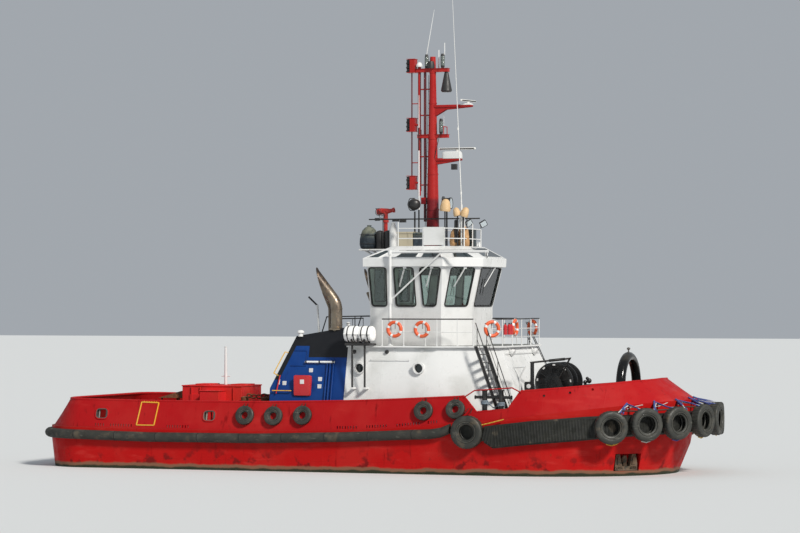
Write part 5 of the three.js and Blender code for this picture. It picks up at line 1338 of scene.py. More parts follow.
rail_white = white_paint("rail_white", grime=0.9)
rail = Piece()
for line, middles in ((SIDE_RAIL, (RAIL_MIDDLE,)), (FRONT_RAIL, (0.36, 0.7)), (AFT_RAIL, (RAIL_MIDDLE,))):
    at = [(x, -y, BRIDGE_DECK) for x, y in line]
    lift = [Vector(p) for p in at]
    up = Vector((0, 0, 1))
    rail.coat = 0
    for middle in middles:
        rail.bar([p + up * middle for p in lift], 0.017)
    for p in lift:
        rail.bar((p, p + up * RAIL_TOP), 0.021)
        rail.turned(((0, 0), (0.05, 0), (0.05, 0.012), (0, 0.014)), stand(p), 12)
    rail.coat = 1
    rail.bar([p + up * RAIL_TOP for p in lift], 0.026, 10)
rail.both_sides()
rail.done(
    "bridge_rails", [rail_white, black_coat], "rail_paint",
    "bridge_rail_starboard bridge_rail_port bridge_rail_front"
)

buoy_orange = (
    Finish("buoy_orange", (0.72, 0.105, 0.03), 0.45).stain((7, 0.5, 0.75), (0.62, 0.17, 0.08))
    .gloss(9, 0.35, 0.6).bump(40, 0.002)
)
buoy = Piece()
port_buoys = [((x, -y, z), (nx, -ny, 0)) for (x, y, z), (nx, ny, _) in BUOYS[:3]]
for spot, out in (*BUOYS, *port_buoys):
    place = stand(spot, out, (0, 0, 1))
    for i in range(2 * BUOY_BANDS):
        white = i % 2
        middle = pi * i / BUOY_BANDS + pi / BUOY_BANDS / 2
        half = 0.17 if white else pi / BUOY_BANDS - 0.17
        turns = [middle + half * (k / 5 - 1) for k in range(11)]
        buoy.coat = white
        buoy.bar(
            [place @ Vector((BUOY_RING * cos(t), BUOY_RING * sin(t), 0)) for t in turns],
            BUOY_TUBE + 0.002 * white, 12
        )
    buoy.coat = 1
    for i in range(BUOY_BANDS):
        start = 2 * pi * i / BUOY_BANDS + 0.39
        line = []
        for k in range(9):
            t = start + 2 * pi / BUOY_BANDS * k / 8
            reach = BUOY_RING + BUOY_TUBE + 0.008 + 0.03 * sin(pi * k / 8)
            line.append(place @ Vector((reach * cos(t), reach * sin(t), 0)))
        buoy.bar(line, 0.007, 5)
    buoy.coat = 2
    buoy.bar(
        (place @ Vector((0.34, 0, 0)), place @ Vector((0.34, 0, -0.09)), place @ Vector((0.02, 0, -0.09))),
        0.012, 6
    )
# Small red extinguishers hang on the front rail between the lifebuoys.
for y in (-2.42, -1.9, -1.62):
    buoy.coat = 3
    bottle = ((0, 0), (0.075, 0), (0.08, 0.03), (0.08, 0.36), (0.03, 0.43), (0, 0.43))
    buoy.turned(bottle, (5.99, y, 5.66), 16)
    buoy.coat = 2
    buoy.turned(((0, 0), (0.03, 0), (0.035, 0.06), (0, 0.07)), (5.99, y, 6.08), 12)
    buoy.bar(((5.99, y, 6.12), (6.03, y, 6.08), (6.06, y, 5.8)), 0.012, 6)
    buoy.bar(((5.89, y, 5.86), (5.99, y, 5.86)), 0.014, 6)
buoy.done("lifebuoys", [buoy_orange, rail_white, black_coat, red_gloss], "rail_paint")

# Deck stairs: steep steel ladders from the bridge deck to the foredeck, with
# channel sides, chequered treads and thin hand rails.
STAIR_HEAD, STAIR_FOOT = Vector((5.15, -3.13, 5.2)), Vector((6.43, -3.69, 2.2))
STAIR_HALF, TREADS = 0.29, 8

stair = Piece()
run = STAIR_FOOT - STAIR_HEAD
across = Vector((-run.y, run.x, 0)).normalized()
ahead = Vector((run.x, run.y, 0)).normalized()
run *= 0.985
for way in (-1, 1):
    side = across * STAIR_HALF * way
    a, b = (STAIR_HEAD + side + ahead * reach for reach in (-0.085, 0.085))
    for corner in (a, b):
        stair.bar((corner, corner + run), 0.016, 6)
    stair.skin([[p + across * 0.006 * face for p in (a, b, b + run, a + run)] for face in (-1, 1)])
    tops = [STAIR_HEAD + side + Vector((0, 0, 0.95)), STAIR_FOOT + side + Vector((0, 0, 0.88))]
    stair.bar(soft_corners((tops[0], tops[1], STAIR_FOOT + side + Vector((0.05, -0.02, 0.3))), 0.12), 0.02)
    for share in (0.06, 0.5, 0.94):
        stair.bar((STAIR_HEAD.lerp(STAIR_FOOT, share) + side, tops[0].lerp(tops[1], share)), 0.016, 6)
    stair.bar(
        [STAIR_HEAD.lerp(STAIR_FOOT, share) + side + Vector((0, 0, 0.46)) for share in (0.06, 0.94)], 0.013,
        6
    )
for i in range(1, TREADS + 1):
    middle = STAIR_HEAD.lerp(STAIR_FOOT, i / (TREADS + 1))
    corner = [
        middle + across * STAIR_HALF * a + ahead * 0.105 * b for a, b in ((-1, -1), (1, -1), (1, 1), (-1, 1))
    ]
    stair.skin([[c + Vector((0, 0, w)) for c in corner] for w in (-0.02, 0.004)])
    for b in (-0.1, -0.05, 0, 0.05, 0.1):
        stair.bar(
            [middle + ahead * b + across * end + Vector((0, 0, 0.006)) for end in (-0.28, 0.28)], 0.006, 4
        )
stair.both_sides()
stair.done("deck_stairs", [black_coat], "rail_paint", "stair_starboard stair_port")

# Wheelhouse: an eight-sided steel room with upright walls to the sill and glass
# that leans out above it, each pane clamped in a black rubber gasket.
BRIDGE_ROOM = {"aft": 0.1, "side": 2.5, "bend": 3.23, "fore": 4.2, "cheek": 1.35}
SILL, HEAD, BRIDGE_LEAN, BRIDGE_WALL = 6.78, 8.47, 0.4, 0.07
PANE_FOOT, PANE_HEAD, PANE_CORNER = 6.83, 8.42, 0.13
PANES = (  # wall's first corner, shares along it at the sill and at the head
    (0, (0.03, 0.24), (0.02, 0.255)), (0, (0.37, 0.65), (0.355, 0.615)), (0, (0.75, 0.925), (0.7, 0.98)),
    (1, (0.1, 0.83), (0.24, 0.87)), (2, (0.06, 0.94), (0.06, 0.94)), (3, (0.17, 0.9), (0.13, 0.76)),
    (4, (0.075, 0.25), (0.02, 0.3)), (4, (0.35, 0.63), (0.385, 0.645)), (4, (0.76, 0.97), (0.745, 0.98)),
)
AFT_PANES = ((-2.15, -0.8), (0.8, 2.15))


def bridge_at(z, inset=0):
    out = BRIDGE_LEAN * max(z - SILL, 0) / (HEAD - SILL) - inset
    return [Vector((x, y, z)) for x, y in house_outline(**BRIDGE_ROOM, out=out, back=-inset)]


def pane_frame(corners, corner=PANE_CORNER):
    """A frame on the face that four corners span, and their outline in it, corners softened."""
    along, up = corners[1] - corners[0], corners[3] - corners[0]
    place = stand(corners[0], along.cross(up), along)
    flat = [place.inverted() @ point for point in corners]
    return place, [(p.x, p.y) for p in soft_corners(flat, corner, 5, loop=True)]


def wall_pane(foot, top, first, low, high):
    """The four corners of a pane between two rings, by shares along one wall."""
    a, b = (
        [ring[first].lerp(ring[first + 1], share) for share in shares]
        for ring, shares in ((foot, low), (top, high))
    )
    return a[0], a[1], b[1], b[0]


pane_glass = Finish("pane_glass", (0.4, 0.5, 0.47), 0.03)
clear = pane_glass.node("ShaderNodeBsdfTransparent", {"Color": (0.87, 0.93, 0.89)})
shine = pane_glass.node("ShaderNodeBsdfGlossy", {"Color": (0.95, 0.97, 1), "Roughness": 0.02})
pane_glass.links.new(pane_glass.between((3, 0.4, 0.8), 0, 1, 0.015, 0.06), shine.inputs["Roughness"])
edge_on = pane_glass.node("ShaderNodeFresnel", {"IOR": 1.5})
glaze = pane_glass.node(
    "ShaderNodeMixShader", {0: edge_on.outputs[0], 1: clear.outputs[0], 2: shine.outputs[0]}
)
pane_glass.links.new(glaze.outputs[0], pane_glass.nodes["Material Output"].inputs["Surface"])
gasket_coat = (
    Finish("gasket_rubber", (0.012, 0.012, 0.012), 0.55).stain((14, 0.4, 0.8), (0.03, 0.03, 0.028))
    .gloss(5, 0.45, 0.7).bump(50, 0.002)
)

room = Piece()
levels = (BRIDGE_DECK, SILL, HEAD)
room.skin([bridge_at(z) for z in levels] + [bridge_at(z, BRIDGE_WALL) for z in levels[::-1]], close=True)
holes = Piece()
panes = [pane_frame(wall_pane(bridge_at(PANE_FOOT), bridge_at(PANE_HEAD), *pane)) for pane in PANES]
for y0, y1 in AFT_PANES:
    spots = ((y1, 7.03), (y0, 7.03), (y0, PANE_HEAD), (y1, PANE_HEAD))
    panes.append(pane_frame([Vector((BRIDGE_ROOM["aft"], y, z)) for y, z in spots]))
for place, outline in panes:
    holes.skin([lay(place, outline, w) for w in (-0.2, 0.2)])
x, sill = BRIDGE_DOOR
holes.block((x - 0.4, -DOOR_WIDE / 2, sill), (x + 0.4, DOOR_WIDE / 2, sill + DOOR_TALL))
room.done(
    "wheelhouse_shell", [white_coat], "white_paint", "wheelhouse", 0.006, cuts=holes.done("pane_holes")
)

gaskets, glass = Piece(), Piece()
for place, outline in panes:
    for w, thick in ((0.006, 0.03), (-BRIDGE_WALL - 0.004, 0.022)):
        gaskets.hoop(lay(place, outline, w), thick, 6)
    glass.skin([lay(place, outline, w) for w in (-0.036, -0.026)])
gaskets.done("window_gaskets", [gasket_coat], "fender_rubber")
glass.done("window_panes", [pane_glass], "window_glass", "window_glass")

wipers = Piece()
for place, outline in panes[1:8]:
    wide, tall = max(u for u, _ in outline), max(v for _, v in outline)
    root, tip = (0.6 * wide, tall + 0.03), (0.26 * wide, 0.52 * tall)
    wipers.coat = 0
    case = ((-0.07, -0.05), (0.07, -0.05), (0.07, 0.07), (-0.07, 0.07))
    wipers.plate([(root[0] + a, root[1] + b) for a, b in case], place, 0.07)
    for shift in (-0.02, 0.02):
        wipers.bar(
            (
                place @ Vector((root[0] + shift, root[1], 0.06)),
                place @ Vector((tip[0] + shift, tip[1], 0.05))
            ),
            0.011, 6
        )
    wipers.coat = 1
    wipers.bar(
        (
            place @ Vector((tip[0] - 0.04, tip[1] + 0.34, 0.03)),
            place @ Vector((tip[0] + 0.05, tip[1] - 0.36, 0.03))
        ),
        0.013, 6
    )
wipers.done("window_wipers", [rail_white, gasket_coat], "white_paint")
steel_door("wheelhouse_door", *BRIDGE_DOOR, 7.75)

# Wheelhouse inside: vinyl floor, pale lining below the sill, desks along the
# walls and a panel of switches under the roof, all seen through the glass.
lining = (
    Finish("cabin_lining", (0.76, 0.77, 0.67), 0.6).stain((2, 0.4, 0.7), (0.6, 0.62, 0.52))
    .gloss(5, 0.5, 0.7).bump(("z", 0.6, 0.01), 0.003)
)
vinyl = (
    Finish("floor_vinyl", (0.07, 0.075, 0.08), 0.5).stain((60, 0.5, 0.7), (0.12, 0.125, 0.13))
    .gloss(3, 0.35, 0.6).bump(80, 0.001)
)
inside = Piece()
inside.skin([bridge_at(z, BRIDGE_WALL + 0.02) for z in (5.22, 5.24)])
inside.coat = 1
inside.skin([bridge_at(z, BRIDGE_WALL + 0.012) for z in (8.38, 8.4)])
for side in (-1, 1):
    inside.block((0.9, side * 2.38, 5.24), (2.9, side * 1.95, 6.25))
    inside.coat = 2
    inside.block((0.85, side * 2.4, 6.25), (2.95, side * 1.9, 6.3))
    for x in (1.2, 1.75, 2.3):
        inside.block((x - 0.22, side * 2.2, 6.3), (x + 0.22, side * 2.14, 6.72))
    inside.block((1.5, side * 1.1 - 0.25, 8.12), (3.4, side * 1.1 + 0.25, 8.38))
    inside.coat = 1
inside.block((0.22, 0.85, 5.24), (0.75, 2.35, 6.95))
inside.block((0.22, -2.35, 5.24), (0.75, -0.85, 6.6))
inside.done("cabin_fittings", [vinyl, lining, gasket_coat], "console_plastic", edge=0.008)

# Wheelhouse roof: a deep white brow and four sloping plates with dark skylights
# under a flat top, with a gear platform carried on struts behind it.
ROOF_BROW, ROOF_TOP = 8.82, 9.33
ROOF_SHAPE = ((HEAD + 0.0003, 0.54, 0.13), (ROOF_BROW, 0.56, 0.13), (ROOF_TOP, -0.33, -0.85))
SKYLIGHTS = (  # slope's first corner, shares along it low down and high up
    (0, (0.05, 0.19), (0.07, 0.19)), (0, (0.4, 0.66), (0.42, 0.67)), (0, (0.73, 0.985), (0.735, 0.97)),
    (1, (0.27, 0.78), (0.34, 0.7)), (2, (0.08, 0.92), (0.1, 0.9)), (3, (0.22, 0.73), (0.3, 0.66)),
    (4, (0.04, 0.29), (0.05, 0.3)), (4, (0.365, 0.63), (0.36, 0.62)), (4, (0.81, 0.95), (0.81, 0.93)),
)
PLATFORM = ((-1.3, -0.05, 9.2), (0.8, 1.25, 9.26))
PLATFORM_STRUTS = (0.15, 1.05)
ROOF_RAIL = (  # x, y and height of each post
    (1.15, 1.98, 10.33), (2.25, 1.98, 10.11), (3.18, 1.98, 10.11), (3.76, 1.1, 10.11), (3.76, 0, 10.33),
)
ROOF_RAIL_BARS = (9.65, 10.07)
BOARD = ((2.28, 1.975, 9.37), (3.16, 2.01, 10.12))
LAMP_BAR = {"aft": -0.68, "fore": 4.27, "y": -0.56, "z": 10.5}


def roof_ring(z, out, back):
    return [Vector((x, y, z)) for x, y in house_outline(**BRIDGE_ROOM, out=out, back=back)]


roof = Piece()
rings = [roof_ring(*level) for level in ROOF_SHAPE]
roof.skin(rings)
roof.done("roof_plating", [white_coat], "white_paint", "wheelhouse_roof", 0.012)

gear = Piece()
for sky in SKYLIGHTS:
    shares = (0.1, 0.88) if sky[0] == 2 else (0.03, 0.62)
    low, high = ([a.lerp(b, share) for a, b in zip(rings[1], rings[2])] for share in shares)
    place, outline = pane_frame(wall_pane(low, high, *sky), 0.05)
    gear.coat = 2
    gear.plate(outline, place @ stand((0, 0, 0.004)), 0.014)
    gear.coat = 0
    gear.hoop(lay(place, outline, 0.01), 0.016, 6)
(x0, y0, z0), (x1, y1, z1) = PLATFORM
for side in (1, -1):
    gear.coat = 0
    at = [(x, y * side) for x, y, _ in ROOF_RAIL]
    for (x, y), (_, _, head) in zip(at, ROOF_RAIL):
        gear.bar(((x, y, ROOF_TOP - 0.01), (x, y, head)), 0.026)
    for z in ROOF_RAIL_BARS:
        gear.bar([(x, y, z) for x, y in at], 0.022)
    low, high = BOARD
    gear.block((low[0], side * low[1], low[2]), (high[0], side * high[1], high[2]))
    gear.bar(((4.1, side * 0.52, 8.95), (4.55, side * 0.52, 8.86)), 0.03)
for y in PLATFORM_STRUTS:
    gear.bar(((x0 + 0.15, y, z0 + 0.02), (0.06, y, 8.525)), 0.045)
gear.bar([(x, y, z0 + 0.02) for x, y in ((x1, y0), (x0, y0), (x0, y1), (x1, y1))], 0.035, 6)
gear.coat = 3
gear.block(*PLATFORM)
# A thin black bar over the roof, dark boxes on it and an aerial's tuning case.
gear.coat = 1
bar_y, bar_z = LAMP_BAR["y"], LAMP_BAR["z"]
gear.bar([(LAMP_BAR[end], bar_y, bar_z) for end in ("aft", "fore")], 0.028)
gear.bar(((-0.3, 0.12, z1 - 0.01), (-0.3, 0.12, bar_z), (-0.3, bar_y, bar_z)), 0.022)
gear.bar(((3.7, bar_y, ROOF_TOP - 0.01), (3.7, bar_y, bar_z)), 0.022)
for x, y, z, dx, dz in (
    (0.4, -0.66, 10.4, 0.26, 0.12), (0.72, -0.64, 10.36, 0.26, 0.14), (-0.4, -0.62, 10.44, 0.2, 0.12)
):
    gear.block((x, y, z), (x + dx, -0.5, z + dz))
gear.turned(((0, 9.5), (0.09, 9.5), (0.1, 9.6), (0.085, 10.42), (0, 10.46)), (3.33, -0.85, 0), 16)
# A horn pair, a dome aerial, two boxes by the front rail and a gas bottle aft.
gear.coat = 0
gear.block((3.47, -0.9, 10.13), (3.66, -0.7, 10.53))
gear.coat = 2
gear.block((3.45, 0.35, ROOF_TOP - 0.01), (3.72, 0.62, 10.07))
gear.coat = 0
for y in (1.5, 1.2):
    horn = ((0.02, 0), (0.03, 0.18), (0.05, 0.32), (0.12, 0.42), (0, 0.36))
    gear.turned(horn, stand((3.15, y, 9.45), (1, 0, 0)), 16)
    gear.bar(((3.3, y, 9.33), (3.3, y, 9.44)), 0.02, 6)
bottle = ((0, 9.26), (0.16, 9.26), (0.16, 10.1), (0.1, 10.28), (0.08, 10.38), (0, 10.4))
gear.turned(bottle, (0.17, 0.1, 0))
dome = ((0, 0), (0.16, 0), (0.16, 0.1), (0.24, 0.16), (0.24, 0.34), (0.16, 0.48), (0, 0.54))
gear.turned(dome, (2.9, 1, 9.33), 24)
gear.done(
    "roof_fittings", [rail_white, black_coat, glass_dark_coat, bridge_deck_coat], "white_paint", edge=0.004
)

# Roof stores: a tan locker and a grey one behind the rail, drums of line and a
# canvas bundle on the platform, and brown bags of line by the front rail.
LOCKER_TAN = ((0.84, -1.25, 9.33), (1.51, -0.65, 9.95))
LOCKER_GREY = ((1.54, -1.2, 9.33), (1.87, -0.7, 9.92))
DRUMS = ((-0.5, 0.3, 0.17), (-0.13, 0.3, 0.17))

tan_coat = painted_steel("tan_paint", (0.46, 0.41, 0.3), (0.52, 0.47, 0.36), rough=0.6, rust=0.2)
canvas = Finish("grey_canvas", (0.03, 0.042, 0.055), 0.85)
canvas.stain(canvas.between("z", 9.65, 10.05), (0.16, 0.17, 0.13))
canvas.stain((4, 0.5, 0.7), (0.04, 0.06, 0.08)).bump((5, 0.3, 0.7, 4, (1, 1, 0.4)), 0.04)
canvas.bump(("z", 0.02, 0.006), 0.002)
bag_coat = (
    Finish("brown_bag", (0.42, 0.24, 0.11), 0.85).stain((6, 0.45, 0.7), (0.58, 0.36, 0.18)).bump(9, 0.03)
)
store = Piece()
for coat, (low, high) in ((0, LOCKER_TAN), (1, LOCKER_GREY)):
    store.coat = coat
    store.block(low, (*high[:2], high[2] - 0.08))
    store.block((low[0] - 0.02, low[1] - 0.02, high[2] - 0.08), (high[0] + 0.02, high[1] + 0.02, high[2]))
store.coat = 2
for x, y, r in DRUMS:
    ribs = [(r + 0.012 * (k % 2), 9.26 + 0.0722 * k) for k in range(11)]
    store.turned(((0, 9.26), *ribs, (r - 0.05, 10.03), (0, 10.06)), (x, y, 0), 24)
store.done("roof_stores", [tan_coat, canvas, black_coat], "deck_gear_paint", edge=0.01)


def sack(name, spot, radius, tall, coat, cords=()):
    """A filled bag that sags: lobed, widest low down, gathered at its neck and corded."""
    bulge = (
        (0, 0.02), (0.75, 0), (0.98, 0.05), (1.06, 0.2), (1.02, 0.42), (0.93, 0.62), (0.8, 0.78), (0.5, 0.9),
        (0.22, 0.95), (0.28, 1), (0, 1.01)
    )
    sag = Piece()
    x, y, z = spot
    rings = []
    for share, up in bulge:
        slump = 0.1 * radius * up * (1 - up)
        ring = []
        for k in range(32):
            turn = k * pi / 16
            reach = radius * share * (1 + 0.035 * cos(3 * turn + 5 * up) + 0.02 * cos(7 * turn - 3 * up))
            ring.append((x + reach * cos(turn) - slump, y + reach * sin(turn) - slump, z + tall * up))
        rings.append(ring)
    sag.skin(rings)
    sag.coat = 1
    for up in cords:
        sag.hoop(lay(stand((x, y, z + tall * up)), circle(1.1 * radius, 24)), 0.014, 6)
    sag.done(name, [coat, black_coat], "deck_gear_paint", crease=70)


sack("roof_canvas_bundle", (-1.05, 0.45, 9.26), 0.37, 1.02, canvas, (0.22, 0.6))
for k, (spot, radius, tall) in enumerate((
    ((3.22, -0.72, 9.33), 0.2, 0.78), ((3.62, -0.66, 9.33), 0.21, 0.86), ((3.42, -0.25, 9.33), 0.2, 0.95)
)):
    sack(f"roof_line_bag_{k + 1}", spot, radius, tall, bag_coat)

# Lamps: two drum searchlights, three more under tan hoods and two square
# floodlights with glass fronts, on posts and on the roof rail.
lens_coat = (
    Finish("lamp_lens", (0.55, 0.62, 0.66), 0.05).stain(("y", 0.035, 0.008), (0.3, 0.36, 0.4))
    .gloss(5, 0.03, 0.12).bump(("y", 0.035, 0.012), 0.004)
)
for name, x, y, z, facing in (
    ("aft", 1.36, -0.5, 11.12, (-0.6, 1, 0)), ("forward", 2.76, -0.42, 11.15, (1, 0, 0))
):
    lamp = Piece()
    place = stand((x, y, z), facing)
    lamp.bar(((x, y, ROOF_TOP), (x, y, z - 0.3)), 0.036, 10)
    lamp.turned(((0, 0), (0.1, 0), (0.1, 0.02), (0, 0.03)), (x, y, ROOF_TOP), 16)
    yoke = [
        place @ Vector((u, side * 0.255, 0))
        for u, side in ((0, -1), (-0.22, -1), (-0.31, 0), (-0.22, 1), (0, 1))
    ]
    lamp.bar(soft_corners(yoke, 0.06, 4), 0.018)
    lamp.turned(
        (
            (0, -0.22), (0.12, -0.21), (0.19, -0.16), (0.22, -0.09), (0.225, 0.1), (0.245, 0.11),
            (0.245, 0.2), (0.225, 0.205), (0.22, 0.17), (0, 0.17)
        ),
        place, 32
    )
    for k in range(5):
        lamp.ring(
            ((0.218, -0.09 + 0.03 * k), (0.233, -0.085 + 0.03 * k), (0.218, -0.08 + 0.03 * k)), place, 32
        )
    lamp.coat = 1
    lamp.turned(((0, 0.175), (0.218, 0.175), (0.218, 0.185), (0, 0.19)), place, 32)
    lamp.done(f"searchlight_{name}_lamp", [black_coat, lens_coat], "lamp_paint", f"searchlight_{name}")

tan_plastic = (
    Finish("tan_plastic", (0.62, 0.42, 0.22), 0.55).stain((4, 0.45, 0.75), (0.72, 0.55, 0.34))
    .gloss(6, 0.45, 0.7).bump(12, 0.006)
)
flood = Piece()
cover = ((0, 0), (0.19, 0), (0.205, 0.05), (0.19, 0.2), (0.15, 0.37), (0.08, 0.45), (0, 0.47))
for x, z, lean, size in (
    (2.86, 10.8, (0.1, 0, 1), 1.12), (3.42, 10.6, (-0.25, 0, 1), 0.78), (3.68, 10.58, (0.4, 0, 1), 0.86)
):
    flood.coat = 0
    flood.turned([(r * size, h * size) for r, h in cover], stand((x, -0.95, z), lean), 24)
    flood.coat = 1
    flood.bar(((x, -0.95, ROOF_TOP), (x, -0.95, z + 0.02)), 0.03)
for x, y in ((3.6, -0.04), (3.86, 1.1)):
    flood.coat = 1
    place = stand((x, y, 10.33), (0.55, -0.75, -0.25), (1, 0, 0.35))
    flood.plate(rounded(0.15, 0.13, 0.03), place, 0.09)
    flood.bar(((x, y, 10.3), (3.76, y, 10.27)), 0.02)
    flood.coat = 2
    flood.plate(rounded(0.125, 0.105, 0.02), place @ stand((0, 0, 0.09)), 0.006)
flood.bar(((3.76, 1.1, 10.09), (3.76, 1.1, 10.33)), 0.024)
flood.done("roof_floodlights", [tan_plastic, black_coat, lens_coat], "lamp_paint", edge=0.004)

# Fire monitor: a red cast water cannon on a riser, with a hand wheel and a
# flared nozzle, turning on the flange at the riser's head.
MONITOR = {"x": -0.41, "y": 0.75, "post": 10.45, "head": 10.85}

monitor_red = painted_steel("monitor_red", (0.42, 0.022, 0.016), (0.48, 0.05, 0.04), rough=0.35, rust=0.3)
x, y, post, head = MONITOR.values()
riser = Piece()
riser.lathe(
    ((0.19, 9.26), (0.19, 9.3), (0.085, 9.32), (0.085, post - 0.05), (0.13, post - 0.05), (0.13, post)),
    (x, y, 0), 24
)
riser.bar(((x, y, 9.7), (x + 0.3, y, 9.7), (x + 0.3, y, 9.3)), 0.05, 10)
riser.done("monitor_riser", [monitor_red], "mast_paint", edge=0.004)
cannon = Piece()
cannon.lathe(((0.13, 0.0003), (0.13, 0.05), (0.1, 0.06), (0.1, 0.16)), (x, y, post), 24)
cannon.bar(soft_corners(((x, y, post + 0.1), (x, y, head - 0.03), (x - 0.22, y, head)), 0.08), 0.1, 16)
cannon.bar(
    soft_corners(((x - 0.24, y + 0.02, head), (x - 0.24, y, head + 0.07), (x + 0.12, y, head + 0.05)), 0.05),
    0.1, 16
)
cannon.turned(
    ((0, -0.13), (0.13, -0.12), (0.15, 0), (0.13, 0.12), (0, 0.13)),
    stand((x - 0.26, y, head + 0.02), (1, 0, 0))
)
nozzle_way = Vector((0.64, 0, 0.12)).normalized()
cannon.turned(
    (
        (0, 0), (0.12, 0), (0.1, 0.06), (0.08, 0.24), (0.1, 0.26), (0.115, 0.34), (0.08, 0.35), (0.07, 0.28),
        (0, 0.27)
    ),
    stand((x + 0.06, y, head + 0.02), nozzle_way), 24
)
cannon.coat = 1
for spot, way, size in (
    ((x - 0.12, y - 0.14, post + 0.24), (0, -1, 0), 0.12), ((x - 0.28, y - 0.16, head), (-0.3, -1, 0), 0.15)
):
    wheel = stand(spot, way)
    rim = lay(wheel, circle(size, 20))
    cannon.hoop(rim, 0.012, 6)
    for k in range(0, 20, 5):
        cannon.bar((wheel @ Vector((0, 0, 0)), rim[k]), 0.008, 6)
    cannon.bar((wheel @ Vector((0, 0, 0.01)), wheel @ Vector((0, 0, -0.12))), 0.016)
cannon.bar(((x - 0.12, y, head + 0.06), (x - 0.46, y, head + 0.15)), 0.02, 6)
cannon.done(
    "monitor_cannon", [monitor_red, black_coat], "mast_paint", "fire_monitor", 0.003, body="fire_monitor"
)

# Mast: a tapering welded column, painted red, with crossarms, radar brackets, a
# lantern pole with three boxed lights, cables, a ladder and whip aerials.
MAST = {"x": 1.99, "foot": 0.285, "head": 0.12, "top": 17.37}
POLE = {"x": 1.39, "low": 11.5, "high": 17.15}
CROSSARMS = ((1.25, 2.7, 16.83), (1.33, 2.68, 14.04))
LIGHT_BOXES = (12.05, 14.5, 17)
RADARS = (  # name, x, bracket top and depth, gearbox length aft and height, half scanner, degrees turned
    ("lower", 3.08, 13.06, 0.26, 0.63, 0.29, 0.82, 0), ("upper", 3.56, 15.31, 0.46, 0.3, 0.05, 0.56, 75),
)

mast_paint = painted_steel(
    "mast_paint", (0.36, 0.012, 0.011), (0.4, 0.022, 0.018), rough=0.4, rust=0.25, Specular_IOR_Level=0.3
)
# The column turns a darker red below about z 11.3.
mast_paint.stain(mast_paint.between("z", 11.45, 11.25), (0.17, 0.008, 0.013))
maroon_coat = painted_steel("mast_maroon", (0.1, 0.01, 0.016), (0.14, 0.02, 0.02), rust=0.2)
mast = Piece()
x, top = MAST["x"], MAST["top"]
mast.bar(((x, 0, ROOF_TOP), (x, 0, top)), [MAST["foot"], MAST["head"]], 32)
mast.turned(((0, 0), (0.42, 0), (0.42, 0.03), (0, 0.04)), (x, 0, ROOF_TOP), 32)
for z in (10.9, 12.4, 13.9, 15.4, 16.7):
    r = MAST["foot"] + (MAST["head"] - MAST["foot"]) * (z - ROOF_TOP) / (top - ROOF_TOP)
    mast.ring(((r - 0.02, -0.03), (r + 0.016, -0.03), (r + 0.016, 0.03), (r - 0.02, 0.03)), (x, 0, z), 32)
for turn in range(6):
    out = Vector((cos(turn * pi / 3), sin(turn * pi / 3), 0))
    foot = Vector((x, 0, ROOF_TOP + 0.03))
    bracket = (foot + out * 0.2, foot + out * 0.41, foot + out * 0.2 + Vector((0, 0, 0.4)))
    across = out.cross(Vector((0, 0, 1)))
    mast.skin([[p + across * way for p in bracket] for way in (-0.008, 0.008)])
for x0, x1, z in CROSSARMS:
    mast.block((x0, -0.12, z - 0.11), (x1, 0.12, z + 0.03))
    mast.block((x0 - 0.02, -0.15, z + 0.03), (x1 + 0.02, 0.15, z + 0.045))
for _, rx, z, depth, *_ in RADARS:
    mast.block((x, -0.15, z - 0.05), (rx + 0.18, 0.15, z - 0.01))
    for y in (-0.14, 0.14):
        mast.block((x, y - 0.008, z - 0.09), (rx + 0.18, y + 0.008, z + 0.01))
    for y in (-0.1, 0.1):
        web = (
            (x, z - depth), (x + 0.14, z - depth), (x + 0.62, z - 0.19), (rx + 0.14, z - 0.1),
            (rx + 0.14, z - 0.05), (x, z - 0.05)
        )
        mast.skin([[(u, y + w, v) for u, v in web] for w in (-0.006, 0.006)])
px = POLE["x"]
mast.bar(((px, 0, POLE["low"]), (px, 0, POLE["high"])), 0.065, 12)
for z in (11.95, 13.15, 14.9, 16):
    mast.bar(((px, 0, z), (x, 0, z)), 0.03)
for z in LIGHT_BOXES:
    mast.block((1.01, -0.18, z - 0.28), (1.23, 0.18, z + 0.28))
    for h in (-0.29, 0.28):
        mast.block((0.87, -0.2, z + h), (1.25, 0.2, z + h + 0.02))
    mast.bar(((1.2, 0, z), (px, 0, z)), 0.04)
for z in (12.9, 15.4):
    mast.bar(((1.05, 0, z), (px, 0, z)), 0.022, 6)
mast.block((2.02, -0.09, 11.9), (2.16, 0.09, 11.98))
mast.coat = 1
mast.bar(((1.05, 0, 11.75), (1.05, 0, 16.7)), 0.03)
mast.block((1.6, -0.05, 10.4), (1.69, 0.05, 16.75))
mast.coat = 0
mast.bar(((2.55, -0.22, 14.07), (2.55, -0.22, 14.4), (2.55, 0.22, 14.4), (2.55, 0.22, 14.07)), 0.02, 6)
mast.block((1.5, -0.12, 11.14), (1.7, 0.1, 11.42))
mast.done("mast_steelwork", [mast_paint, maroon_coat], "mast_paint", "mast", 0.004)

gear = Piece()
for z in LIGHT_BOXES:
    gear.coat = 0
    for h in (-0.27, -0.09, 0.09):
        gear.turned(
            (
                (0, 0), (0.13, 0), (0.15, 0.03), (0.15, 0.05), (0.12, 0.07), (0.12, 0.15), (0.15, 0.17),
                (0, 0.18)
            ),
            (0.94, 0, z + h), 16
        )
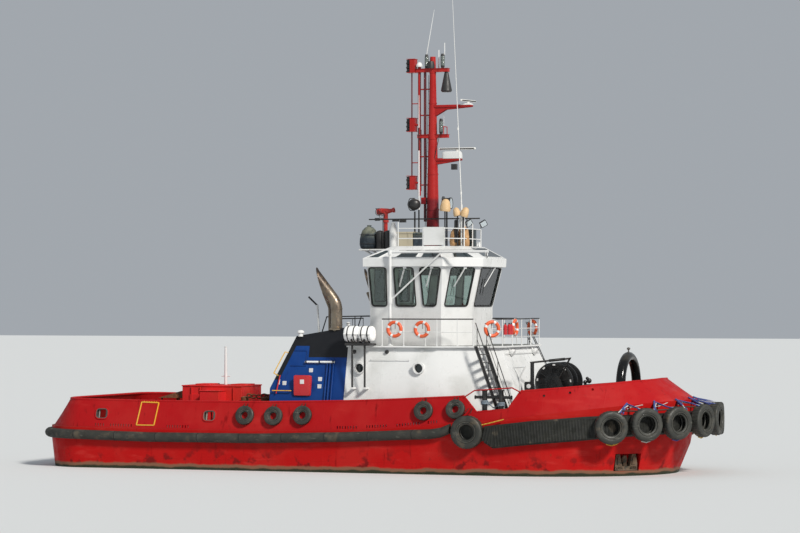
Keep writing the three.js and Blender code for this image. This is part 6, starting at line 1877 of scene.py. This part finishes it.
# Lanterns, a lamp cluster, a black cone, a small dome and the cable ladder.
for lx, y, z, tall, r in (
    (2.45, -0.05, 16.87, 0.62, 0.085), (2.4, -0.12, 14.08, 0.66, 0.08), (2.55, -0.25, 11.15, 0.3, 0.07),
    (1.75, -0.1, 16.87, 0.6, 0.08)
):
    gear.coat = 0
    case = ((0, 0), (0.8 * r, 0), (0.8 * r, 0.06), (r, 0.07), (r, tall - 0.1), (0.7 * r, tall), (0, tall))
    gear.turned(case, (lx, y, z), 16)
    gear.coat = 1
    for low in (0.12, 0.5 * tall):
        pane = ((r, low), (r + 0.006, low + 0.02), (r + 0.006, low + 0.3 * tall), (r, low + 0.32 * tall))
        gear.ring(pane, (lx, y, z), 16)
gear.coat = 0
gear.lathe(((0.07, 16.77), (0.24, 15.92), (0.19, 15.86)), (2.6, 0, 0))
gear.block((2.84, -0.1, 12.58), (3.06, 0.1, 12.82))
for y in (-0.09, 0.09):
    gear.bar(((1.68, y, 10.2), (1.84, y, 16.6)), 0.012, 6)
for k in range(17):
    z = 10.5 + 0.36 * k
    lx = 1.68 + 0.16 * (z - 10.2) / 6.4
    gear.bar(((lx, -0.1, z), (lx, 0.1, z)), 0.009, 5)
for y, r, path in (
    (-0.16, 0.014, ((2.16, 10), (2.1, 13), (2.35, 14.05))),
    (0.17, 0.016, ((1.8, 9.6), (1.92, 14), (1.98, 16.8))), (-0.05, 0.012, ((1.45, 11.9), (1.46, 16.9))),
    (0.06, 0.012, ((1.45, 11.7), (1.45, 14.3)))
):
    gear.bar([(u, y, v) for u, v in path], r, 6)
gear.bar(((1.45, -0.24, ROOF_TOP - 0.01), (1.45, -0.24, 10.9)), 0.034)
gear.coat = 2
gear.bar(((1.45, -0.24, 10.9), (1.45, -0.24, 13.4)), [0.036, 0.03])
gear.bar(((1.45, -0.24, 14.35), (1.45, -0.24, 15.74)), [0.022, 0.016])
gear.bar(((2.5, 0.05, 17.45), (2.5, 0.05, 17.95)), 0.022, 6)
gear.bar(((2.22, 0.1, 16.9), (2.22, 0.1, 17.66)), 0.03, 6)
gear.coat = 0
gear.bar(((1.45, -0.24, 13.38), (1.45, -0.24, 14.37)), 0.022)
gear.coat = 2
for z in (11.95, 14.08):
    gear.bar(((1.45, -0.24, z), (px, 0, z)), 0.02, 6)
for _, rx, z, _, aft, tall, *_ in RADARS:
    gear.skin([
        [((u if u > 0 else u * aft / 0.19) + rx, v, z + h) for u, v in rounded(0.19 - d, 0.17 - d, 0.05)]
        for d, h in ((0, -0.01), (0, tall - 0.03), (0.03, tall))
    ])
    gear.lathe(((0.06, 0), (0.06, 0.03)), (rx, 0, z + tall))
gear.turned(((0, 0), (0.13, 0), (0.14, 0.06), (0.08, 0.18), (0, 0.21)), (1.42, -0.1, 16.95))
gear.coat = 0
gear.lathe(((0.16, 0), (0.16, 0.12), (0.12, 0.3)), (1.95, -0.12, 16.87), 16)
gear.coat = 2
gear.bar(((1.62, 0.1, 16.85), (1.66, 0.1, 17.4), (2.02, 0.1, 19.37)), [0.03, 0.022, 0.009])
gear.bar(((2.45, 0.1, 14.1), (2.45, 0.1, 15)), 0.01, 6)
lantern_glass = (
    Finish("lantern_glass", (0.17, 0.2, 0.19), 0.08).stain(("z", 0.07, 0.02), (0.05, 0.06, 0.055))
    .gloss(6, 0.05, 0.2).bump(("z", 0.035, 0.012), 0.004)
)
gear.done("mast_fittings", [black_coat, lantern_glass, rail_white], "mast_paint")

scanner_coat = (
    Finish("scanner_plastic", (0.74, 0.74, 0.72), 0.3).stain((8, 0.55, 0.8), (0.55, 0.54, 0.5))
    .gloss(6, 0.22, 0.45).bump(5, 0.003)
)
for name, rx, z, _, _, tall, half, turn in RADARS:
    foot = z + tall + 0.0303
    place = Matrix.Translation((rx, 0, foot)) @ Matrix.Rotation(radians(turn), 4, "Z")
    scanner = Piece()
    scanner.lathe(((0.07, 0), (0.07, 0.03), (0.05, 0.05)), place, 24)
    section = circle(0.055, 16, 0.05)
    spans = ((-1, 0.55), (-0.985, 0.9), (-0.95, 1), (0.95, 1), (0.985, 0.9), (1, 0.55))
    scanner.skin([
        [place @ Vector((half * share, y * k, 0.08 + v * k)) for y, v in section] for share, k in spans
    ])
    scanner.coat = 1
    front = stand((0, -0.055, 0.08), (0, -1, 0))
    scanner.plate(rounded(half * 0.93, 0.022, 0.01), place @ front, 0.006)
    scanner.done(
        f"radar_{name}_scanner", [scanner_coat, gasket_coat], "scanner_plastic", f"radar_{name}",
        body=f"radar_{name}"
    )

aerial = Piece()
ax, ay = 3.58, -0.9
aerial.bar(((ax, ay, ROOF_TOP + 0.02), (ax, ay, 11)), 0.04, 12)
aerial.turned(((0, 0), (0.11, 0), (0.11, 0.02), (0, 0.03)), (ax, ay, ROOF_TOP))
aerial.bar(
    ((ax, ay, 10.95), (ax - 0.02, ay, 11.5), (ax - 0.18, ay, 15), (ax - 0.41, ay, 19.9)),
    [0.026, 0.022, 0.015, 0.008], 10
)
for z in (10.98, 11.5, 14.2):
    aerial.turned(((0, 0), (0.038, 0), (0.038, 0.1), (0, 0.11)), (ax - 0.05 * (z - 10.98), ay, z), 12)
aerial.done("tall_whip", [scanner_coat], "rail_paint", "tall_aerial")

# Davit: a slewing steel boom that hangs on a white post at the deck edge, with
# its stay tube, a wire and a hook at the outer end.
davit_x, davit_y = 1.24, -3.2
post = Piece()
post.turned(
    (
        (0, 5.2), (0.13, 5.2), (0.13, 5.23), (0.062, 5.24), (0.062, 6.93), (0.09, 6.93), (0.09, 6.99),
        (0.062, 6.995), (0.062, 8.94), (0.03, 8.95), (0.03, 9.16), (0, 9.165)
    ),
    (davit_x, davit_y, 0), 24
)
post.done("davit_column", [white_coat], "white_paint", "davit_post", 0.003)
boom = Piece()
for low, high, bore in ((6.9903, 7.2, 0.066), (8.96, 9.13, 0.032)):
    boom.ring(((bore, low), (0.095, low), (0.095, high), (bore, high)), (davit_x, davit_y, 0), 28)
boom.bar(((davit_x + 0.07, davit_y, 9.07), (5.5, davit_y, 9.07)), 0.055, 14)
boom.bar(((davit_x + 0.08, davit_y, 7.12), (3.5, davit_y, 9.05)), 0.036, 12)
boom.lathe(((0.06, 0), (0.06, 0.02)), stand((5.5, davit_y, 9.07), (1, 0, 0)))
for dx in (-0.035, 0.035):
    boom.block((5.44 + dx - 0.008, davit_y - 0.06, 8.9), (5.44 + dx + 0.008, davit_y + 0.06, 9.09))
boom.coat = 1
boom.turned(
    ((0, -0.02), (0.055, -0.022), (0.04, 0), (0.055, 0.022), (0, 0.02)),
    stand((5.44, davit_y, 8.95), (1, 0, 0))
)
boom.bar(((5.44, davit_y, 8.92), (5.44, davit_y, 8.87)), 0.018)
hook = [(5.44 + 0.035 * sin(t), davit_y, 8.84 + 0.035 * cos(t)) for t in (k * 0.5 for k in range(9))]
boom.bar(hook, 0.012)
boom.bar(((davit_x + 0.4, davit_y, 9.14), (5.4, davit_y, 9.14), (5.44, davit_y, 9)), 0.007, 6)
boom.done("davit_jib", [white_coat, black_coat], "white_paint", "davit_boom", 0.003, body="davit_boom")

# Helm: a raked console with screens and handles under the front windows, and a
# padded pilot chair on a pedestal behind it.
console_coat = (
    Finish("console_plastic", (0.035, 0.037, 0.04), 0.5).stain((5, 0.4, 0.7), (0.06, 0.062, 0.066))
    .gloss(9, 0.4, 0.65).bump(90, 0.001)
)
helm = Piece()
side_shape = ((3.05, 5.2303), (3.7, 5.2303), (3.7, 6.43), (3.2, 6.37), (2.98, 6.2), (3.05, 6.12))
helm.web(side_shape, -0.9, 0.9)
for y in (-0.62, -0.2, 0.2, 0.62):
    helm.coat = 1
    helm.plate(rounded(0.17, 0.1, 0.02), stand((3.1, y, 6.3), (-0.6, 0, 0.8), (0, 1, 0)), 0.006)
    helm.plate(rounded(0.18, 0.13, 0.02), stand((3.46, y, 6.52), (-0.95, 0, 0.3), (0, 1, 0)), 0.02)
    helm.coat = 0
    helm.block((3.44, y - 0.02, 6.36), (3.5, y + 0.02, 6.5))
for y in (-0.42, 0.42):
    helm.turned(
        ((0, 0), (0.06, 0), (0.06, 0.02), (0.015, 0.03), (0.015, 0.12), (0.035, 0.14), (0, 0.17)),
        stand((3.08, y, 6.27), (-0.3, 0, 0.95)), 16
    )
helm.done("helm_desk", [console_coat, glass_dark_coat], "console_plastic", "helm_console", 0.012)

fabric = (
    Finish("chair_fabric", (0.03, 0.032, 0.038), 0.9).stain((9, 0.4, 0.7), (0.055, 0.058, 0.066))
    .bump(("y", 0.095, 0.01), 0.006)
)
fabric.bump(fabric.seam(fabric.sum("ADD", "x", "z"), 0.012, 0.004), 0.001)
chair = Piece()
pedestal = ((0, 5.2303), (0.3, 5.2303), (0.3, 5.26), (0.07, 5.29), (0.06, 6.04), (0, 6.04))
chair.turned(pedestal, (2.3, 0, 0), 24)
chair.block((2.1, -0.24, 6.03), (2.52, 0.24, 6.06))
chair.bar(((2.1, 0, 6.05), (2, 0, 6.1), (1.9, 0, 6.9)), 0.03)
for y in (-0.33, 0.33):
    chair.bar(((2.1, y, 6.08), (2.1, y, 6.32), (2.42, y, 6.34)), 0.025)
    chair.bar(((2.1, 0, 6.05), (2.1, y, 6.08)), 0.025)
chair.done("pilot_chair_frame", [console_coat], "console_plastic", "helm_chair", 0.004)


def cushion(name, place, half_u, half_v, thick):
    """A crowned pad whose sides pull in between its corners, with a sewn edge."""
    pad = Piece()
    outline = []
    for k in range(40):
        turn = 2 * pi * k / 40
        pull = 1 - 0.05 * cos(2 * turn) ** 2
        u, v = (math.copysign(abs(side) ** 0.4, side) * pull for side in (cos(turn), sin(turn)))
        outline.append((half_u * u, half_v * v))
    shares = (
        (0.5, -0.44), (0.86, -0.42), (0.97, -0.25), (1, 0), (0.97, 0.28), (0.86, 0.44), (0.5, 0.55),
        (0.1, 0.58)
    )
    pad.skin([[place @ Vector((u * s, v * s, thick * h)) for u, v in outline] for s, h in shares])
    pad.hoop(lay(place, outline), 0.005, 6)
    pad.done(name, [fabric], "chair_fabric", crease=70)


cushion("chair_seat_pad", stand((2.31, 0, 6.12)), 0.275, 0.285, 0.13)
for name, x, z, half_u, half_v in (("back", 2.03, 6.41, 0.26, 0.25), ("head", 1.975, 6.83, 0.2, 0.125)):
    cushion(f"chair_{name}_pad", stand((x, 0, z), (1, 0, 0.13), (0, 1, 0)), half_u, half_v, 0.12)
for name, y in (("starboard", -0.33), ("port", 0.33)):
    cushion(f"chair_{name}_arm_pad", stand((2.27, y, 6.39)), 0.2, 0.045, 0.06)

# Towing winch: a drum of blue-grey hawser between glossy black discs, on plated
# side frames, with a gear case and motor to port and a rope guide to starboard.
WINCH = {"x": 7.555, "z": 3.685, "drum": 0.43, "flange": 0.82, "half": 0.7, "shaft": 0.11, "side": 0.86}
GUIDE = {"x": 7.11, "y": -2.3, "top": 4.56}
GUIDE_END = (8.3, -0.905, 4.675)
RIM_MARKS = (-82, -37, 0, 40, 85, 140, 200)  # degrees from the top of the disc
COILS, ROPE = 10, 0.036

deck_black = painted_steel("deck_black", (0.01, 0.011, 0.012), (0.024, 0.023, 0.022), rough=0.26, rust=0.6)
hawser = Finish("hawser", (0.16, 0.21, 0.27), 0.9).stain((30, 0.4, 0.7), (0.28, 0.31, 0.32))
hawser.bump(hawser.seam(hawser.sum("ADD", "x", "z"), 0.03, 0.012), 0.006)
wx, wz, core, flange_r, wide, shaft_r, side_y = WINCH.values()
base = read_off(DECK_EDGE, wx) - 0.02
frames = Piece()
cheek = ((wx - 0.43, base), (wx + 0.8, base), (wx + 0.26, wz + 0.22), (wx - 0.26, wz + 0.22))
for way in (-1, 1):
    for out in (0, 0.065):
        frames.skin([[(x, way * (side_y + out + w), z) for x, z in cheek] for w in (0, 0.025)])
    for (x0, z0), (x1, z1) in zip(cheek[1:], cheek[2:] + cheek[:1]):
        frames.bar(((x0, way * (side_y + 0.045), z0), (x1, way * (side_y + 0.045), z1)), 0.045, 4)
bearing = ((shaft_r + 0.003, -0.01), (0.2, -0.01), (0.2, 0.12), (shaft_r + 0.003, 0.12))
frames.ring(bearing, stand((wx, -side_y, wz), (0, -1, 0)), 28)
for x0, x1 in ((wx - 0.42, wx - 0.26), (wx + 0.54, wx + 0.74)):
    frames.block((x0, -side_y, base), (x1, side_y, 2.6))
y0, top = side_y + 0.09, wz + 0.1
case = rounded(0.42, (top - base) / 2, 0.14)
frames.skin([[(wx + 0.07 + u, y, (base + top) / 2 + v) for u, v in case] for y in (y0, y0 + 0.38)])
motor = stand((wx + 0.05, y0, wz - 0.45), (0, 1, 0))
frames.turned(((0, 0.38), (0.24, 0.38), (0.24, 0.46), (0.2, 0.48), (0.2, 0.78), (0, 0.8)), motor, 28)
for k in range(6):
    fin = ((0.2, 0.5 + k * 0.04), (0.225, 0.51 + k * 0.04), (0.2, 0.52 + k * 0.04))
    frames.ring(fin, motor, 28)
for x in (wx - 0.22, wx + 0.05, wx + 0.32):
    pipe = (
        (x, y0 + 0.2, top - 0.03), (x, y0 + 0.2, top + 0.02), (x, y0 + 0.5, top + 0.01), (x, y0 + 0.5, 2.6)
    )
    frames.bar(soft_corners(pipe, 0.02), 0.02)
# The guide's pillar, its link to the frame, its bar and a lump of valve gear.
gx, gy, gtop = GUIDE.values()
frames.lathe(
    (
        (0.14, base), (0.14, base + 0.05), (0.08, base + 0.07), (0.08, gtop - 0.05), (0.095, gtop - 0.04),
        (0.095, gtop)
    ),
    (gx, gy, 0)
)
frames.block((gx - 0.04, gy, base), (gx + 0.06, -side_y, 2.56))
frames.bar(((gx, gy, gtop - 0.03), GUIDE_END, (wx + 0.2, GUIDE_END[1], wz)), 0.04, 10)
start, end = Vector((gx, gy, gtop - 0.03)), Vector(GUIDE_END)
frames.bar((start.lerp(end, 0.45), start.lerp(end, 0.86)), 0.06, 10)
frames.skin([
    [(gx - 0.15 + u, y, 3.56 + v) for u, v in rounded(0.16, 0.18, 0.07)] for y in (gy - 0.1, gy + 0.1)
])
frames.bar(((gx - 0.12, gy, 3.4), (gx - 0.12, gy, 2.62), (gx, gy, 2.56)), 0.03)
# Hoses and valves on the bed forward of the drum.
frames.block((wx + 0.5, -0.95, base), (9.18, -0.86, 2.7))
frames.block((8.9, -0.95, base), (9.18, -0.7, 3.62))
for x, z, r in ((8.93, 3.7, 0.09), (9.1, 3.76, 0.11), (9.02, 3.86, 0.07)):
    frames.turned([(r * sin(t), -r * cos(t)) for t in (k * pi / 6 for k in range(7))], (x, -0.83, z), 12)
frames.coat = 1
frames.turned(((0, 0), (0.09, 0), (0.09, 0.02), (0, 0.03)), stand((gx - 0.12, gy - 0.1, 3.56), (0, -1, 0)))
frames.done("winch_frame_steel", [deck_black, rail_white], "deck_gear_paint", "winch_frame", 0.008)

drum = Piece()
axis = stand((wx, 0, wz), (0, 1, 0))
for radius, half in ((shaft_r, side_y + 0.06), (core - 0.06, wide)):
    drum.lathe(((radius, -half), (radius, half)), axis, 32)
disc = [(0, -0.03), (flange_r - 0.03, -0.03), (flange_r, -0.02), (flange_r, 0.02), (flange_r - 0.03, 0.03)]
dish = [(flange_r - 0.12, 0.03), (flange_r - 0.15, 0.012), (0.3, 0.012), (0.26, 0.06), (0, 0.06)]
for y in (-wide, 0, wide):
    face = stand((wx, y, wz), (0, -1, 0) if y < 0 else (0, 1, 0))
    drum.turned(disc + (dish if y else [(0, 0.03)]), face, 64)
for way in (-1, 1):
    for k in range(8):
        t = k * pi / 4 + 0.2
        a, b = (
            Vector((wx + r * cos(t), way * (wide + 0.022), wz + r * sin(t))) for r in (0.24, flange_r - 0.14)
        )
        drum.bar((a, b), 0.022, 4)
drum.coat = 1
for start, end in ((-wide + 0.03, -0.03), (0.03, wide - 0.03)):
    pitch = (end - start) / COILS
    for wrap, reach in enumerate((core - 0.02, core + 0.045)):
        steps = (COILS - wrap) * 20
        line = []
        for k in range(steps + 1):
            t = k * pi / 10
            y = start + pitch * (0.5 + wrap * 0.5 + (COILS - 1 - wrap) * k / steps)
            line.append(axis @ Vector((reach * cos(t), reach * sin(t), y)))
        drum.bar(line, ROPE, 6)
drum.coat = 2
for way in (-1, 1):
    for degrees in RIM_MARKS:
        turn = radians(degrees)
        up = Vector((sin(turn), 0, cos(turn)))
        mark = stand(Vector((wx, way * (wide + 0.029), wz)) + up * 0.72, (0, way, 0), up)
        drum.plate(rounded(0.03, 0.055, 0.01), mark, 0.006)
drum.done(
    "winch_drum_rope", [deck_black, hawser, rail_white], "deck_gear_paint", "winch_drum", body="winch_drum"
)

# Towing staple: an arch of thick bent tube, welded to a plated foot and webs.
# Its black paint is worn where the line runs.
STAPLE = {"x": 10.55, "half": 1.2, "spring": 3.55, "radius": 0.2}

staple_paint = painted_steel(
    "staple_paint", (0.012, 0.013, 0.014), (0.028, 0.026, 0.022), rough=0.16, rust=0.2, metal=0.5
)
worn = staple_paint.sum("MULTIPLY", staple_paint.between("z", 4.55, 4.75), (2.5, 0.3, 0.6))
staple_paint.stain(worn, (0.06, 0.055, 0.045))
sx, half, spring, thick = STAPLE.values()
foot = read_off(DECK_EDGE, sx)
staple = Piece()
arch = [(sx, -half * cos(k * pi / 20), spring + half * sin(k * pi / 20)) for k in range(21)]
staple.bar(((sx, -half, 2.6), *arch, (sx, half, 2.6)), thick - 0.003, 28)
staple.block((sx - 0.42, -half - 0.33, foot - 0.03), (sx + 0.42, half + 0.33, foot + 0.05))
for way in (-1, 1):
    for dx in (-1, 1):
        web = ((0.16, foot + 0.03), (0.4, foot + 0.03), (0.16, foot + 0.55))
        staple.skin([[(sx + dx * u, way * half + w, z) for u, z in web] for w in (-0.012, 0.012)])
staple.bar(((sx, -half, 3), (sx, half, 3)), 0.09, 16)
staple.coat = 1
knob = ((0, 0), (0.05, 0), (0.03, 0.03), (0.03, 0.1), (0.07, 0.12), (0.07, 0.18), (0, 0.21))
staple.turned(knob, (sx, 0, spring + half + thick - 0.02), 16)
staple.done("towing_staple_arch", [staple_paint, worn_steel], "deck_gear_paint", "towing_staple", 0.006)

# Bitts: paired posts by each gate and an H-shaped post aft, cast caps on welded
# tube, with turns of old rope left on the side ones.
bitts = Piece()
for x in (5.7, 6.4):
    bitts.turned(
        ((0, 2), (0.105, 2), (0.105, 3.4), (0.135, 3.41), (0.135, 3.45), (0.12, 3.46), (0, 3.465)),
        (x, -4.23, 0), 28
    )
bitts.bar(((5.3, -4.23, 3.15), (6.85, -4.23, 3.15)), 0.06, 16)
for x in (5.3, 6.85):
    bitts.lathe(((0.085, -0.012), (0.085, 0.012)), stand((x, -4.23, 3.15), (1, 0, 0)))
bitts.coat = 1
for x, z in ((5.7, 2.85), (6.4, 2.78)):
    coil = [
        (x + 0.135 * cos(t), -4.23 + 0.135 * sin(t), z + 0.0085 * t) for t in (k * pi / 8 for k in range(49))
    ]
    bitts.bar(coil, 0.026)
bitts.bar(soft_corners(((5.83, -4.23, 2.95), (6.05, -4.1, 2.7), (6.28, -4.23, 2.82)), 0.1), 0.026)
# A light triangular frame on a pole stands inside each gate.
bitts.coat = 2
bitts.hoop(((6.66, -3.3, 4.34), (7.12, -3.3, 4.37), (6.88, -3.3, 3.9)), 0.032)
bitts.bar(((6.89, -3.3, 3.92), (6.95, -3.3, 2.25)), 0.03)
bitts.both_sides()
bitts.done("side_bitts", [deck_black, hawser, rail_white], "deck_gear_paint", "bitts_starboard bitts_port")
aft_bitt = Piece()
for y in (-0.62, 0.62):
    aft_bitt.turned(
        (
            (0, 1.66), (0.26, 1.66), (0.26, 1.7), (0.17, 1.72), (0.17, 2.56), (0.21, 2.57), (0.2, 2.62),
            (0, 2.63)
        ),
        (-10.7, y, 0), 28
    )
aft_bitt.bar(((-10.7, -0.95, 2.25), (-10.7, 0.95, 2.25)), 0.12, 20)
aft_bitt.done("aft_towing_bitt", [deck_black], "deck_gear_paint", "aft_bitt", 0.006)

# Aft locker: a red plated locker with hatches, a stores box, a grating ramp and
# a white flag staff, and rusty chain gear on a low box ahead of it.
locker_coat = painted_steel(
    "locker_paint", (0.64, 0.022, 0.024), (0.56, 0.03, 0.022), rough=0.5, rust=0.5, Specular_IOR_Level=0.15
)
rusty_coat = (
    Finish("rusty_iron", (0.14, 0.05, 0.022), 0.85).stain((9, 0.4, 0.7, 8), (0.25, 0.1, 0.04))
    .stain((4, 0.5, 0.7), (0.07, 0.035, 0.022)).bump(30, 0.004)
)
locker = Piece()
locker.block((-8.9, -1.5, 1.62), (-6.15, 0.7, 3.38))
locker.block((-8.93, -1.53, 3.38), (-6.12, 0.73, 3.43))
locker.block((-7.74, -2.3, 1.62), (-6.87, -1.49, 3.2))
locker.block((-7.77, -2.33, 3.2), (-6.84, -1.5, 3.24))
for x in (-8.2, -6.55):
    locker.plate(rounded(0.36, 0.55, 0.08), stand((x, -0.4, 3.43), (0, 0, 1)), 0.05)
for x in (-8.45, -8.05, -6.5):
    locker.bar(((x, -1.535, 1.7), (x, -1.535, 3.36)), 0.03, 4)
locker.plate(rounded(0.3, 0.55, 0.05), stand((-8.25, -1.5, 2.5), (0, -1, 0), (1, 0, 0)), 0.04)
locker.coat = 1
wedge = ((-10.15, 2.86), (-8.93, 2.86), (-8.93, 3.2))
locker.web(wedge, -1.3, 0.5)
for x in (-10, -9.2):
    for y in (-1.2, 0.4):
        locker.bar(((x, y, 1.65), (x, y, 2.9)), 0.04)
# Chain links and two castings lie on the low box ahead of the locker.
for k in range(9):
    at = stand(
        (-5.6 + 0.21 * k, -1.9 - 0.1 * sin(k * 1.7), 3.02 - 0.02 * (k % 3)),
        (0.2, (-1) ** k, 0.3 * (-1) ** k)
    )
    locker.hoop(lay(at, circle(0.13, 14, 0.08)), 0.03)
for x, y, r in ((-5.9, -1.7, 0.2), (-4.9, -1.8, 0.24)):
    locker.turned(((0, 2.55), (r, 2.55), (r * 0.75, 2.75), (r * 0.9, 2.95), (0, 3)), (x, y, 0), 16)
locker.block((-6.1, -2.2, 1.66), (-3.9, -1.4, 2.58))
locker.coat = 2
locker.bar(((-7.39, -0.3, 3.43), (-7.39, -0.3, 5.06)), [0.07, 0.055], 12)
locker.turned(((0, 0), (0.06, 0), (0.07, 0.02), (0, 0.05)), (-7.39, -0.3, 5.05), 16)
locker.bar(((-7.6, -0.3, 3.8), (-7.18, -0.3, 3.8)), 0.02)
locker.done("aft_locker_steel", [locker_coat, rusty_coat, rail_white], "locker_paint", "aft_locker", 0.008)

# Anchors: rusty cast stockless anchors, hauled up into the pockets in the bow
# plating.
anchors = Piece()
place = pocket_frame(1)
back = POCKET["deep"] - 0.002


def in_pocket(points, thick):
    return [[place @ Vector((u, back - 0.01 - w, v)) for u, v in points] for w in (0, thick)]


anchors.skin(in_pocket([(u, v - 0.25) for u, v in rounded(0.5, 0.09, 0.06)], 0.3))
for way in (-1, 1):
    fluke = ((0.13, -0.3), (0.5, -0.32), (0.5, -0.05), (0.44, 0.32), (0.27, 0.33), (0.2, 0))
    anchors.skin(in_pocket([(way * u, v) for u, v in fluke], 0.3))
    anchors.skin(
        in_pocket([(way * u, v) for u, v in ((0.24, -0.1), (0.4, -0.1), (0.37, 0.24), (0.31, 0.24))], 0.34)
    )
anchors.skin(in_pocket(((-0.09, -0.3), (0.09, -0.3), (0.07, 0.26), (-0.07, 0.26)), 0.2))
ring = [
    place @ Vector((0.1 * cos(t), back - 0.14, 0.1 + 0.13 * sin(t))) for t in (k * pi / 9 for k in range(18))
]
anchors.hoop(ring, 0.035)
anchors.both_sides()
anchor_iron = painted_steel("anchor_iron", (0.085, 0.058, 0.04), (0.14, 0.09, 0.055), rough=0.8, rust=0.8)
anchor_iron.stain((6, 0.5, 0.62, 8), (0.045, 0.04, 0.03))
anchors.done("bow_anchors", [anchor_iron], "anchor_iron", "anchor_starboard anchor_port", 0.01)

# Thrusters: steerable legs under the stern, each with a nozzle ring that the
# propeller turns in, under worn antifouling paint.
LEG_X, LEG_Y, AXIS = -10.3, -2.4, -3.15
PROP_X, PROP_HUB, PROP_RADIUS, BLADES = -0.6, 0.23, 1, 4

antifoul_coat = painted_steel("antifoul_paint", (0.2, 0.025, 0.02), (0.26, 0.06, 0.045), rough=0.6, rust=0.5)
antifoul_coat.stain((5, 0.55, 0.7, 8), (0.07, 0.08, 0.045))
bronze_coat = (
    Finish("bronze", (0.42, 0.27, 0.11), 0.32, 0.9).stain((4, 0.45, 0.7, 6), (0.2, 0.17, 0.09))
    .gloss(7, 0.22, 0.5).bump(25, 0.002)
)
for name, side in (("starboard", 1), ("port", -1)):
    y0 = LEG_Y * side
    shaft = stand((LEG_X, y0, AXIS), (1, 0, 0))
    leg = Piece()
    leg.lathe(((0.56, -1.7603), (0.56, -1.84), (0.36, -1.87)), (LEG_X, y0, 0), 36)
    outline = circle(1, 28, 0.62)
    leg.skin([
        [(LEG_X + r * u, y0 + r * v, z) for u, v in outline]
        for r, z in ((0.34, -1.85), (0.29, -2.4), (0.25, AXIS + 0.1))
    ])
    leg.turned(
        ((0, -0.33), (0.28, -0.33), (0.325, -0.2), (0.325, 0.45), (0.27, 0.68), (0.15, 0.86), (0, 0.9)),
        shaft, 32
    )
    leg.ring(
        (
            (1.09, -1), (1.17, -1), (1.2, -0.6), (1.23, -0.3), (1.225, -0.22), (1.19, -0.2), (1.14, -0.24),
            (1.09, -0.45)
        ),
        shaft, 56
    )
    for k in range(3):
        t = 2 * pi * k / 3 + pi / 2
        a, b = (Vector((LEG_X - 0.26, y0 + r * cos(t), AXIS + r * sin(t))) for r in (0.2, 1.12))
        leg.bar((a, b), 0.055)
    leg.coat = 1
    for u, v in circle(1.21, 6):
        y, z = y0 + u, AXIS + v
        leg.block((LEG_X - 0.72, y - 0.03, z - 0.03), (LEG_X - 0.5, y + 0.03, z + 0.03))
    leg.done(
        f"thruster_{name}_leg", [antifoul_coat, worn_steel], "thruster_paint", f"thruster_{name}", 0.004,
        body=f"thruster_{name}"
    )
    screw = Piece()
    screw.turned(
        ((0, -0.96), (0.07, -0.955), (0.16, -0.88), (PROP_HUB, -0.79), (PROP_HUB, -0.3303), (0, -0.3303)),
        shaft, 32
    )
    for k in range(BLADES):
        root = Matrix.Translation((LEG_X + PROP_X, y0, AXIS)) @ Matrix.Rotation(
            2 * pi * k / BLADES + pi / 4, 4, "X"
        )
        sections = []
        for step in range(9):
            share = step / 8
            reach = 0.2 + (PROP_RADIUS - 0.2) * share
            half = 0.235 * (0.62 + 0.9 * share - 1.15 * share ** 3)
            turn = radians(-62)
            section = circle(half, 12, 0.026 * (1 - 0.6 * share))
            blade = [(u * cos(turn) - v * sin(turn), u * sin(turn) + v * cos(turn)) for v, u in section]
            sections.append(lay(root, blade, reach))
        screw.skin(sections)
    screw.done(
        f"propeller_{name}_screw", [bronze_coat], "propeller_bronze", f"propeller_{name}",
        body=f"propeller_{name}"
    )
